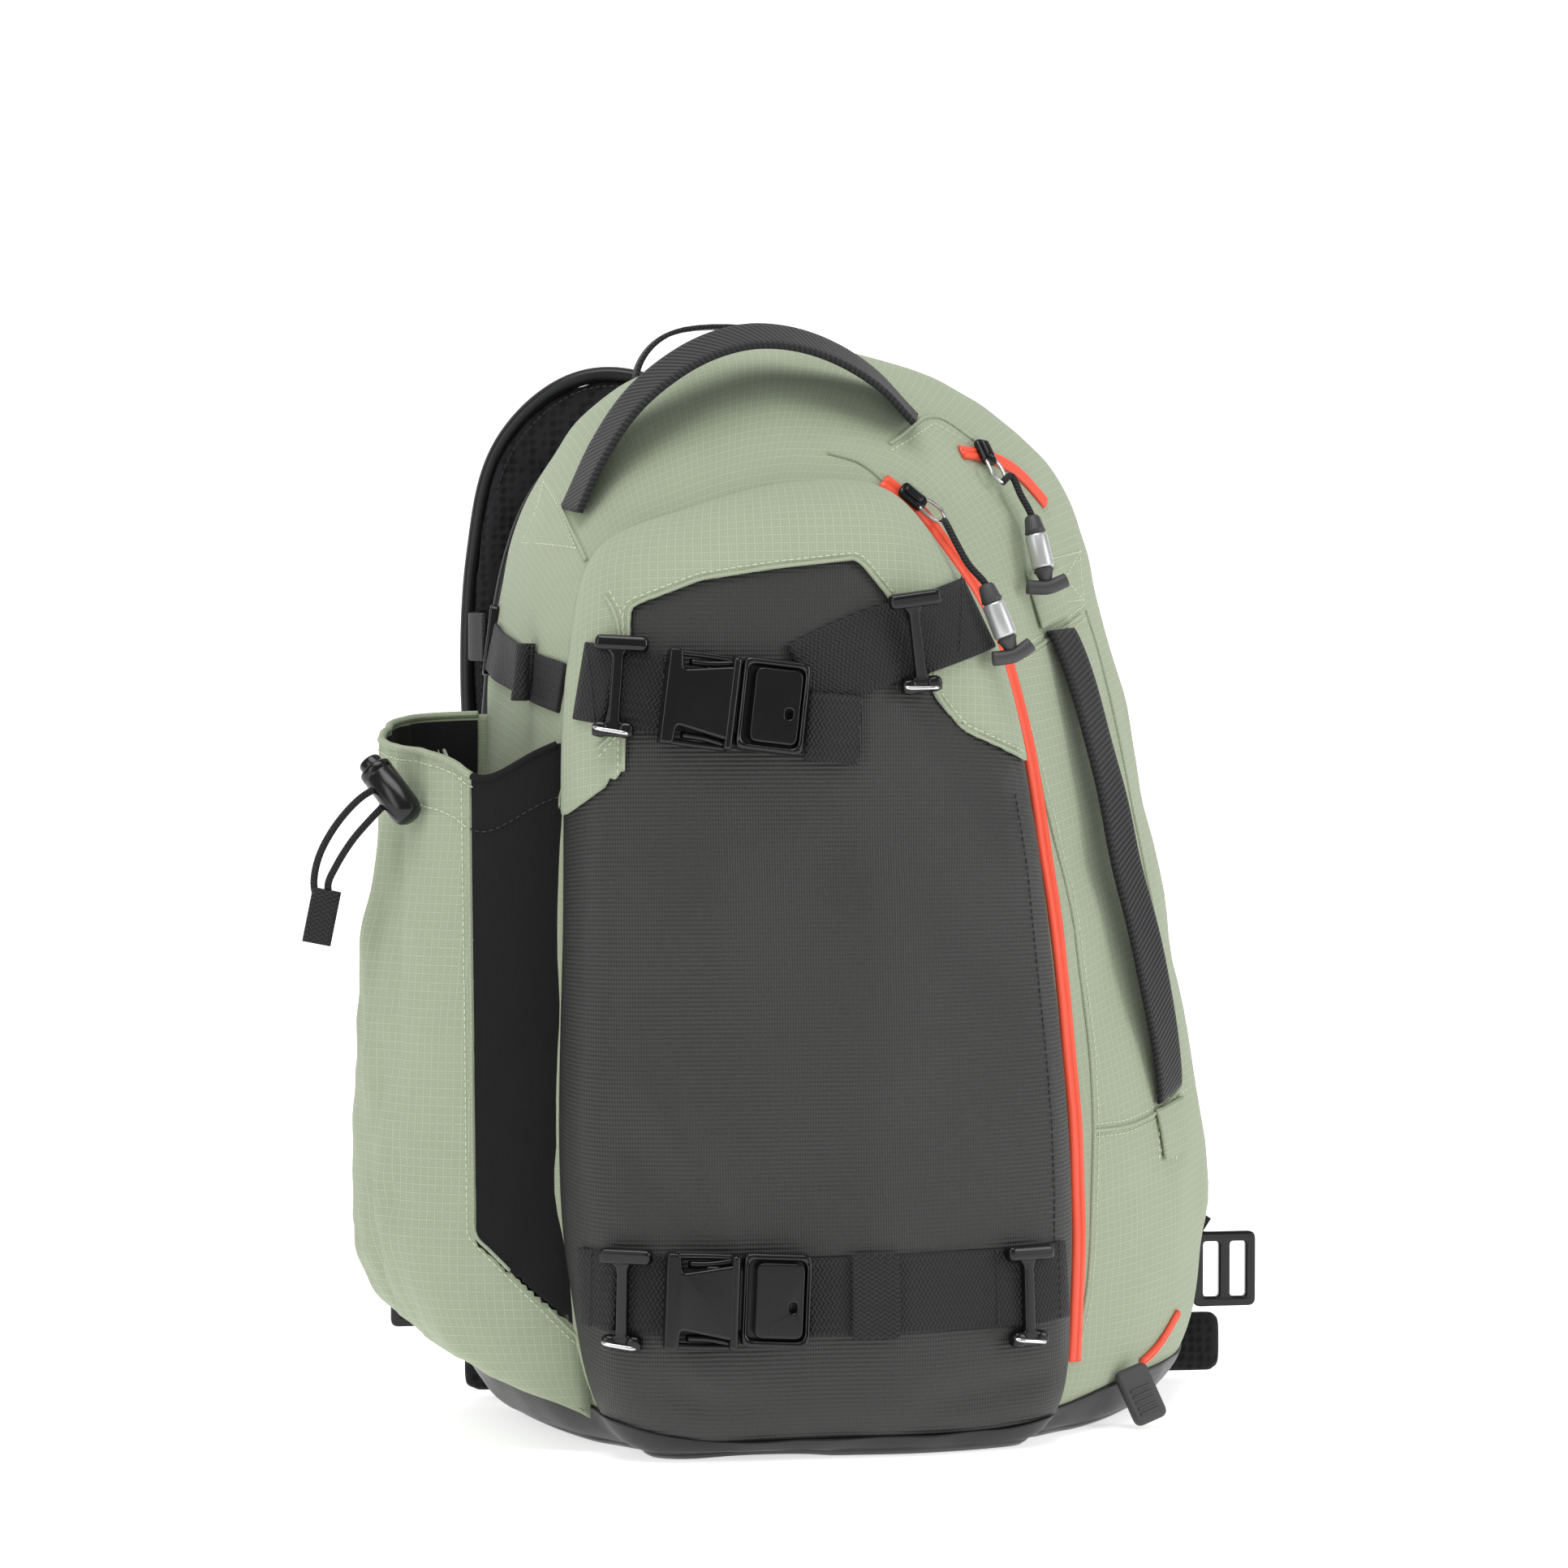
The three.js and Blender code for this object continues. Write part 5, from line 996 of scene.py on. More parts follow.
# how far the cloth stands off what it covers, and how much less of that is left at the floor
STAND_OFF, TUCKED_IN = 1.9, 1.2
BASE_COLUMNS, BASE_FOOT = 220, 2.0
covered = tree_of(shell, pocket)
base_middle = Vector((0.01, 0.0, 0))
around = np.linspace(0, 2 * math.pi, BASE_COLUMNS, endpoint=False)
base_rows = []
for share in np.r_[np.linspace(0, 0.85, 14), 0.93, 0.98, 1.0]:
    row = []
    for angle in around:
        look = Vector((math.cos(angle), math.sin(angle), 0))
        x = 150 * look.x
        for _ in range(3):
            top = float(np.interp(x, BASE_BORDER[:, 0], BASE_BORDER[:, 1]))
            z = top + (BASE_FOOT - top) * share
            start = base_middle + look * 0.6 + Vector((0, 0, max(z, 3.2) * MM))
            hit = covered.ray_cast(start, -look)[0] or base_middle + look * 0.1
            x = hit.x / MM
        away = STAND_OFF - TUCKED_IN * max(0, share - 0.85) / 0.15
        row.append((hit.x / MM + look.x * away, min(hit.y / MM + look.y * away, BACK + 2), z))
    base_rows.append(row)
base_points = np.array(base_rows)
for _ in range(3):
    base_points = (np.roll(base_points, 1, 1) + 2 * base_points + np.roll(base_points, -1, 1)) / 4
sole = base_points[-1].mean(0)
sole_rings = [
    np.column_stack([(sole + (base_points[-1] - sole) * s)[:, :2], np.full(BASE_COLUMNS, 1.2 - s)])
    for s in (0.97, 0.9, 0.6, 0.3, 0.05)
]
base_points = np.concatenate([base_points, sole_rings])
free = smooth_step(base_points[..., 2], 1, 10)[..., None]
base_points = bumpy(base_points, grid_normals(base_points, closed=True) * free, 22.0, 1.2, 4.0)
base = grid_piece("base_cloth", base_points, ring_uv(base_points), closed=True)
turn_out(base, (0, 0, 60))
walled(base, 1.2)
hand_over(base, FINISH["boot"], ["base_boot"])
print("base faces:", len(base.data.polygons), "lowest:", round(float(base_points[..., 2].min()), 2))

# %% [markdown]
# ## Foam pads of the harness
# The back panel, the shoulder straps and the hip wings are foam in a knitted net. Foam in
# cloth is what cloth simulation is good at: the solid is copied, remeshed into even
# squares, and blown up a little by pressure while its points may only move a few
# millimetres. The result is applied, so nothing is simulated later.


# %% Swelling a pad
# the cloth's pressure, how far its points may move, and how much thinner the pad starts
PRESSURE, MOST_SWELL, SHRINK = 4.0, 5.0, 1.5
SWELL_FRAMES = 20


def swollen(name, node, voxel):
    """A padded piece from a solid: remeshed, swollen by cloth pressure and smoothed."""
    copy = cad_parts[node].data.copy()
    made = bmesh.new()
    made.from_mesh(copy)
    bmesh.ops.remove_doubles(made, verts=made.verts, dist=1e-5)
    made.normal_update()
    for v in made.verts:
        v.co -= v.normal * SHRINK * MM
    made.to_mesh(copy)
    made.free()
    pad = new_object(name, copy)
    remesh = pad.modifiers.new("squares", "REMESH")
    remesh.mode = "VOXEL"
    remesh.voxel_size = voxel * MM
    remesh.use_smooth_shade = True
    applied(pad)
    rest = np.array([v.co for v in pad.data.vertices])
    cloth = pad.modifiers.new("foam", "CLOTH")
    cloth.settings.use_pressure = True
    cloth.settings.uniform_pressure_force = PRESSURE
    cloth.settings.effector_weights.gravity = 0
    cloth.settings.quality = 5
    for at in range(1, SWELL_FRAMES + 1):
        bpy.context.scene.frame_set(at)
    applied(pad)
    bpy.context.scene.frame_set(1)
    moved = np.array([v.co for v in pad.data.vertices]) - rest
    far = np.linalg.norm(moved, axis=1, keepdims=True)
    moved *= np.minimum(1, MOST_SWELL * MM / np.maximum(far, 1e-9))
    pad.data.vertices.foreach_set("co", (rest + moved).ravel())
    smooth = pad.modifiers.new("even", "SMOOTH")
    smooth.factor = 0.5
    smooth.iterations = 4
    finer = pad.modifiers.new("finer", "SUBSURF")
    finer.levels = finer.render_levels = 1
    applied(pad)
    pad.data.shade_smooth()
    print(name, "faces:", len(pad.data.polygons))
    return pad


# %% [markdown]
# Five pads are made this way. The squares are finer on the smaller ones, so that their
# edges stay round.

# %% Back panel, shoulder straps and hip wings
PADS = [
    ("back_panel_pad", "back_panel", 5.0), ("shoulder_pad_left", "shoulder_strap_left", 3.6),
    ("shoulder_pad_right", "shoulder_strap_right", 3.6), ("hip_pad_left", "hip_wing_left", 2.6),
    ("hip_pad_right", "hip_wing_right", 2.6),
]
for name, node, voxel in PADS:
    pad = swollen(name, node, voxel)
    hand_over(pad, FINISH["mesh"], [node])

# %% [markdown]
# ## Webbing laid on the bag
# Webbing is woven flat and stiff across its width, so it bends only along its length. It
# is modelled directly: a route in one view is projected onto the cloth, a flat profile
# with rounded edges follows it, and the UV map runs along the strap so that its ribs turn
# with it. Straps and handles are one helper each, used with a short route.


# %% Helpers for webbing
def flat_section(width, thickness, across=8):
    """A flat closed section with rounded edges, as places across and heights."""
    r = thickness / 2
    half = width / 2 - r
    flat = np.linspace(-half, half, across)
    turn = np.linspace(-math.pi / 2, math.pi / 2, 5)
    top = [(s, thickness) for s in flat]
    right = [(half + r * math.cos(t), r - r * math.sin(t)) for t in turn[1:-1]]
    under = [(s, 0) for s in flat[::-1]]
    left = [(-half - r * math.cos(t), r + r * math.sin(t)) for t in turn[1:-1]]
    return np.array(top + right + under + left)


def strap_piece(name, middles, acrosses, outs, section):
    """Sweeps a section along a route with a sideways and an outward direction."""
    points = (middles[:, None] + acrosses[:, None] * section[None, :, :1]
              + outs[:, None] * section[None, :, 1:])
    around = lengths_along(np.vstack([section, section[:1]]))
    uv = np.stack(np.broadcast_arrays(lengths_along(middles)[:, None], around[None, :]), -1) * MM
    piece = grid_piece(name, points, uv, closed=True, caps=("first", "last"))
    turn_out(piece)
    return piece


def evened(values, times):
    """Smooths values along a route, with its ends kept."""
    values = values.copy()
    for _ in range(times):
        values[1:-1] = (values[:-2] + 2 * values[1:-1] + values[2:]) / 4
    return values


def laid_strap(name, tree, view, route, width, thickness, lift=0.4, rise=0.0, times=4, section=None):
    """A strap along a route of places seen in one view; it may bow out by a rise."""
    if section is None:
        section = flat_section(width, thickness)
    path = evenly(curve_through(route), 2.0)
    run = unit(np.gradient(path, axis=0))
    middles, acrosses, outs = [], [], []
    for (a, b), (da, db) in zip(path, run):
        spots = [seat(tree, view, a - db * s, b + da * s) for s in (-0.42 * width, 0, 0.42 * width)]
        middles.append(spots[1][0])
        acrosses.append(spots[2][0] - spots[0][0])
        outs.append(sum(n for _, n in spots))
    middles, acrosses = evened(np.array(middles), times), evened(unit(np.array(acrosses)), times)
    ahead = unit(np.gradient(middles, axis=0))
    acrosses = unit(acrosses - ahead * (acrosses * ahead).sum(1, keepdims=True))
    outward = unit(evened(np.array(outs), times))
    outs = unit(np.cross(ahead, acrosses))
    outs *= np.sign((outs * outward).sum(1, keepdims=True))
    share = np.linspace(0, 1, len(middles))[:, None]
    middles = middles + outs * (lift + rise * np.sin(np.pi * share) ** 0.7)
    return strap_piece(name, middles, acrosses, outs, section)


def free_strap(name, corners, width, thickness, across=None, step=2.0):
    """A strap through the air along corners, flat to the front unless told otherwise."""
    middles = evenly(curve_through(corners), step)
    ahead = unit(np.gradient(middles, axis=0))
    if across is None:
        acrosses = unit(np.stack([ahead[:, 2], 0 * ahead[:, 0], -ahead[:, 0]], 1))
    else:
        acrosses = unit(np.broadcast_to(np.array(across, float), ahead.shape))
    acrosses = unit(acrosses - ahead * (acrosses * ahead).sum(1, keepdims=True))
    outs = unit(np.cross(ahead, acrosses))
    return strap_piece(name, middles - outs * thickness / 2, acrosses, outs, flat_section(width, thickness))


front_tree = tree_of(shell, pocket, yoke)
shell_tree = tree_of(shell)


def wide(share):
    """A share of the bag's width in millimetres."""
    return share * WIDTH


def high(share):
    """A share of the bag's height in millimetres."""
    return share * HEIGHT


# %% [markdown]
# Two straps cross the pocket, each in four lengths between its hooks and its buckle. The
# upper one also has a loose end, which lies on top of the cloth beside the buckle.

# %% The straps across the pocket
STRAP, CLOTH = 32, 1.6
LAYER = CLOTH + 0.3
# piece: its route in shares of width and height, its width, and how many layers lie under it
FRONT_STRAPS = {
    "upper_strap_anchor": ([(-0.338, 0.705), (-0.303, 0.7)], STRAP, 0),
    "upper_strap_left": ([(-0.3, 0.699), (-0.225, 0.69)], STRAP, 0),
    "upper_strap_right": ([(-0.06, 0.705), (0.01, 0.728), (0.086, 0.746)], STRAP, 0),
    "upper_strap_far_anchor": ([(0.084, 0.744), (0.18, 0.766)], STRAP, 0),
    "upper_strap_tail": ([(-0.058, 0.664), (0.01, 0.66)], STRAP - 4, 1),
    "lower_strap_anchor": ([(-0.343, 0.16), (-0.303, 0.158)], STRAP, 0),
    "lower_strap_left": ([(-0.3, 0.158), (-0.225, 0.155)], STRAP, 0),
    "lower_strap_right": ([(-0.065, 0.15), (0.08, 0.152), (0.226, 0.15)], STRAP, 0),
    "lower_strap_far_anchor": ([(0.224, 0.151), (0.288, 0.154)], STRAP, 0),
}
for node, (route, width, layers) in FRONT_STRAPS.items():
    places = [(wide(x), high(z)) for x, z in route]
    strap = laid_strap(node + "_web", front_tree, "front", places, width, CLOTH, 0.4 + layers * LAYER)
    hand_over(strap, FINISH["webbing"], [node])
print("front straps:", len(FRONT_STRAPS))

# %% [markdown]
# ## Handles
# The carrying handles are thick ribbed webbing. The top one stands up in an arch from the
# top of the shell. The side one bows a little off the shell's right side, and two flaps of
# ripstop cover its ends.

# %% Handles
TOP_HANDLE = [(-0.328, -0.06), (-0.25, -0.055), (-0.1, -0.05), (0.05, -0.05), (0.148, -0.06)]
feet = evenly(curve_through([seat(shell_tree, "top", wide(x), y * DEPTH)[0] for x, y in TOP_HANDLE]), 3.0)
share = np.linspace(0, 1, len(feet))
feet[:, 2] += 1.8 + 30 * np.sin(np.pi * share) ** 0.8
top_handle = free_strap("top_handle_web", feet[::6], 27, 3.0, across=(0, 1, 0.42))
hand_over(top_handle, FINISH["ribbed"], ["top_handle"])
SIDE_HANDLE = [(0.03 * DEPTH, high(0.75)), (-0.05 * DEPTH, high(0.53)), (0.03 * DEPTH, high(0.305))]
side_handle = laid_strap("side_handle_web", shell_tree, "right", SIDE_HANDLE, 24, 3.0, 0.3, 9.0, times=70)
hand_over(side_handle, FINISH["ribbed"], ["side_handle"])
for node, route in (
    ("side_flap_top", [(4.2, 341), (4.2, 363.5)]),
    ("side_flap_bottom", [(4.2, 133.8), (4.2, 111.3)]),
):
    flap = laid_strap(node + "_cloth", shell_tree, "right", route, 28, 1.6, 0.3)
    hand_over(flap, FINISH["ripstop"], [node])
print("handles laid")

# %% [markdown]
# ## Harness webbing, haul loop and load strap
# Webbing hangs from the foot of each shoulder pad to a slider at the hip. It is free in
# the air, so its corners are given outright.

# %% Free webbing
# the back panel's outer face, and where the harness has its middle
REAR = BACK + GAP + 14
HARNESS_MIDDLE = -8
# side; the webbing's way down as across, back and up in shares; the slider's place across
HIPS = {
    "right": (1, [(0.44, 0.19, 0.235), (0.545, 0.13, 0.165)], 0.647),
    "left": (-1, [(0.35, 0.17, 0.22), (0.42, 0.11, 0.16)], 0.49),
}
for place, (side, hang, slider_x) in HIPS.items():
    end = np.array([HARNESS_MIDDLE + side * wide(0.27), REAR + 0.21 * DEPTH, high(0.345)])
    slider = np.array([side * wide(slider_x), REAR + 5, 48.3])
    corners = [end, end + (side * 5, 0, -26)]
    corners += [np.array([side * wide(x), REAR + y * DEPTH, high(z)]) for x, y, z in hang]
    corners.append(slider + (-side * 12, 5, 12))
    web = free_strap(f"lower_web_{place}", corners, 25, CLOTH)
    hand_over(web, FINISH["webbing"], [f"lower_webbing_{place}"])
    low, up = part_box(f"hip_webbing_{place}")
    back, level = (low.y + up.y) / 2 / MM, (low.z + up.z) / 2 / MM
    ends = [(low.x / MM, back, level), (up.x / MM, back, level)]
    tie = free_strap(f"hip_web_{place}", ends, 25, CLOTH)
    hand_over(tie, FINISH["webbing"], [f"hip_webbing_{place}"])
HAUL = [(-0.2, 0.955), (-0.195, 1.01), (-0.15, 1.04), (0, 1.04), (0.04, 1.02), (0.05, 0.965)]
haul = free_strap("haul_loop_web", [(wide(x), BACK + 7, high(z)) for x, z in HAUL], 11, 2.2, across=(0, 1, 0))
hand_over(haul, FINISH["webbing"], ["haul_loop"])
LOAD = [(-0.24 * DEPTH, high(0.697)), (0, high(0.71)), (0.3 * DEPTH, high(0.725)), (0.42 * DEPTH, high(0.735))]
load = laid_strap("load_strap_web", shell_tree, "left", LOAD, 21, CLOTH)
hand_over(load, FINISH["webbing"], ["load_webbing"])
low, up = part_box("load_loop")
x, z = low.x / MM + 5, (low.z + up.z) / 2 / MM
loop_route = [(x + 1, low.y / MM, z), (x - 3, 98, z), (x + 4, up.y / MM, z + 1)]
loop = free_strap("load_loop_web", loop_route, 21, CLOTH, across=(0, 0, 1))
hand_over(loop, FINISH["webbing"], ["load_loop"])
print("free webbing laid")

# %% [markdown]
# ## Moulded hardware
# Hooks, buckles and sliders are injection moulded: plates with slots and every edge
# rounded. A flat curve with an extrusion and a bevel makes such a plate at once, holes
# included, so each part is a few outlines. Its place comes from its solid: the way that
# most of its area faces is outwards, and the way its longest straight edges run is ahead.


# %% Where a solid lies
def main_direction(vectors, weights, hint):
    """The direction that most weight shares, among those near a hint."""
    shared = (np.abs(vectors @ vectors.T) > 0.995) @ weights
    best = vectors[np.argmax(shared * (np.abs(vectors @ hint) > 0.6))]
    return best * np.sign(best @ hint)


def frame_of(node, out=(0, -1, 0), ahead=(1, 0, 0)):
    """Axes of a flat solid as columns, its middle and its size, in millimetres."""
    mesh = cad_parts[node].data
    z = main_direction(np.array([f.normal for f in mesh.polygons]),
                       np.array([f.area for f in mesh.polygons]), np.array(out, float))
    points = np.array([v.co for v in mesh.vertices]) / MM
    ends = np.array([e.vertices for e in mesh.edges])
    runs = points[ends[:, 1]] - points[ends[:, 0]]
    sizes = np.linalg.norm(runs, axis=1)
    level = (sizes > 0.5) & (np.abs(runs @ z) < 0.02 * np.maximum(sizes, 1e-6))
    x = main_direction(unit(runs[level]), sizes[level], np.array(ahead, float))
    x = unit(x - z * (x @ z))
    axes = np.stack([x, np.cross(z, x), z], 1)
    local = points @ axes
    low, high = local.min(0), local.max(0)
    return axes, axes @ ((low + high) / 2), high - low


# %% [markdown]
# An outline is a ring of corners, each rounded with a short curve. The plate is swept from
# it by the curve's own extrusion and bevel, in the piece's own frame.


# %% Plates with rounded edges
def softened(corners, radius, steps=5):
    """An outline with each corner rounded."""
    p = np.asarray(corners, float)
    back, on = unit(np.roll(p, 1, 0) - p), unit(np.roll(p, -1, 0) - p)
    t = np.linspace(0, 1, steps)[:, None]
    return np.concatenate([
        (1 - t) ** 2 * (c + a * radius) + 2 * t * (1 - t) * c + t * t * (c + b * radius)
        for c, a, b in zip(p, back, on)
    ])


def block(width, height, radius, at=(0, 0)):
    """The outline of a rectangle with rounded corners."""
    x, y = width / 2, height / 2
    return softened([(-x, -y), (x, -y), (x, y), (-x, y)], radius) + np.array(at)


def moulding(outlines, thickness, rounding, at=(0, 0, 0)):
    """A plate in its own frame: the first outline is its border, the others are holes."""
    curve = bpy.data.curves.new("outline", "CURVE")
    curve.dimensions = "2D"
    curve.fill_mode = "BOTH"
    curve.extrude = (thickness / 2 - rounding) * MM
    curve.bevel_depth = rounding * MM
    curve.bevel_resolution = 2
    curve.offset = -rounding * MM
    for outline in outlines:
        spline = curve.splines.new("POLY")
        spline.points.add(len(outline) - 1)
        row = np.column_stack([outline * MM, np.zeros(len(outline)), np.ones(len(outline))])
        spline.points.foreach_set("co", row.ravel())
        spline.use_cyclic_u = True
    drawn = new_object("outline", curve)
    mesh = bpy.data.meshes.new_from_object(drawn.evaluated_get(bpy.context.evaluated_depsgraph_get()))
    bpy.data.objects.remove(drawn)
    mesh.transform(Matrix.Translation(Vector(at) * MM))
    return mesh


# %% [markdown]
# Wires, cords, folds and piping are tubes along a line, and grips and barrels are turned as
# on a lathe. Both are grids again, so both get a UV map in real lengths.


# %% Tubes and turned pieces
def tube_mesh(corners, diameter, step=1.0, sides=10):
    """A round wire or cord through corners, as a mesh with its length along the UV map."""
    middles = evenly(curve_through(corners), step)
    ahead = unit(np.gradient(middles, axis=0))
    side = unit(np.cross(ahead[0], (0.31, 0.22, 0.93)))
    turned = []
    for way in ahead:
        side = unit(side - way * (side @ way))
        turned.append(side)
    turned = np.array(turned)
    other = np.cross(ahead, turned)
    t = np.linspace(0, 2 * math.pi, sides, endpoint=False)[None, :, None]
    points = middles[:, None] + (np.cos(t) * turned[:, None] + np.sin(t) * other[:, None]) * diameter / 2
    around = np.linspace(0, math.pi * diameter, sides + 1)
    uv = np.stack(np.broadcast_arrays(lengths_along(middles)[:, None], around[None]), -1) * MM
    piece = grid_piece("tube", points, uv, closed=True, caps=("first", "last"))
    turn_out(piece)
    mesh = piece.data
    bpy.data.objects.remove(piece)
    return mesh


def lathe_mesh(outline, origin, axis, sides=40):
    """A turned piece: distances from the axis and places along it, in millimetres."""
    axis = unit(np.array(axis, float))
    side = unit(np.cross(axis, (0.3, 0.9, 0.1)))
    other = np.cross(axis, side)
    rows = np.array(outline, float)
    t = np.linspace(0, 2 * math.pi, sides, endpoint=False)[None, :, None]
    points = np.array(origin, float) + axis * rows[:, None, 1:] + rows[:, None, :1] * (
        np.cos(t) * side + np.sin(t) * other)
    around = np.linspace(0, 2 * math.pi * rows[:, 0].max(), sides + 1)
    uv = np.stack(np.broadcast_arrays(lengths_along(rows)[:, None], around[None]), -1) * MM
    piece = grid_piece("turned", points, uv, closed=True, caps=("first", "last"))
    turn_out(piece)
    mesh = piece.data
    bpy.data.objects.remove(piece)
    return mesh


# %% [markdown]
# The meshes of one piece are joined, merged where they touch at a point, and moved from
# their own frame into the bag's.


# %% Joining meshes into a piece
def one_piece(name, meshes, axes=None, middle=(0, 0, 0), even=True):
    """Joins meshes into one object, moved from their own frame into the bag's."""
    made = bmesh.new()
    for mesh in meshes:
        made.from_mesh(mesh)
    bmesh.ops.remove_doubles(made, verts=made.verts, dist=1e-6)
    if axes is not None:
        place = Matrix(axes.tolist()).to_4x4()
        place.translation = Vector(middle) * MM
        made.transform(place)
    bmesh.ops.recalc_face_normals(made, faces=made.faces)
    mesh = bpy.data.meshes.new(name)
    made.to_mesh(mesh)
    made.free()
    mesh.shade_smooth()
    piece = new_object(name, mesh)
    if even:
        piece.modifiers.new("flat faces stay flat", "WEIGHTED_NORMAL")
        applied(piece)
    return piece


def middle_of(node):
    """The middle of a solid's box in millimetres."""
    low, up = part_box(node)
    return np.array(low + up) / 2 / MM


# %% [markdown]
# A hook is a plate like the letter I with a thicker head and two feet. A bright wire gate
# closes it at the foot. All wires are collected and made one piece at the end, as they
# share one finish.

# %% Hooks with their wire gates
# half the width and half the height of a hook
W, H = 21 / 2, 41 / 2
HOOK = softened([
    (-0.9 * W, 0.78 * H), (-0.7 * W, H), (0.98 * W, H), (1.15 * W, 0.76 * H), (0.34 * W, 0.72 * H),
    (0.24 * W, 0.6 * H), (0.24 * W, -0.7 * H), (0.8 * W, -0.76 * H), (0.8 * W, -H), (-0.8 * W, -H),
    (-0.82 * W, -0.76 * H), (-0.22 * W, -0.7 * H), (-0.2 * W, 0.58 * H), (-0.3 * W, 0.68 * H),
], 1.1)
wires = []
for node in ("upper_strap_hook", "upper_strap_far_hook", "lower_strap_hook", "lower_strap_far_hook"):
    axes, middle, size = frame_of(node)
    shift = (-0.125 * W, 0, 0)
    hook = one_piece(node + "_plate", [
        moulding([HOOK], 4.2, 1.1, shift),
        moulding([block(22, 6.4, 2.6, (0.13 * W, 0.86 * H))], 6.6, 2.0, shift),
        moulding([block(6.5, 6.5, 3, (-0.5 * W, -0.86 * H))], 6.2, 1.8, shift),
        moulding([block(6.5, 6.5, 3, (0.5 * W, -0.86 * H))], 6.2, 1.8, shift),
    ], axes, middle)
    hand_over(hook, FINISH["plastic"], [node])
    gate = [(-0.72 * W, -0.83 * H, 1.5), (-0.6 * W, -0.86 * H, 3.3), (0, -0.9 * H, 3.9),
            (0.5 * W, -0.93 * H, 3.4), (0.62 * W, -0.94 * H, 1.5)]
    wires.append(tube_mesh([middle + axes @ (np.array(p) + shift) for p in gate], 1.7, 0.8))
print("hooks made, size of the last:", np.round(size, 1))

# %% [markdown]
# A side-release buckle has a socket with a waist, where the prongs show between two rails,
# and a tongue with a frame for the strap. The rails and prongs are round rods, because a
# thin arm cut out of a plate would pinch where its edges are rounded.

# %% Buckles
SOCKET = softened([
    (-15, -19.5), (-9.5, -19.5), (-8.6, -11.4), (15, -15.6), (15, 15.6), (-8.6, 11.4), (-9.5, 19.5),
    (-15, 19.5),
], 1.6)
for strap in ("upper", "lower"):
    node = f"{strap}_strap_buckle_socket"
    axes, middle, _ = frame_of(node)
    socket = one_piece(node + "_shell", [
        moulding([SOCKET], 10.4, 1.2),
        tube_mesh([(-13, 18, 0), (0, 18.2, 0), (13, 18, 0)], 2.8, 2.0),
        tube_mesh([(-13, -18, 0), (0, -18.2, 0), (13, -18, 0)], 2.8, 2.0),
        tube_mesh([(-6, 14.8, 0), (3, 15, 0), (13, 16.6, 0)], 3.0, 2.0),
        tube_mesh([(-6, -14.8, 0), (3, -15, 0), (13, -16.6, 0)], 3.0, 2.0),
        moulding([block(3.6, 38, 1.6, (13, 0))], 11.4, 1.4),
    ], axes, middle)
    hand_over(socket, FINISH["plastic"], [node])
    node = f"{strap}_strap_buckle_tongue"
    axes, middle, size = frame_of(node)
    shift = np.array((size[0] / 2 - 14, 0, 0))
    tongue = one_piece(node + "_frame", [
        moulding([block(28, 38, 3.6), block(23, 32, 3.0)], 9.4, 1.5, shift),
        moulding([block(19.6, 30.4, 3.4, (1.2, 0)), block(3.2, 4.2, 1.5, (6.6, -2.6))], 7.8, 0.8,
                 shift + (0, 0, 1.2)),
        moulding([block(25, 34, 2)], 2, 0.6, shift + (0, 0, -3.2)),
        moulding([block(16, 26, 2, (-21, 0))], 4, 1.0, shift),
    ], axes, middle)
    hand_over(tongue, FINISH["plastic"], [node])
print("buckles made")

# %% [markdown]
# The sliders at the hips and the load buckle are the same frame with a bar in its middle.
# The rubber tongue is a thick block with ribs for the fingers.

# %% Sliders at the hips, load buckle and rubber tongue
# piece: the way it faces and the way its slots follow each other
FRAMES = {
    "strap_slider_left": ((0, 1, 0), (1, 0, 0)), "strap_slider_right": ((0, 1, 0), (1, 0, 0)),
    "load_buckle": ((-1, 0, 0), (0, 1, 0)),
}
for node, (out, ahead) in FRAMES.items():
    axes, middle, size = frame_of(node, out, ahead)
    x, y, thickness = size
    bar = 0.09 * x
    holes = [block(0.25 * x, y - 9, 1.6, (side * (0.125 * x + bar), 0)) for side in (-1, 1)]
    piece = one_piece(node + "_frame", [moulding([block(x, y, 3.4)] + holes, thickness, 1.1)], axes, middle)
    hand_over(piece, FINISH["plastic"], [node])
axes, middle, (x, y, thickness) = frame_of("rubber_tongue", (0.7, -0.7, 0), (0.6, 0.7, 0))
ribs = [moulding([block(x * 0.62, 1.3, 0.6, (0, k * 2.6 - 8))], thickness + 1.2, 0.5) for k in range(5)]
tongue_block = moulding([block(x, y, 3.6)], thickness, 1.4)
rubber = one_piece("rubber_tongue_grip", [tongue_block] + ribs, axes, middle)
hand_over(rubber, FINISH["rubber"], ["rubber_tongue"])
print("sliders made")

# %% [markdown]
# ## Zips and their pulls
# A water-shy zip shows two coated tapes that meet in a groove over a hidden coil. The tape
# is swept along its route like webbing, but with a section that has the groove. Each pull
# is a slider, a wire ring, a short cord and a turned grip with a bright sleeve.

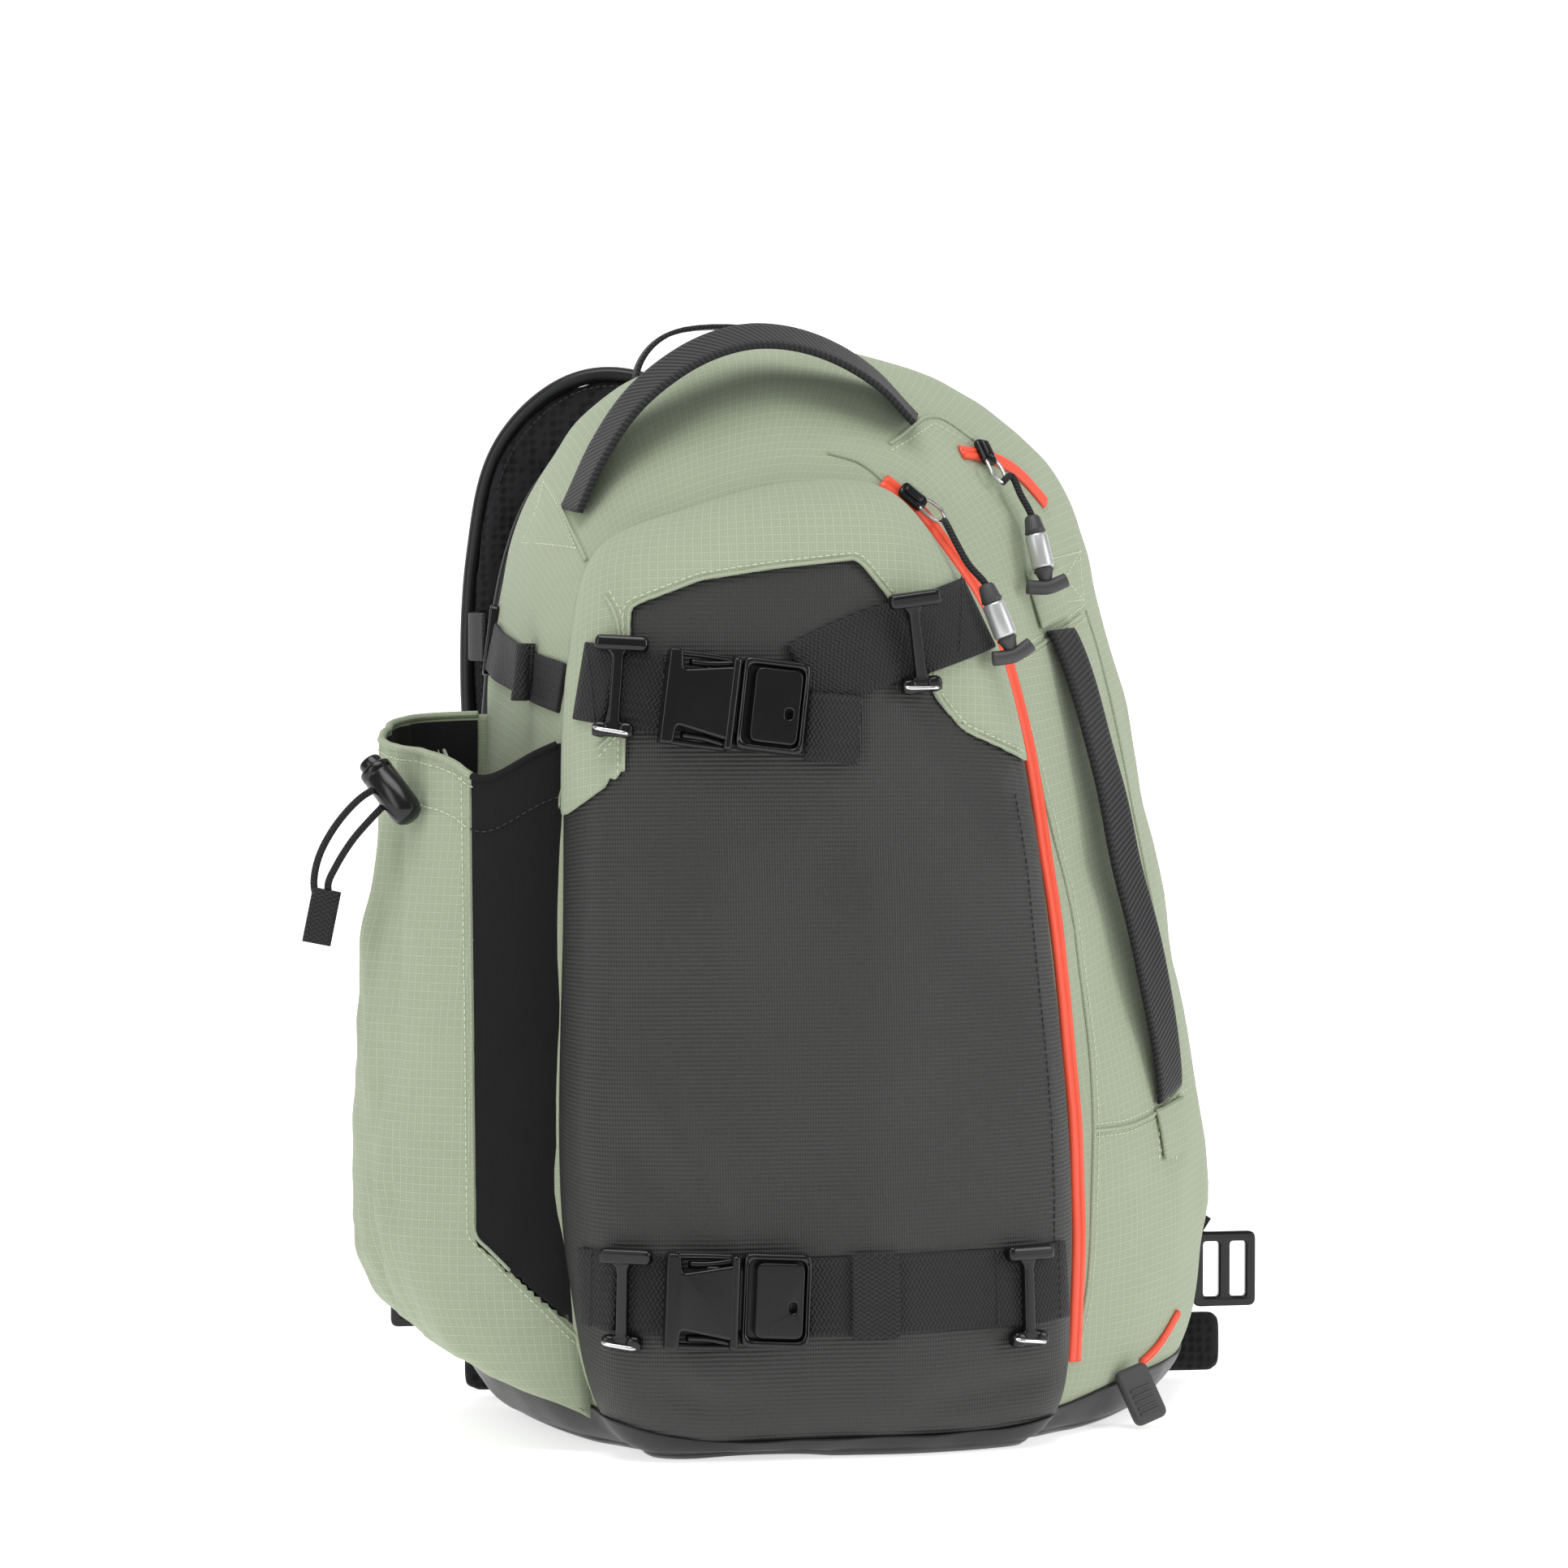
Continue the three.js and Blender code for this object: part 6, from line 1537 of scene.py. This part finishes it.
# %% Zips
# the tape's section with its groove, in widths across and thicknesses up
ZIP_SECTION = np.array([
    (-0.5, 0), (-0.5, 0.5), (-0.4, 0.85), (-0.2, 1), (-0.06, 0.95), (0, 0.35), (0.06, 0.95), (0.2, 1),
    (0.4, 0.85), (0.5, 0.5), (0.5, 0),
])
TOP_ZIP = [(0.195, 0.918), (0.235, 0.915), (0.28, 0.902), (0.325, 0.872)]
POUCH_ZIP = [(0.43, 0.055), (0.465, 0.068), (0.5, 0.095)]
seam_ring = outline_at(1, 2)
first, last = PLACES.index("top right") * 2, PLACES.index("right low") * 2 + 1
run = unit(np.roll(seam_ring, -1, 0) - np.roll(seam_ring, 1, 0))
ZIP_FROM_SEAM = 6.2
FRONT_ZIP = (seam_ring + np.stack([-run[:, 1], run[:, 0]], 1) * ZIP_FROM_SEAM)[first:last + 1]
# zip: its route and the width of its tapes
ZIPS = {
    "zip_front": (FRONT_ZIP, 8.0), "zip_top": ([(wide(x), high(z)) for x, z in TOP_ZIP], 6.4),
    "zip_pouch": ([(wide(x), high(z)) for x, z in POUCH_ZIP], 4.0),
}
for node, (route, width) in ZIPS.items():
    tape = laid_strap(node + "_tape", shell_tree, "front", route, width, 2.0, 0.2, times=6,
                      section=ZIP_SECTION[::-1] * (width, 2.0))
    hand_over(tape, FINISH["zip"], [node])
print("zips:", len(ZIPS))

# %% [markdown]
# The pull's grip hangs where its solid hangs. The long axis of the sleeve's solid gives the
# way it points, and the grip and the sleeve are turned about that axis as on a lathe. The
# cord runs from the ring to the grip a few millimetres off the cloth, at their height.

# %% Zip pulls
# zip: places where its cord lies on the cloth, as shares of width and height
PULLS = {
    "front": [(0.128, 0.838), (0.152, 0.803)], "top": [(0.252, 0.89), (0.263, 0.872)],
}
CORD_ABOVE_CLOTH = 7.4
GRIP = [(0.2, 0), (2.5, 0.1), (3.4, 1.2), (4.2, 6.4), (4.6, 7.4), (3.7, 8.2), (3.7, 23.8), (4.4, 24.4),
        (3.6, 25.6), (2.9, 28), (0.2, 31)]
SLEEVE = [(3.6, 8.5), (4.5, 8.7), (4.8, 9.6), (4.8, 22.4), (4.5, 23.3), (3.6, 23.5)]
cord_lines = {}
for place, spots in PULLS.items():
    axes, middle, size = frame_of(f"zip_slider_{place}", (0, -1, 0.2), (0.3, 0, -1))
    start = middle - axes[:, 0] * (size[0] / 2 - 6.5)
    base = -size[2] / 2
    body = [moulding([block(13, 8, 3)], 3.2, 1.2, (0, 0, base + 1.8)),
            moulding([block(9, 4.4, 2)], 3.4, 1.2, (-0.5, 0, base + 3.2))]
    slider = one_piece(f"zip_slider_{place}_body", body, axes, start)
    hand_over(slider, FINISH["plastic"], [f"zip_slider_{place}"])
    ring = [(3, 0, 1.6), (5, 2.9, 2.6), (9, 3.7, 3.1), (13.5, 3.3, 3.1), (16.6, 0, 3.1), (13.5, -3.3, 3.1),
            (9, -3.7, 3.1), (5, -2.9, 2.6), (3, 0, 1.6)]
    wires.append(tube_mesh([start + axes @ (np.array(p) + (0, 0, base)) for p in ring], 1.6, 0.8))
    sleeve_points = np.array([v.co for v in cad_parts[f"zip_sleeve_{place}"].data.vertices]) / MM
    centre = sleeve_points.mean(0)
    _, _, ways = np.linalg.svd(sleeve_points - centre)
    spans = np.ptp((sleeve_points - centre) @ ways.T, axis=0)
    axis = ways[np.argmax(spans)]
    axis = axis * -np.sign(axis[2])
    head = centre - axis * 16
    side = unit(np.cross(axis, (0, -1, 0)))
    grip = one_piece(f"zip_grip_{place}_body", [
        lathe_mesh(GRIP, head, axis),
        tube_mesh([head + axis * 30 - side * 8.6, head + axis * 31.2 - side * 4, head + axis * 31.8,
                   head + axis * 31.2 + side * 4, head + axis * 30 + side * 8.6], 6.2, 0.8, 14),
    ], even=False)
    hand_over(grip, FINISH["rubber"], [f"zip_grip_{place}"])
    sleeve = one_piece(f"zip_sleeve_{place}_ring", [lathe_mesh(SLEEVE, head, axis)], even=False)
    hand_over(sleeve, FINISH["sleeve"], [f"zip_sleeve_{place}"])
    ring_end = start + axes @ np.array((16.6, 0, base + 3.1))
    lay = []
    for x, z in spots:
        point, normal = seat(front_tree, "front", wide(x), high(z))
        lay.append(point + normal * CORD_ABOVE_CLOTH)
    cord_lines[f"zip_cord_{place}"] = ([ring_end, *lay, head, head + axis * 8], [grip, sleeve])
print("pulls made")

# %% [markdown]
# The cord lock is a turned barrel with a spring button at its upper end. The button rides
# its own body, so that it can be pressed; it is drawn longer than what shows, as its foot
# stays in the barrel. Both drawcords leave the barrel and end in a tab of webbing.

# %% Cord lock, drawcords and tab
LOCK = middle_of("cord_lock_barrel")
LOCK_AXIS = unit(np.array([0.52, -0.42, -0.74]))
BARREL = [(0.2, 0), (5.2, 0), (5.2, -14), (6.4, -14), (7, -13.4), (7, -10.6), (6.5, -10), (7, -9.4),
          (7, 8.4), (6.6, 10.2), (5.6, 12.4), (3.6, 13.8), (0.2, 14)]
BUTTON = [(0.2, -4.5), (3.2, -4.5), (4.3, -4.1), (4.9, -3.2), (4.9, 8), (0.2, 8)]
barrel = one_piece("cord_lock_barrel_body", [lathe_mesh(BARREL, LOCK, LOCK_AXIS)], even=False)
hand_over(barrel, FINISH["plastic"], ["cord_lock_barrel"])
barrel_mouth = LOCK - LOCK_AXIS * 14
button = one_piece("cord_lock_button_body", [lathe_mesh(BUTTON, barrel_mouth, LOCK_AXIS)], even=False)
hand_over(button, FINISH["plastic"], ["cord_lock_button"], body="lock_button")
# the drawcords' ways, from the middle of the lock
STRANDS = [
    [(-4, 0, -5), (-9, -1, -10), (-17, -2, -19), (-24, -2, -30), (-27.2, -2, -37.5)],
    [(-6, 0, 3), (-14, -1, -2), (-24, -2, -13), (-31, -2, -26), (-33, -2, -37)],
]
TAB_TILT = 0.2
tab_middle = middle_of("drawcord_tab")
tilt = np.array((math.sin(TAB_TILT), 0, math.cos(TAB_TILT)))
tab_route = [tab_middle - tilt * 11.4, tab_middle, tab_middle + tilt * 11.4]
tab = free_strap("drawcord_tab_web", tab_route, 12, 2.8, step=1.0)
hand_over(tab, FINISH["webbing"], ["drawcord_tab"])
for k, (strand, across) in enumerate(zip(STRANDS, (2.8, -2.8))):
    sewn_in = tab_middle + tilt * 6 + (across, 0, 0)
    cord_lines[f"drawcord_{k + 1}"] = ([*(LOCK + np.array(strand)), sewn_in], [tab])

# %% [markdown]
# Each cord is a tube swept along a smooth line through its corners. The same line, spaced a
# millimetre a step, is worked out beside it, but nothing uses it.

# %% Cords
CORD_THICKNESS = 3.0
for node, (corners, with_pieces) in cord_lines.items():
    line = evenly(curve_through(corners), 1.0)
    cord = one_piece(node + "_braid", [tube_mesh(corners, CORD_THICKNESS, 1.0, 12)], even=False)
    hand_over(cord, FINISH["cord"], [node])
wire = one_piece("bright_wires", wires, even=False)
hand_over(wire, FINISH["steel"])

# %% [markdown]
# Spare webbing is rolled up on the load strap. A strap that follows a spiral shows its
# layers at both ends, as a real roll does.

# %% Rolled keeper and the band on the lower strap
ROLL_TURNS = 2.6
roll_at = middle_of("rolled_keeper")
turns = np.linspace(0, ROLL_TURNS * 2 * math.pi, 60)
reach = 1.4 + 2.9 * turns / turns[-1]
spiral = roll_at + np.stack([-reach * np.cos(turns), reach * np.sin(turns), 0 * turns], 1)
keeper_tilt = np.array((0.12, 0.1, 1.0))
ahead = unit(np.gradient(spiral, axis=0))
acrosses = np.broadcast_to(unit(keeper_tilt), spiral.shape)
acrosses = unit(acrosses - ahead * (acrosses * ahead).sum(1, keepdims=True))
outs = unit(np.cross(ahead, acrosses))
roll = strap_piece("rolled_keeper_web", spiral, acrosses, outs, flat_section(24, 1.1))
hand_over(roll, FINISH["webbing"], ["rolled_keeper"])
band = laid_strap("strap_band", front_tree, "front", [(7, 50.5), (7, 67.5), (7, 84.5)], 20, 1.2, LAYER + 0.5)
hand_over(band, FINISH["webbing"])

# %% [markdown]
# ## Seams, piping and hems
# A sewn bag reads as sewn through its seams: a rounded fold where two panels meet, a turned
# hem on every free edge, and rows of stitches beside both. A fold is a thin tube half sunk
# in the cloth. The same lines that place the folds are used again for the stitches.


# %% Helpers for seams
def on_cloth(tree, view, places, lift=0.2, bend=True):
    """A line on a surface, from places seen in one view."""
    path = evenly(curve_through(places) if bend else np.array(places, float), 1.5)
    spots = [seat(tree, view, a, b) for a, b in path]
    outward = unit(evened(np.array([normal for _, normal in spots]), 3))
    return evened(np.array([point for point, _ in spots]), 2) + outward * lift


def beside(places, away):
    """The same flat line moved sideways, to the left of the way it runs."""
    path = evenly(np.array(places, float), 2.0)
    run = unit(np.gradient(path, axis=0))
    return path + np.stack([-run[:, 1], run[:, 0]], 1) * away


def raised_folds(name, lines, diameter, finish):
    """One piece of folds along lines; a long line is thinned out before it is swept."""
    thinned = [line[::4] if len(line) > 12 else line for line in lines]
    made = one_piece(name, [tube_mesh(line, diameter, 1.5, 8) for line in thinned], even=False)
    return hand_over(made, finish)


YOKE_HEM = beside(YOKE_BORDER[1:], 0.7)
# seams of the shell as places in the front view
BESIDE_ZIP = [(59, 343), (68, 323), (84, 296), (94, 261), (103, 227), (108, 193), (112, 159), (112, 125),
              (110, 91), (107, 57), (102, 41)]
UPPER_FLAP = [(73, 330), (86, 328), (105, 336), (127, 346)]
LOWER_FLAP = [(112, 127), (130, 127), (147, 130), (167, 140)]
SHOULDER_SEAM = [(29, 416), (53, 429), (73, 417)]
LEFT_SHOULDER = [(-108, 390), (-105, 378), (-101, 365)]
ABOVE_ZIP = [(31, 392), (24, 400), (15, 408), (2, 412)]
BEHIND_HANDLE = [(127, 346), (133, 330), (141, 290), (152, 230), (165, 150)]
SHELL_SEAMS = [BESIDE_ZIP, UPPER_FLAP, LOWER_FLAP, LEFT_SHOULDER, SHOULDER_SEAM, ABOVE_ZIP, BEHIND_HANDLE]
YOKE_SEAM = [(-99, 352), (-95, 343), (-94, 320), (-95, 300), (-104, 289)]
shell_lines = [on_cloth(shell_tree, "front", places) for places in SHELL_SEAMS]
yoke_line = on_cloth(front_tree, "front", YOKE_SEAM)
raised_folds("sage_folds", shell_lines + [yoke_line], 1.8, FINISH["ripstop"])
hem_line = on_cloth(front_tree, "front", YOKE_HEM, 0.1, bend=False)
raised_folds("yoke_hem", [hem_line], 1.7, FINISH["ripstop"])
print("seams:", len(shell_lines) + 2)


# %% [markdown]
# The bottle pocket's wall is a grid, so a line on it is a row of columns at one distance
# below the rim. The rim's hem is a round tube there. A dark sheet of knit, the same wall set in
# a little further than its thickness, is painted shade that darkens the pocket's mouth.

# %% Rim, painted shade in the mouth, and seam of the bottle pocket
def on_wall(columns, below_rim, lift):
    """A line on the bottle pocket's wall at a distance below its rim, in millimetres."""
    wanted = bottle_grid[-1, columns, 2] - below_rim
    spots = [[np.interp(z, bottle_grid[:, c, 2], bottle_grid[:, c, k]) for k in range(3)]
             for c, z in zip(columns, wanted)]
    return np.array(spots) + bottle_normals[-1, columns] * lift


bottle_normals = grid_normals(bottle_grid)
if bottle_normals[MIDDLE_ROW, BOTTLE_COLUMNS // 2, 0] > 0:
    bottle_normals = -bottle_normals
split = int(np.argmin(np.abs(bottle_grid[-1, :front_third, 0] - KNIT_BORDER[0][0])))
knit_columns, cloth_columns = np.arange(2, split + 1), np.arange(split, BOTTLE_COLUMNS - 2)
rim_cloth = evened(on_wall(cloth_columns, 0.2, -0.6), 6)
rim_knit = evened(on_wall(knit_columns, 0.2, -0.6), 4)
cloth_rim = one_piece("bottle_rim", [tube_mesh(rim_cloth[::3], 3.4, 1.5, 10)], even=False)
hand_over(cloth_rim, FINISH["ripstop"])
knit_rim = one_piece("knit_rim", [tube_mesh(rim_knit[::3], 3.2, 1.5, 10)], even=False)
hand_over(knit_rim, FINISH["knit"])
# a dark knit sheet just inside the upper wall: painted shade that darkens the pocket's mouth
shaded_span = (slice(MIDDLE_ROW, -1), slice(3, BOTTLE_COLUMNS - 3))
mouth_shade_grid = bottle_grid[shaded_span] - bottle_normals[shaded_span] * 2.2
mouth_shade = grid_piece("bottle_mouth_shade", mouth_shade_grid, bottle_uv[shaded_span])
turn_out(mouth_shade, (-400, 0, 150))
hand_over(mouth_shade, FINISH["knit"])
bottle_tree = tree_of(bottle, knit)
edge_x = KNIT_BORDER[0][0] - 1
knit_edge = [(edge_x, 286), (edge_x, 90), (KNIT_BORDER[1][0] - 2, 51), (-74, 16)]
knit_fold = on_cloth(bottle_tree, "front", knit_edge, 0.0, bend=False)
raised_folds("knit_seam", [knit_fold], 1.6, FINISH["ripstop"])
print("rim columns:", len(cloth_columns), len(knit_columns))

# %% [markdown]
# Piping is a cord sewn into the edge of a pad. It follows the same middle line and breadth
# as the straps' solids, so the line is given again here, with rows of stitches beside it.

# %% Piping of the shoulder straps and the back panel
# across from the middle and up, as shares of width and height; back as a share of depth;
# breadth as a share of the strap's width; share of the drop of the right strap
HARNESS = np.array([
    (-0.11, 0.01, 0.84, 0.95, 0.3), (-0.145, 0.07, 0.925, 1, 0.75), (-0.21, 0.17, 0.943, 1, 1),
    (-0.272, 0.27, 0.905, 1, 1), (-0.298, 0.315, 0.82, 1, 0.8), (-0.306, 0.32, 0.7, 1, 0.5),
    (-0.3, 0.3, 0.575, 0.92, 0.25), (-0.285, 0.26, 0.445, 0.8, 0), (-0.27, 0.21, 0.345, 0.62, 0),
])
HARNESS_WIDTH, HARNESS_DROP = 62, 36
# how far inside a strap's edge its piping and its stitches run
PIPING_IN, STITCHES_IN = 4.5, 10
piping, strap_edges = [], []
for side in (-1, 1):
    x, y, z, breadth, drop = HARNESS.T
    places = np.stack([HARNESS_MIDDLE - side * wide(x), REAR + y * DEPTH,
                       high(z) - (HARNESS_DROP * drop if side > 0 else 0), breadth], 1)
    line = curve_through(places)
    ahead = unit(np.gradient(line[:, :3], axis=0))
    across = unit(np.stack([ahead[:, 2], 0 * ahead[:, 0], -ahead[:, 0]], 1))
    out = unit(np.cross(ahead, across))
    # the first few points lie inside the back panel and are left out
    middles, breadths, across, out = line[6:, :3], line[6:, 3:], across[6:], out[6:]
    for edge in (-1, 1):
        piping.append(middles + across * breadths * edge * (HARNESS_WIDTH / 2 - PIPING_IN))
        stitch_line = middles + across * breadths * edge * (HARNESS_WIDTH / 2 - STITCHES_IN)
        strap_edges += [stitch_line + out * face * 5.4 for face in (-1, 1)]
panel_ring = resized(outline_at(0, 4), -4)
panel_back = np.full(len(panel_ring), BACK + 9.0)
piping.append(np.stack([panel_ring[:, 0], panel_back, np.maximum(panel_ring[:, 1], 5)], 1))
pipes = one_piece("black_piping", [tube_mesh(line, 7.0, 3.0, 12) for line in piping], even=False)
hand_over(pipes, FINISH["boot"])
print("piping rows:", len(piping))

# %% [markdown]
# ## Stitches
# A stitch is tiny and there are many hundreds, which suits Geometry Nodes well. The
# tree takes lines, drops a point every stitch, sets one small capsule on each, turned along
# the line, and makes them real. Its pitch, length and thickness are named inputs, so sage
# thread, dark thread and bartacks are the same tree with other numbers.

# %% The stitch tree
STITCHES = bpy.data.node_groups.new("stitch_rows", "GeometryNodeTree")
STITCH_INPUTS = [("Lines", "NodeSocketGeometry"), ("Pitch", FLOAT), ("Stitch length", FLOAT),
                 ("Thickness", FLOAT), ("Thread", "NodeSocketMaterial")]
for label, kind in STITCH_INPUTS:
    STITCHES.interface.new_socket(name=label, in_out="INPUT", socket_type=kind)
STITCHES.interface.new_socket(name="Stitches", in_out="OUTPUT", socket_type="NodeSocketGeometry")
source, sink = STITCHES.nodes.new("NodeGroupInput"), STITCHES.nodes.new("NodeGroupOutput")
as_curve = put(STITCHES, "GeometryNodeMeshToCurve", Mesh=source.outputs["Lines"])
dots = put(STITCHES, "GeometryNodeCurveToPoints", {"mode": "LENGTH"}, Curve=as_curve.outputs[0],
           Length=source.outputs["Pitch"])
SEGMENTS, RINGS = 6, 5
capsule = put(STITCHES, "GeometryNodeMeshUVSphere", Segments=SEGMENTS, Rings=RINGS, Radius=0.5)
thickness = source.outputs["Thickness"]
shape = put(STITCHES, "ShaderNodeCombineXYZ", X=thickness, Y=thickness, Z=source.outputs["Stitch length"])
turned = put(STITCHES, "FunctionNodeAlignRotationToVector", {"axis": "Z"}, Vector=dots.outputs["Tangent"])
sewn = put(STITCHES, "GeometryNodeInstanceOnPoints", Points=dots.outputs["Points"],
           Instance=capsule.outputs["Mesh"], Rotation=turned.outputs[0], Scale=shape.outputs[0])
real = put(STITCHES, "GeometryNodeRealizeInstances", Geometry=sewn.outputs[0])
dyed = put(STITCHES, "GeometryNodeSetMaterial", Geometry=real.outputs[0], Material=source.outputs["Thread"])
smooth = put(STITCHES, "GeometryNodeSetShadeSmooth", Geometry=dyed.outputs[0])
STITCHES.links.new(smooth.outputs[0], sink.inputs[0])


PITCH, STITCH_LENGTH = 3.0, 2.3


def stitched(name, lines, thread, thickness):
    """Rows of stitches along lines of points in millimetres, as one mesh."""
    points, edges = [], []
    for line in lines:
        start = len(points)
        points += (np.asarray(line) * MM).tolist()
        edges += [(start + k, start + k + 1) for k in range(len(line) - 1)]
    mesh = bpy.data.meshes.new(name)
    mesh.from_pydata(points, edges, [])
    rows = new_object(name, mesh)
    sewing = rows.modifiers.new("stitches", "NODES")
    sewing.node_group = STITCHES
    values = {"Pitch": PITCH * MM, "Stitch length": STITCH_LENGTH * MM, "Thickness": thickness * MM,
              "Thread": thread}
    for item in STITCHES.interface.items_tree:
        if item.item_type == "SOCKET" and item.in_out == "INPUT" and item.name in values:
            sewing[item.identifier] = values[item.name]
    applied(rows)
    print(name, "stitches:", len(rows.data.polygons) // (SEGMENTS * RINGS))
    return hand_over(rows, thread)


# %% [markdown]
# Sage thread runs beside most seams of the ripstop. A box with a cross is sewn by each end
# of the side handle, and a small triangle on the left shoulder.

# %% Sage stitches
def shell_row(places, away=0.0):
    """A row of stitches on the shell, beside places in the front view."""
    return on_cloth(shell_tree, "front", beside(places, away), 0.15, bend=False)


CROSS_TOP = [(104, 368), (126, 372), (126, 351), (104, 349)]
CROSS_LOW = [(149, 112), (150, 137), (161, 135), (160, 110)]
sage_rows = [on_cloth(front_tree, "front", beside(YOKE_BORDER[1:], 2.8), 0.25, bend=False)]
sage_rows += [on_cloth(front_tree, "front", beside(YOKE_SEAM, 2.5), 0.25, bend=False)]
sage_rows += [shell_row(BESIDE_ZIP, 3.0), shell_row(UPPER_FLAP, -2.6), shell_row(UPPER_FLAP, 2.6),
              shell_row(LOWER_FLAP, 2.6), shell_row(LOWER_FLAP, -2.6), shell_row(SHOULDER_SEAM, -2.6)]
for corners in (CROSS_TOP, CROSS_LOW):
    loop = corners + corners[:1]
    sage_rows += [shell_row(loop[k:k + 2]) for k in range(4)]
    sage_rows += [shell_row([corners[0], corners[2]]), shell_row([corners[1], corners[3]])]
triangle = [(-120, 375), (-111, 401), (-105, 372), (-120, 375)]
sage_rows += [on_cloth(shell_tree, "front", triangle[k:k + 2], 0.15, bend=False) for k in range(3)]
sage_rows += [on_wall(cloth_columns, 22, 0.3), on_wall(cloth_columns, 4.5, 0.3)]
sage_rows += [on_cloth(bottle_tree, "front", beside(knit_edge, -2.6), 0.3, bend=False)]
stitched("sage_stitches", sage_rows, FINISH["thread"], 0.55)

# %% [markdown]
# Dark thread runs down the right side of the pocket, under the knit's hem and along the
# shoulder straps. Short rows across the webbing are the bartacks that hold each strap.

# %% Dark stitches and bartacks
first, last = PLACES.index("right middle") * 4 - 2, PLACES.index("right low") * 4 + 2
right_side = resized(outline_at(1, 4), -9)[first:last]
TACK_HALF = 14.5
dark_rows = [on_cloth(front_tree, "front", right_side, 0.2, bend=False), on_wall(knit_columns, 22, 0.3)]
dark_rows += strap_edges


def across_strap(x, z, tilt):
    """A row right across a strap, leaning as the strap does."""
    ends = [(x - TACK_HALF * tilt, z + TACK_HALF), (x + TACK_HALF * tilt, z - TACK_HALF)]
    return on_cloth(front_tree, "front", ends, 2.4, bend=False)


TACKS = [
    (-104, 316.5, 0.05), (-76, 311, 0.09), (21, 329, -0.14), (48, 344, -0.1), (-106, 71, 0),
    (-75, 69.5, 0), (60, 68.5, 0), (88, 69, 0),
]
dark_rows += [across_strap(x, z, tilt) for x, z, tilt in TACKS]
stitched("dark_stitches", dark_rows, FINISH["dark thread"], 0.7)
print("seams sewn")

# %% [markdown]

# %% [markdown]
# ## Studio
# The bag stands on a pale floor that sweeps up behind it, so there is no horizon. Product
# light is large and soft: a wide panel above, one at each side and a pale room, which
# leaves a soft shadow under the bag and long gentle highlights on the plastic.

# %% Floor and lights
# the sweep's profile: flat from the front, round at the back, then straight up
CURVE_AT, CURVE = 2.2, 1.4
bend = [(CURVE_AT + CURVE * math.sin(t), CURVE - CURVE * math.cos(t)) for t in np.linspace(0, math.pi / 2, 16)]
sweep_line = [(-3.5, 0.0)] + bend + [(CURVE_AT + CURVE, 6.0)]
sweep_points = np.array([[(x, y, z) for x in np.linspace(-6, 6, 3)] for y, z in sweep_line]) / MM
sweep = grid_piece("studio_floor", sweep_points, sweep_points[..., :2] * MM)
turn_out(sweep, (0, 0, -1000))
floor_finish, _, floor_shader = new_finish("pale_floor", 0.7, specular=0.2)
floor_shader.inputs["Base Color"].default_value = (0.9, 0.9, 0.9, 1)
floor_shader.inputs["Emission Color"].default_value = (1, 1, 1, 1)
floor_shader.inputs["Emission Strength"].default_value = 0.65
sweep.data.materials.append(floor_finish)

world = bpy.data.worlds.new("pale_room")
bpy.context.scene.world = world
world.use_nodes = True
world.node_tree.nodes["Background"].inputs["Color"].default_value = (1, 1, 1, 1)
world.node_tree.nodes["Background"].inputs["Strength"].default_value = 0.3


def soft_light(name, place, aim, size, watts):
    """A large soft panel at a place, turned to face another."""
    data = bpy.data.lights.new(name, "AREA")
    data.shape = "RECTANGLE"
    data.size, data.size_y = size
    data.energy = watts
    lamp = new_object(name, data)
    lamp.location = place
    lamp.rotation_mode = "QUATERNION"
    lamp.rotation_quaternion = (Vector(aim) - Vector(place)).to_track_quat("-Z", "Y")


soft_light("top_panel", (-0.3, -0.6, 2.2), (0, 0.1, 0.2), (1.6, 1.2), 27)
soft_light("left_panel", (-1.9, -1.3, 1.0), (0, 0, 0.25), (0.8, 1.6), 12)
soft_light("right_panel", (1.9, -1.1, 1.0), (0, 0, 0.25), (0.8, 1.6), 18)
bpy.context.scene.view_settings.view_transform = "Standard"
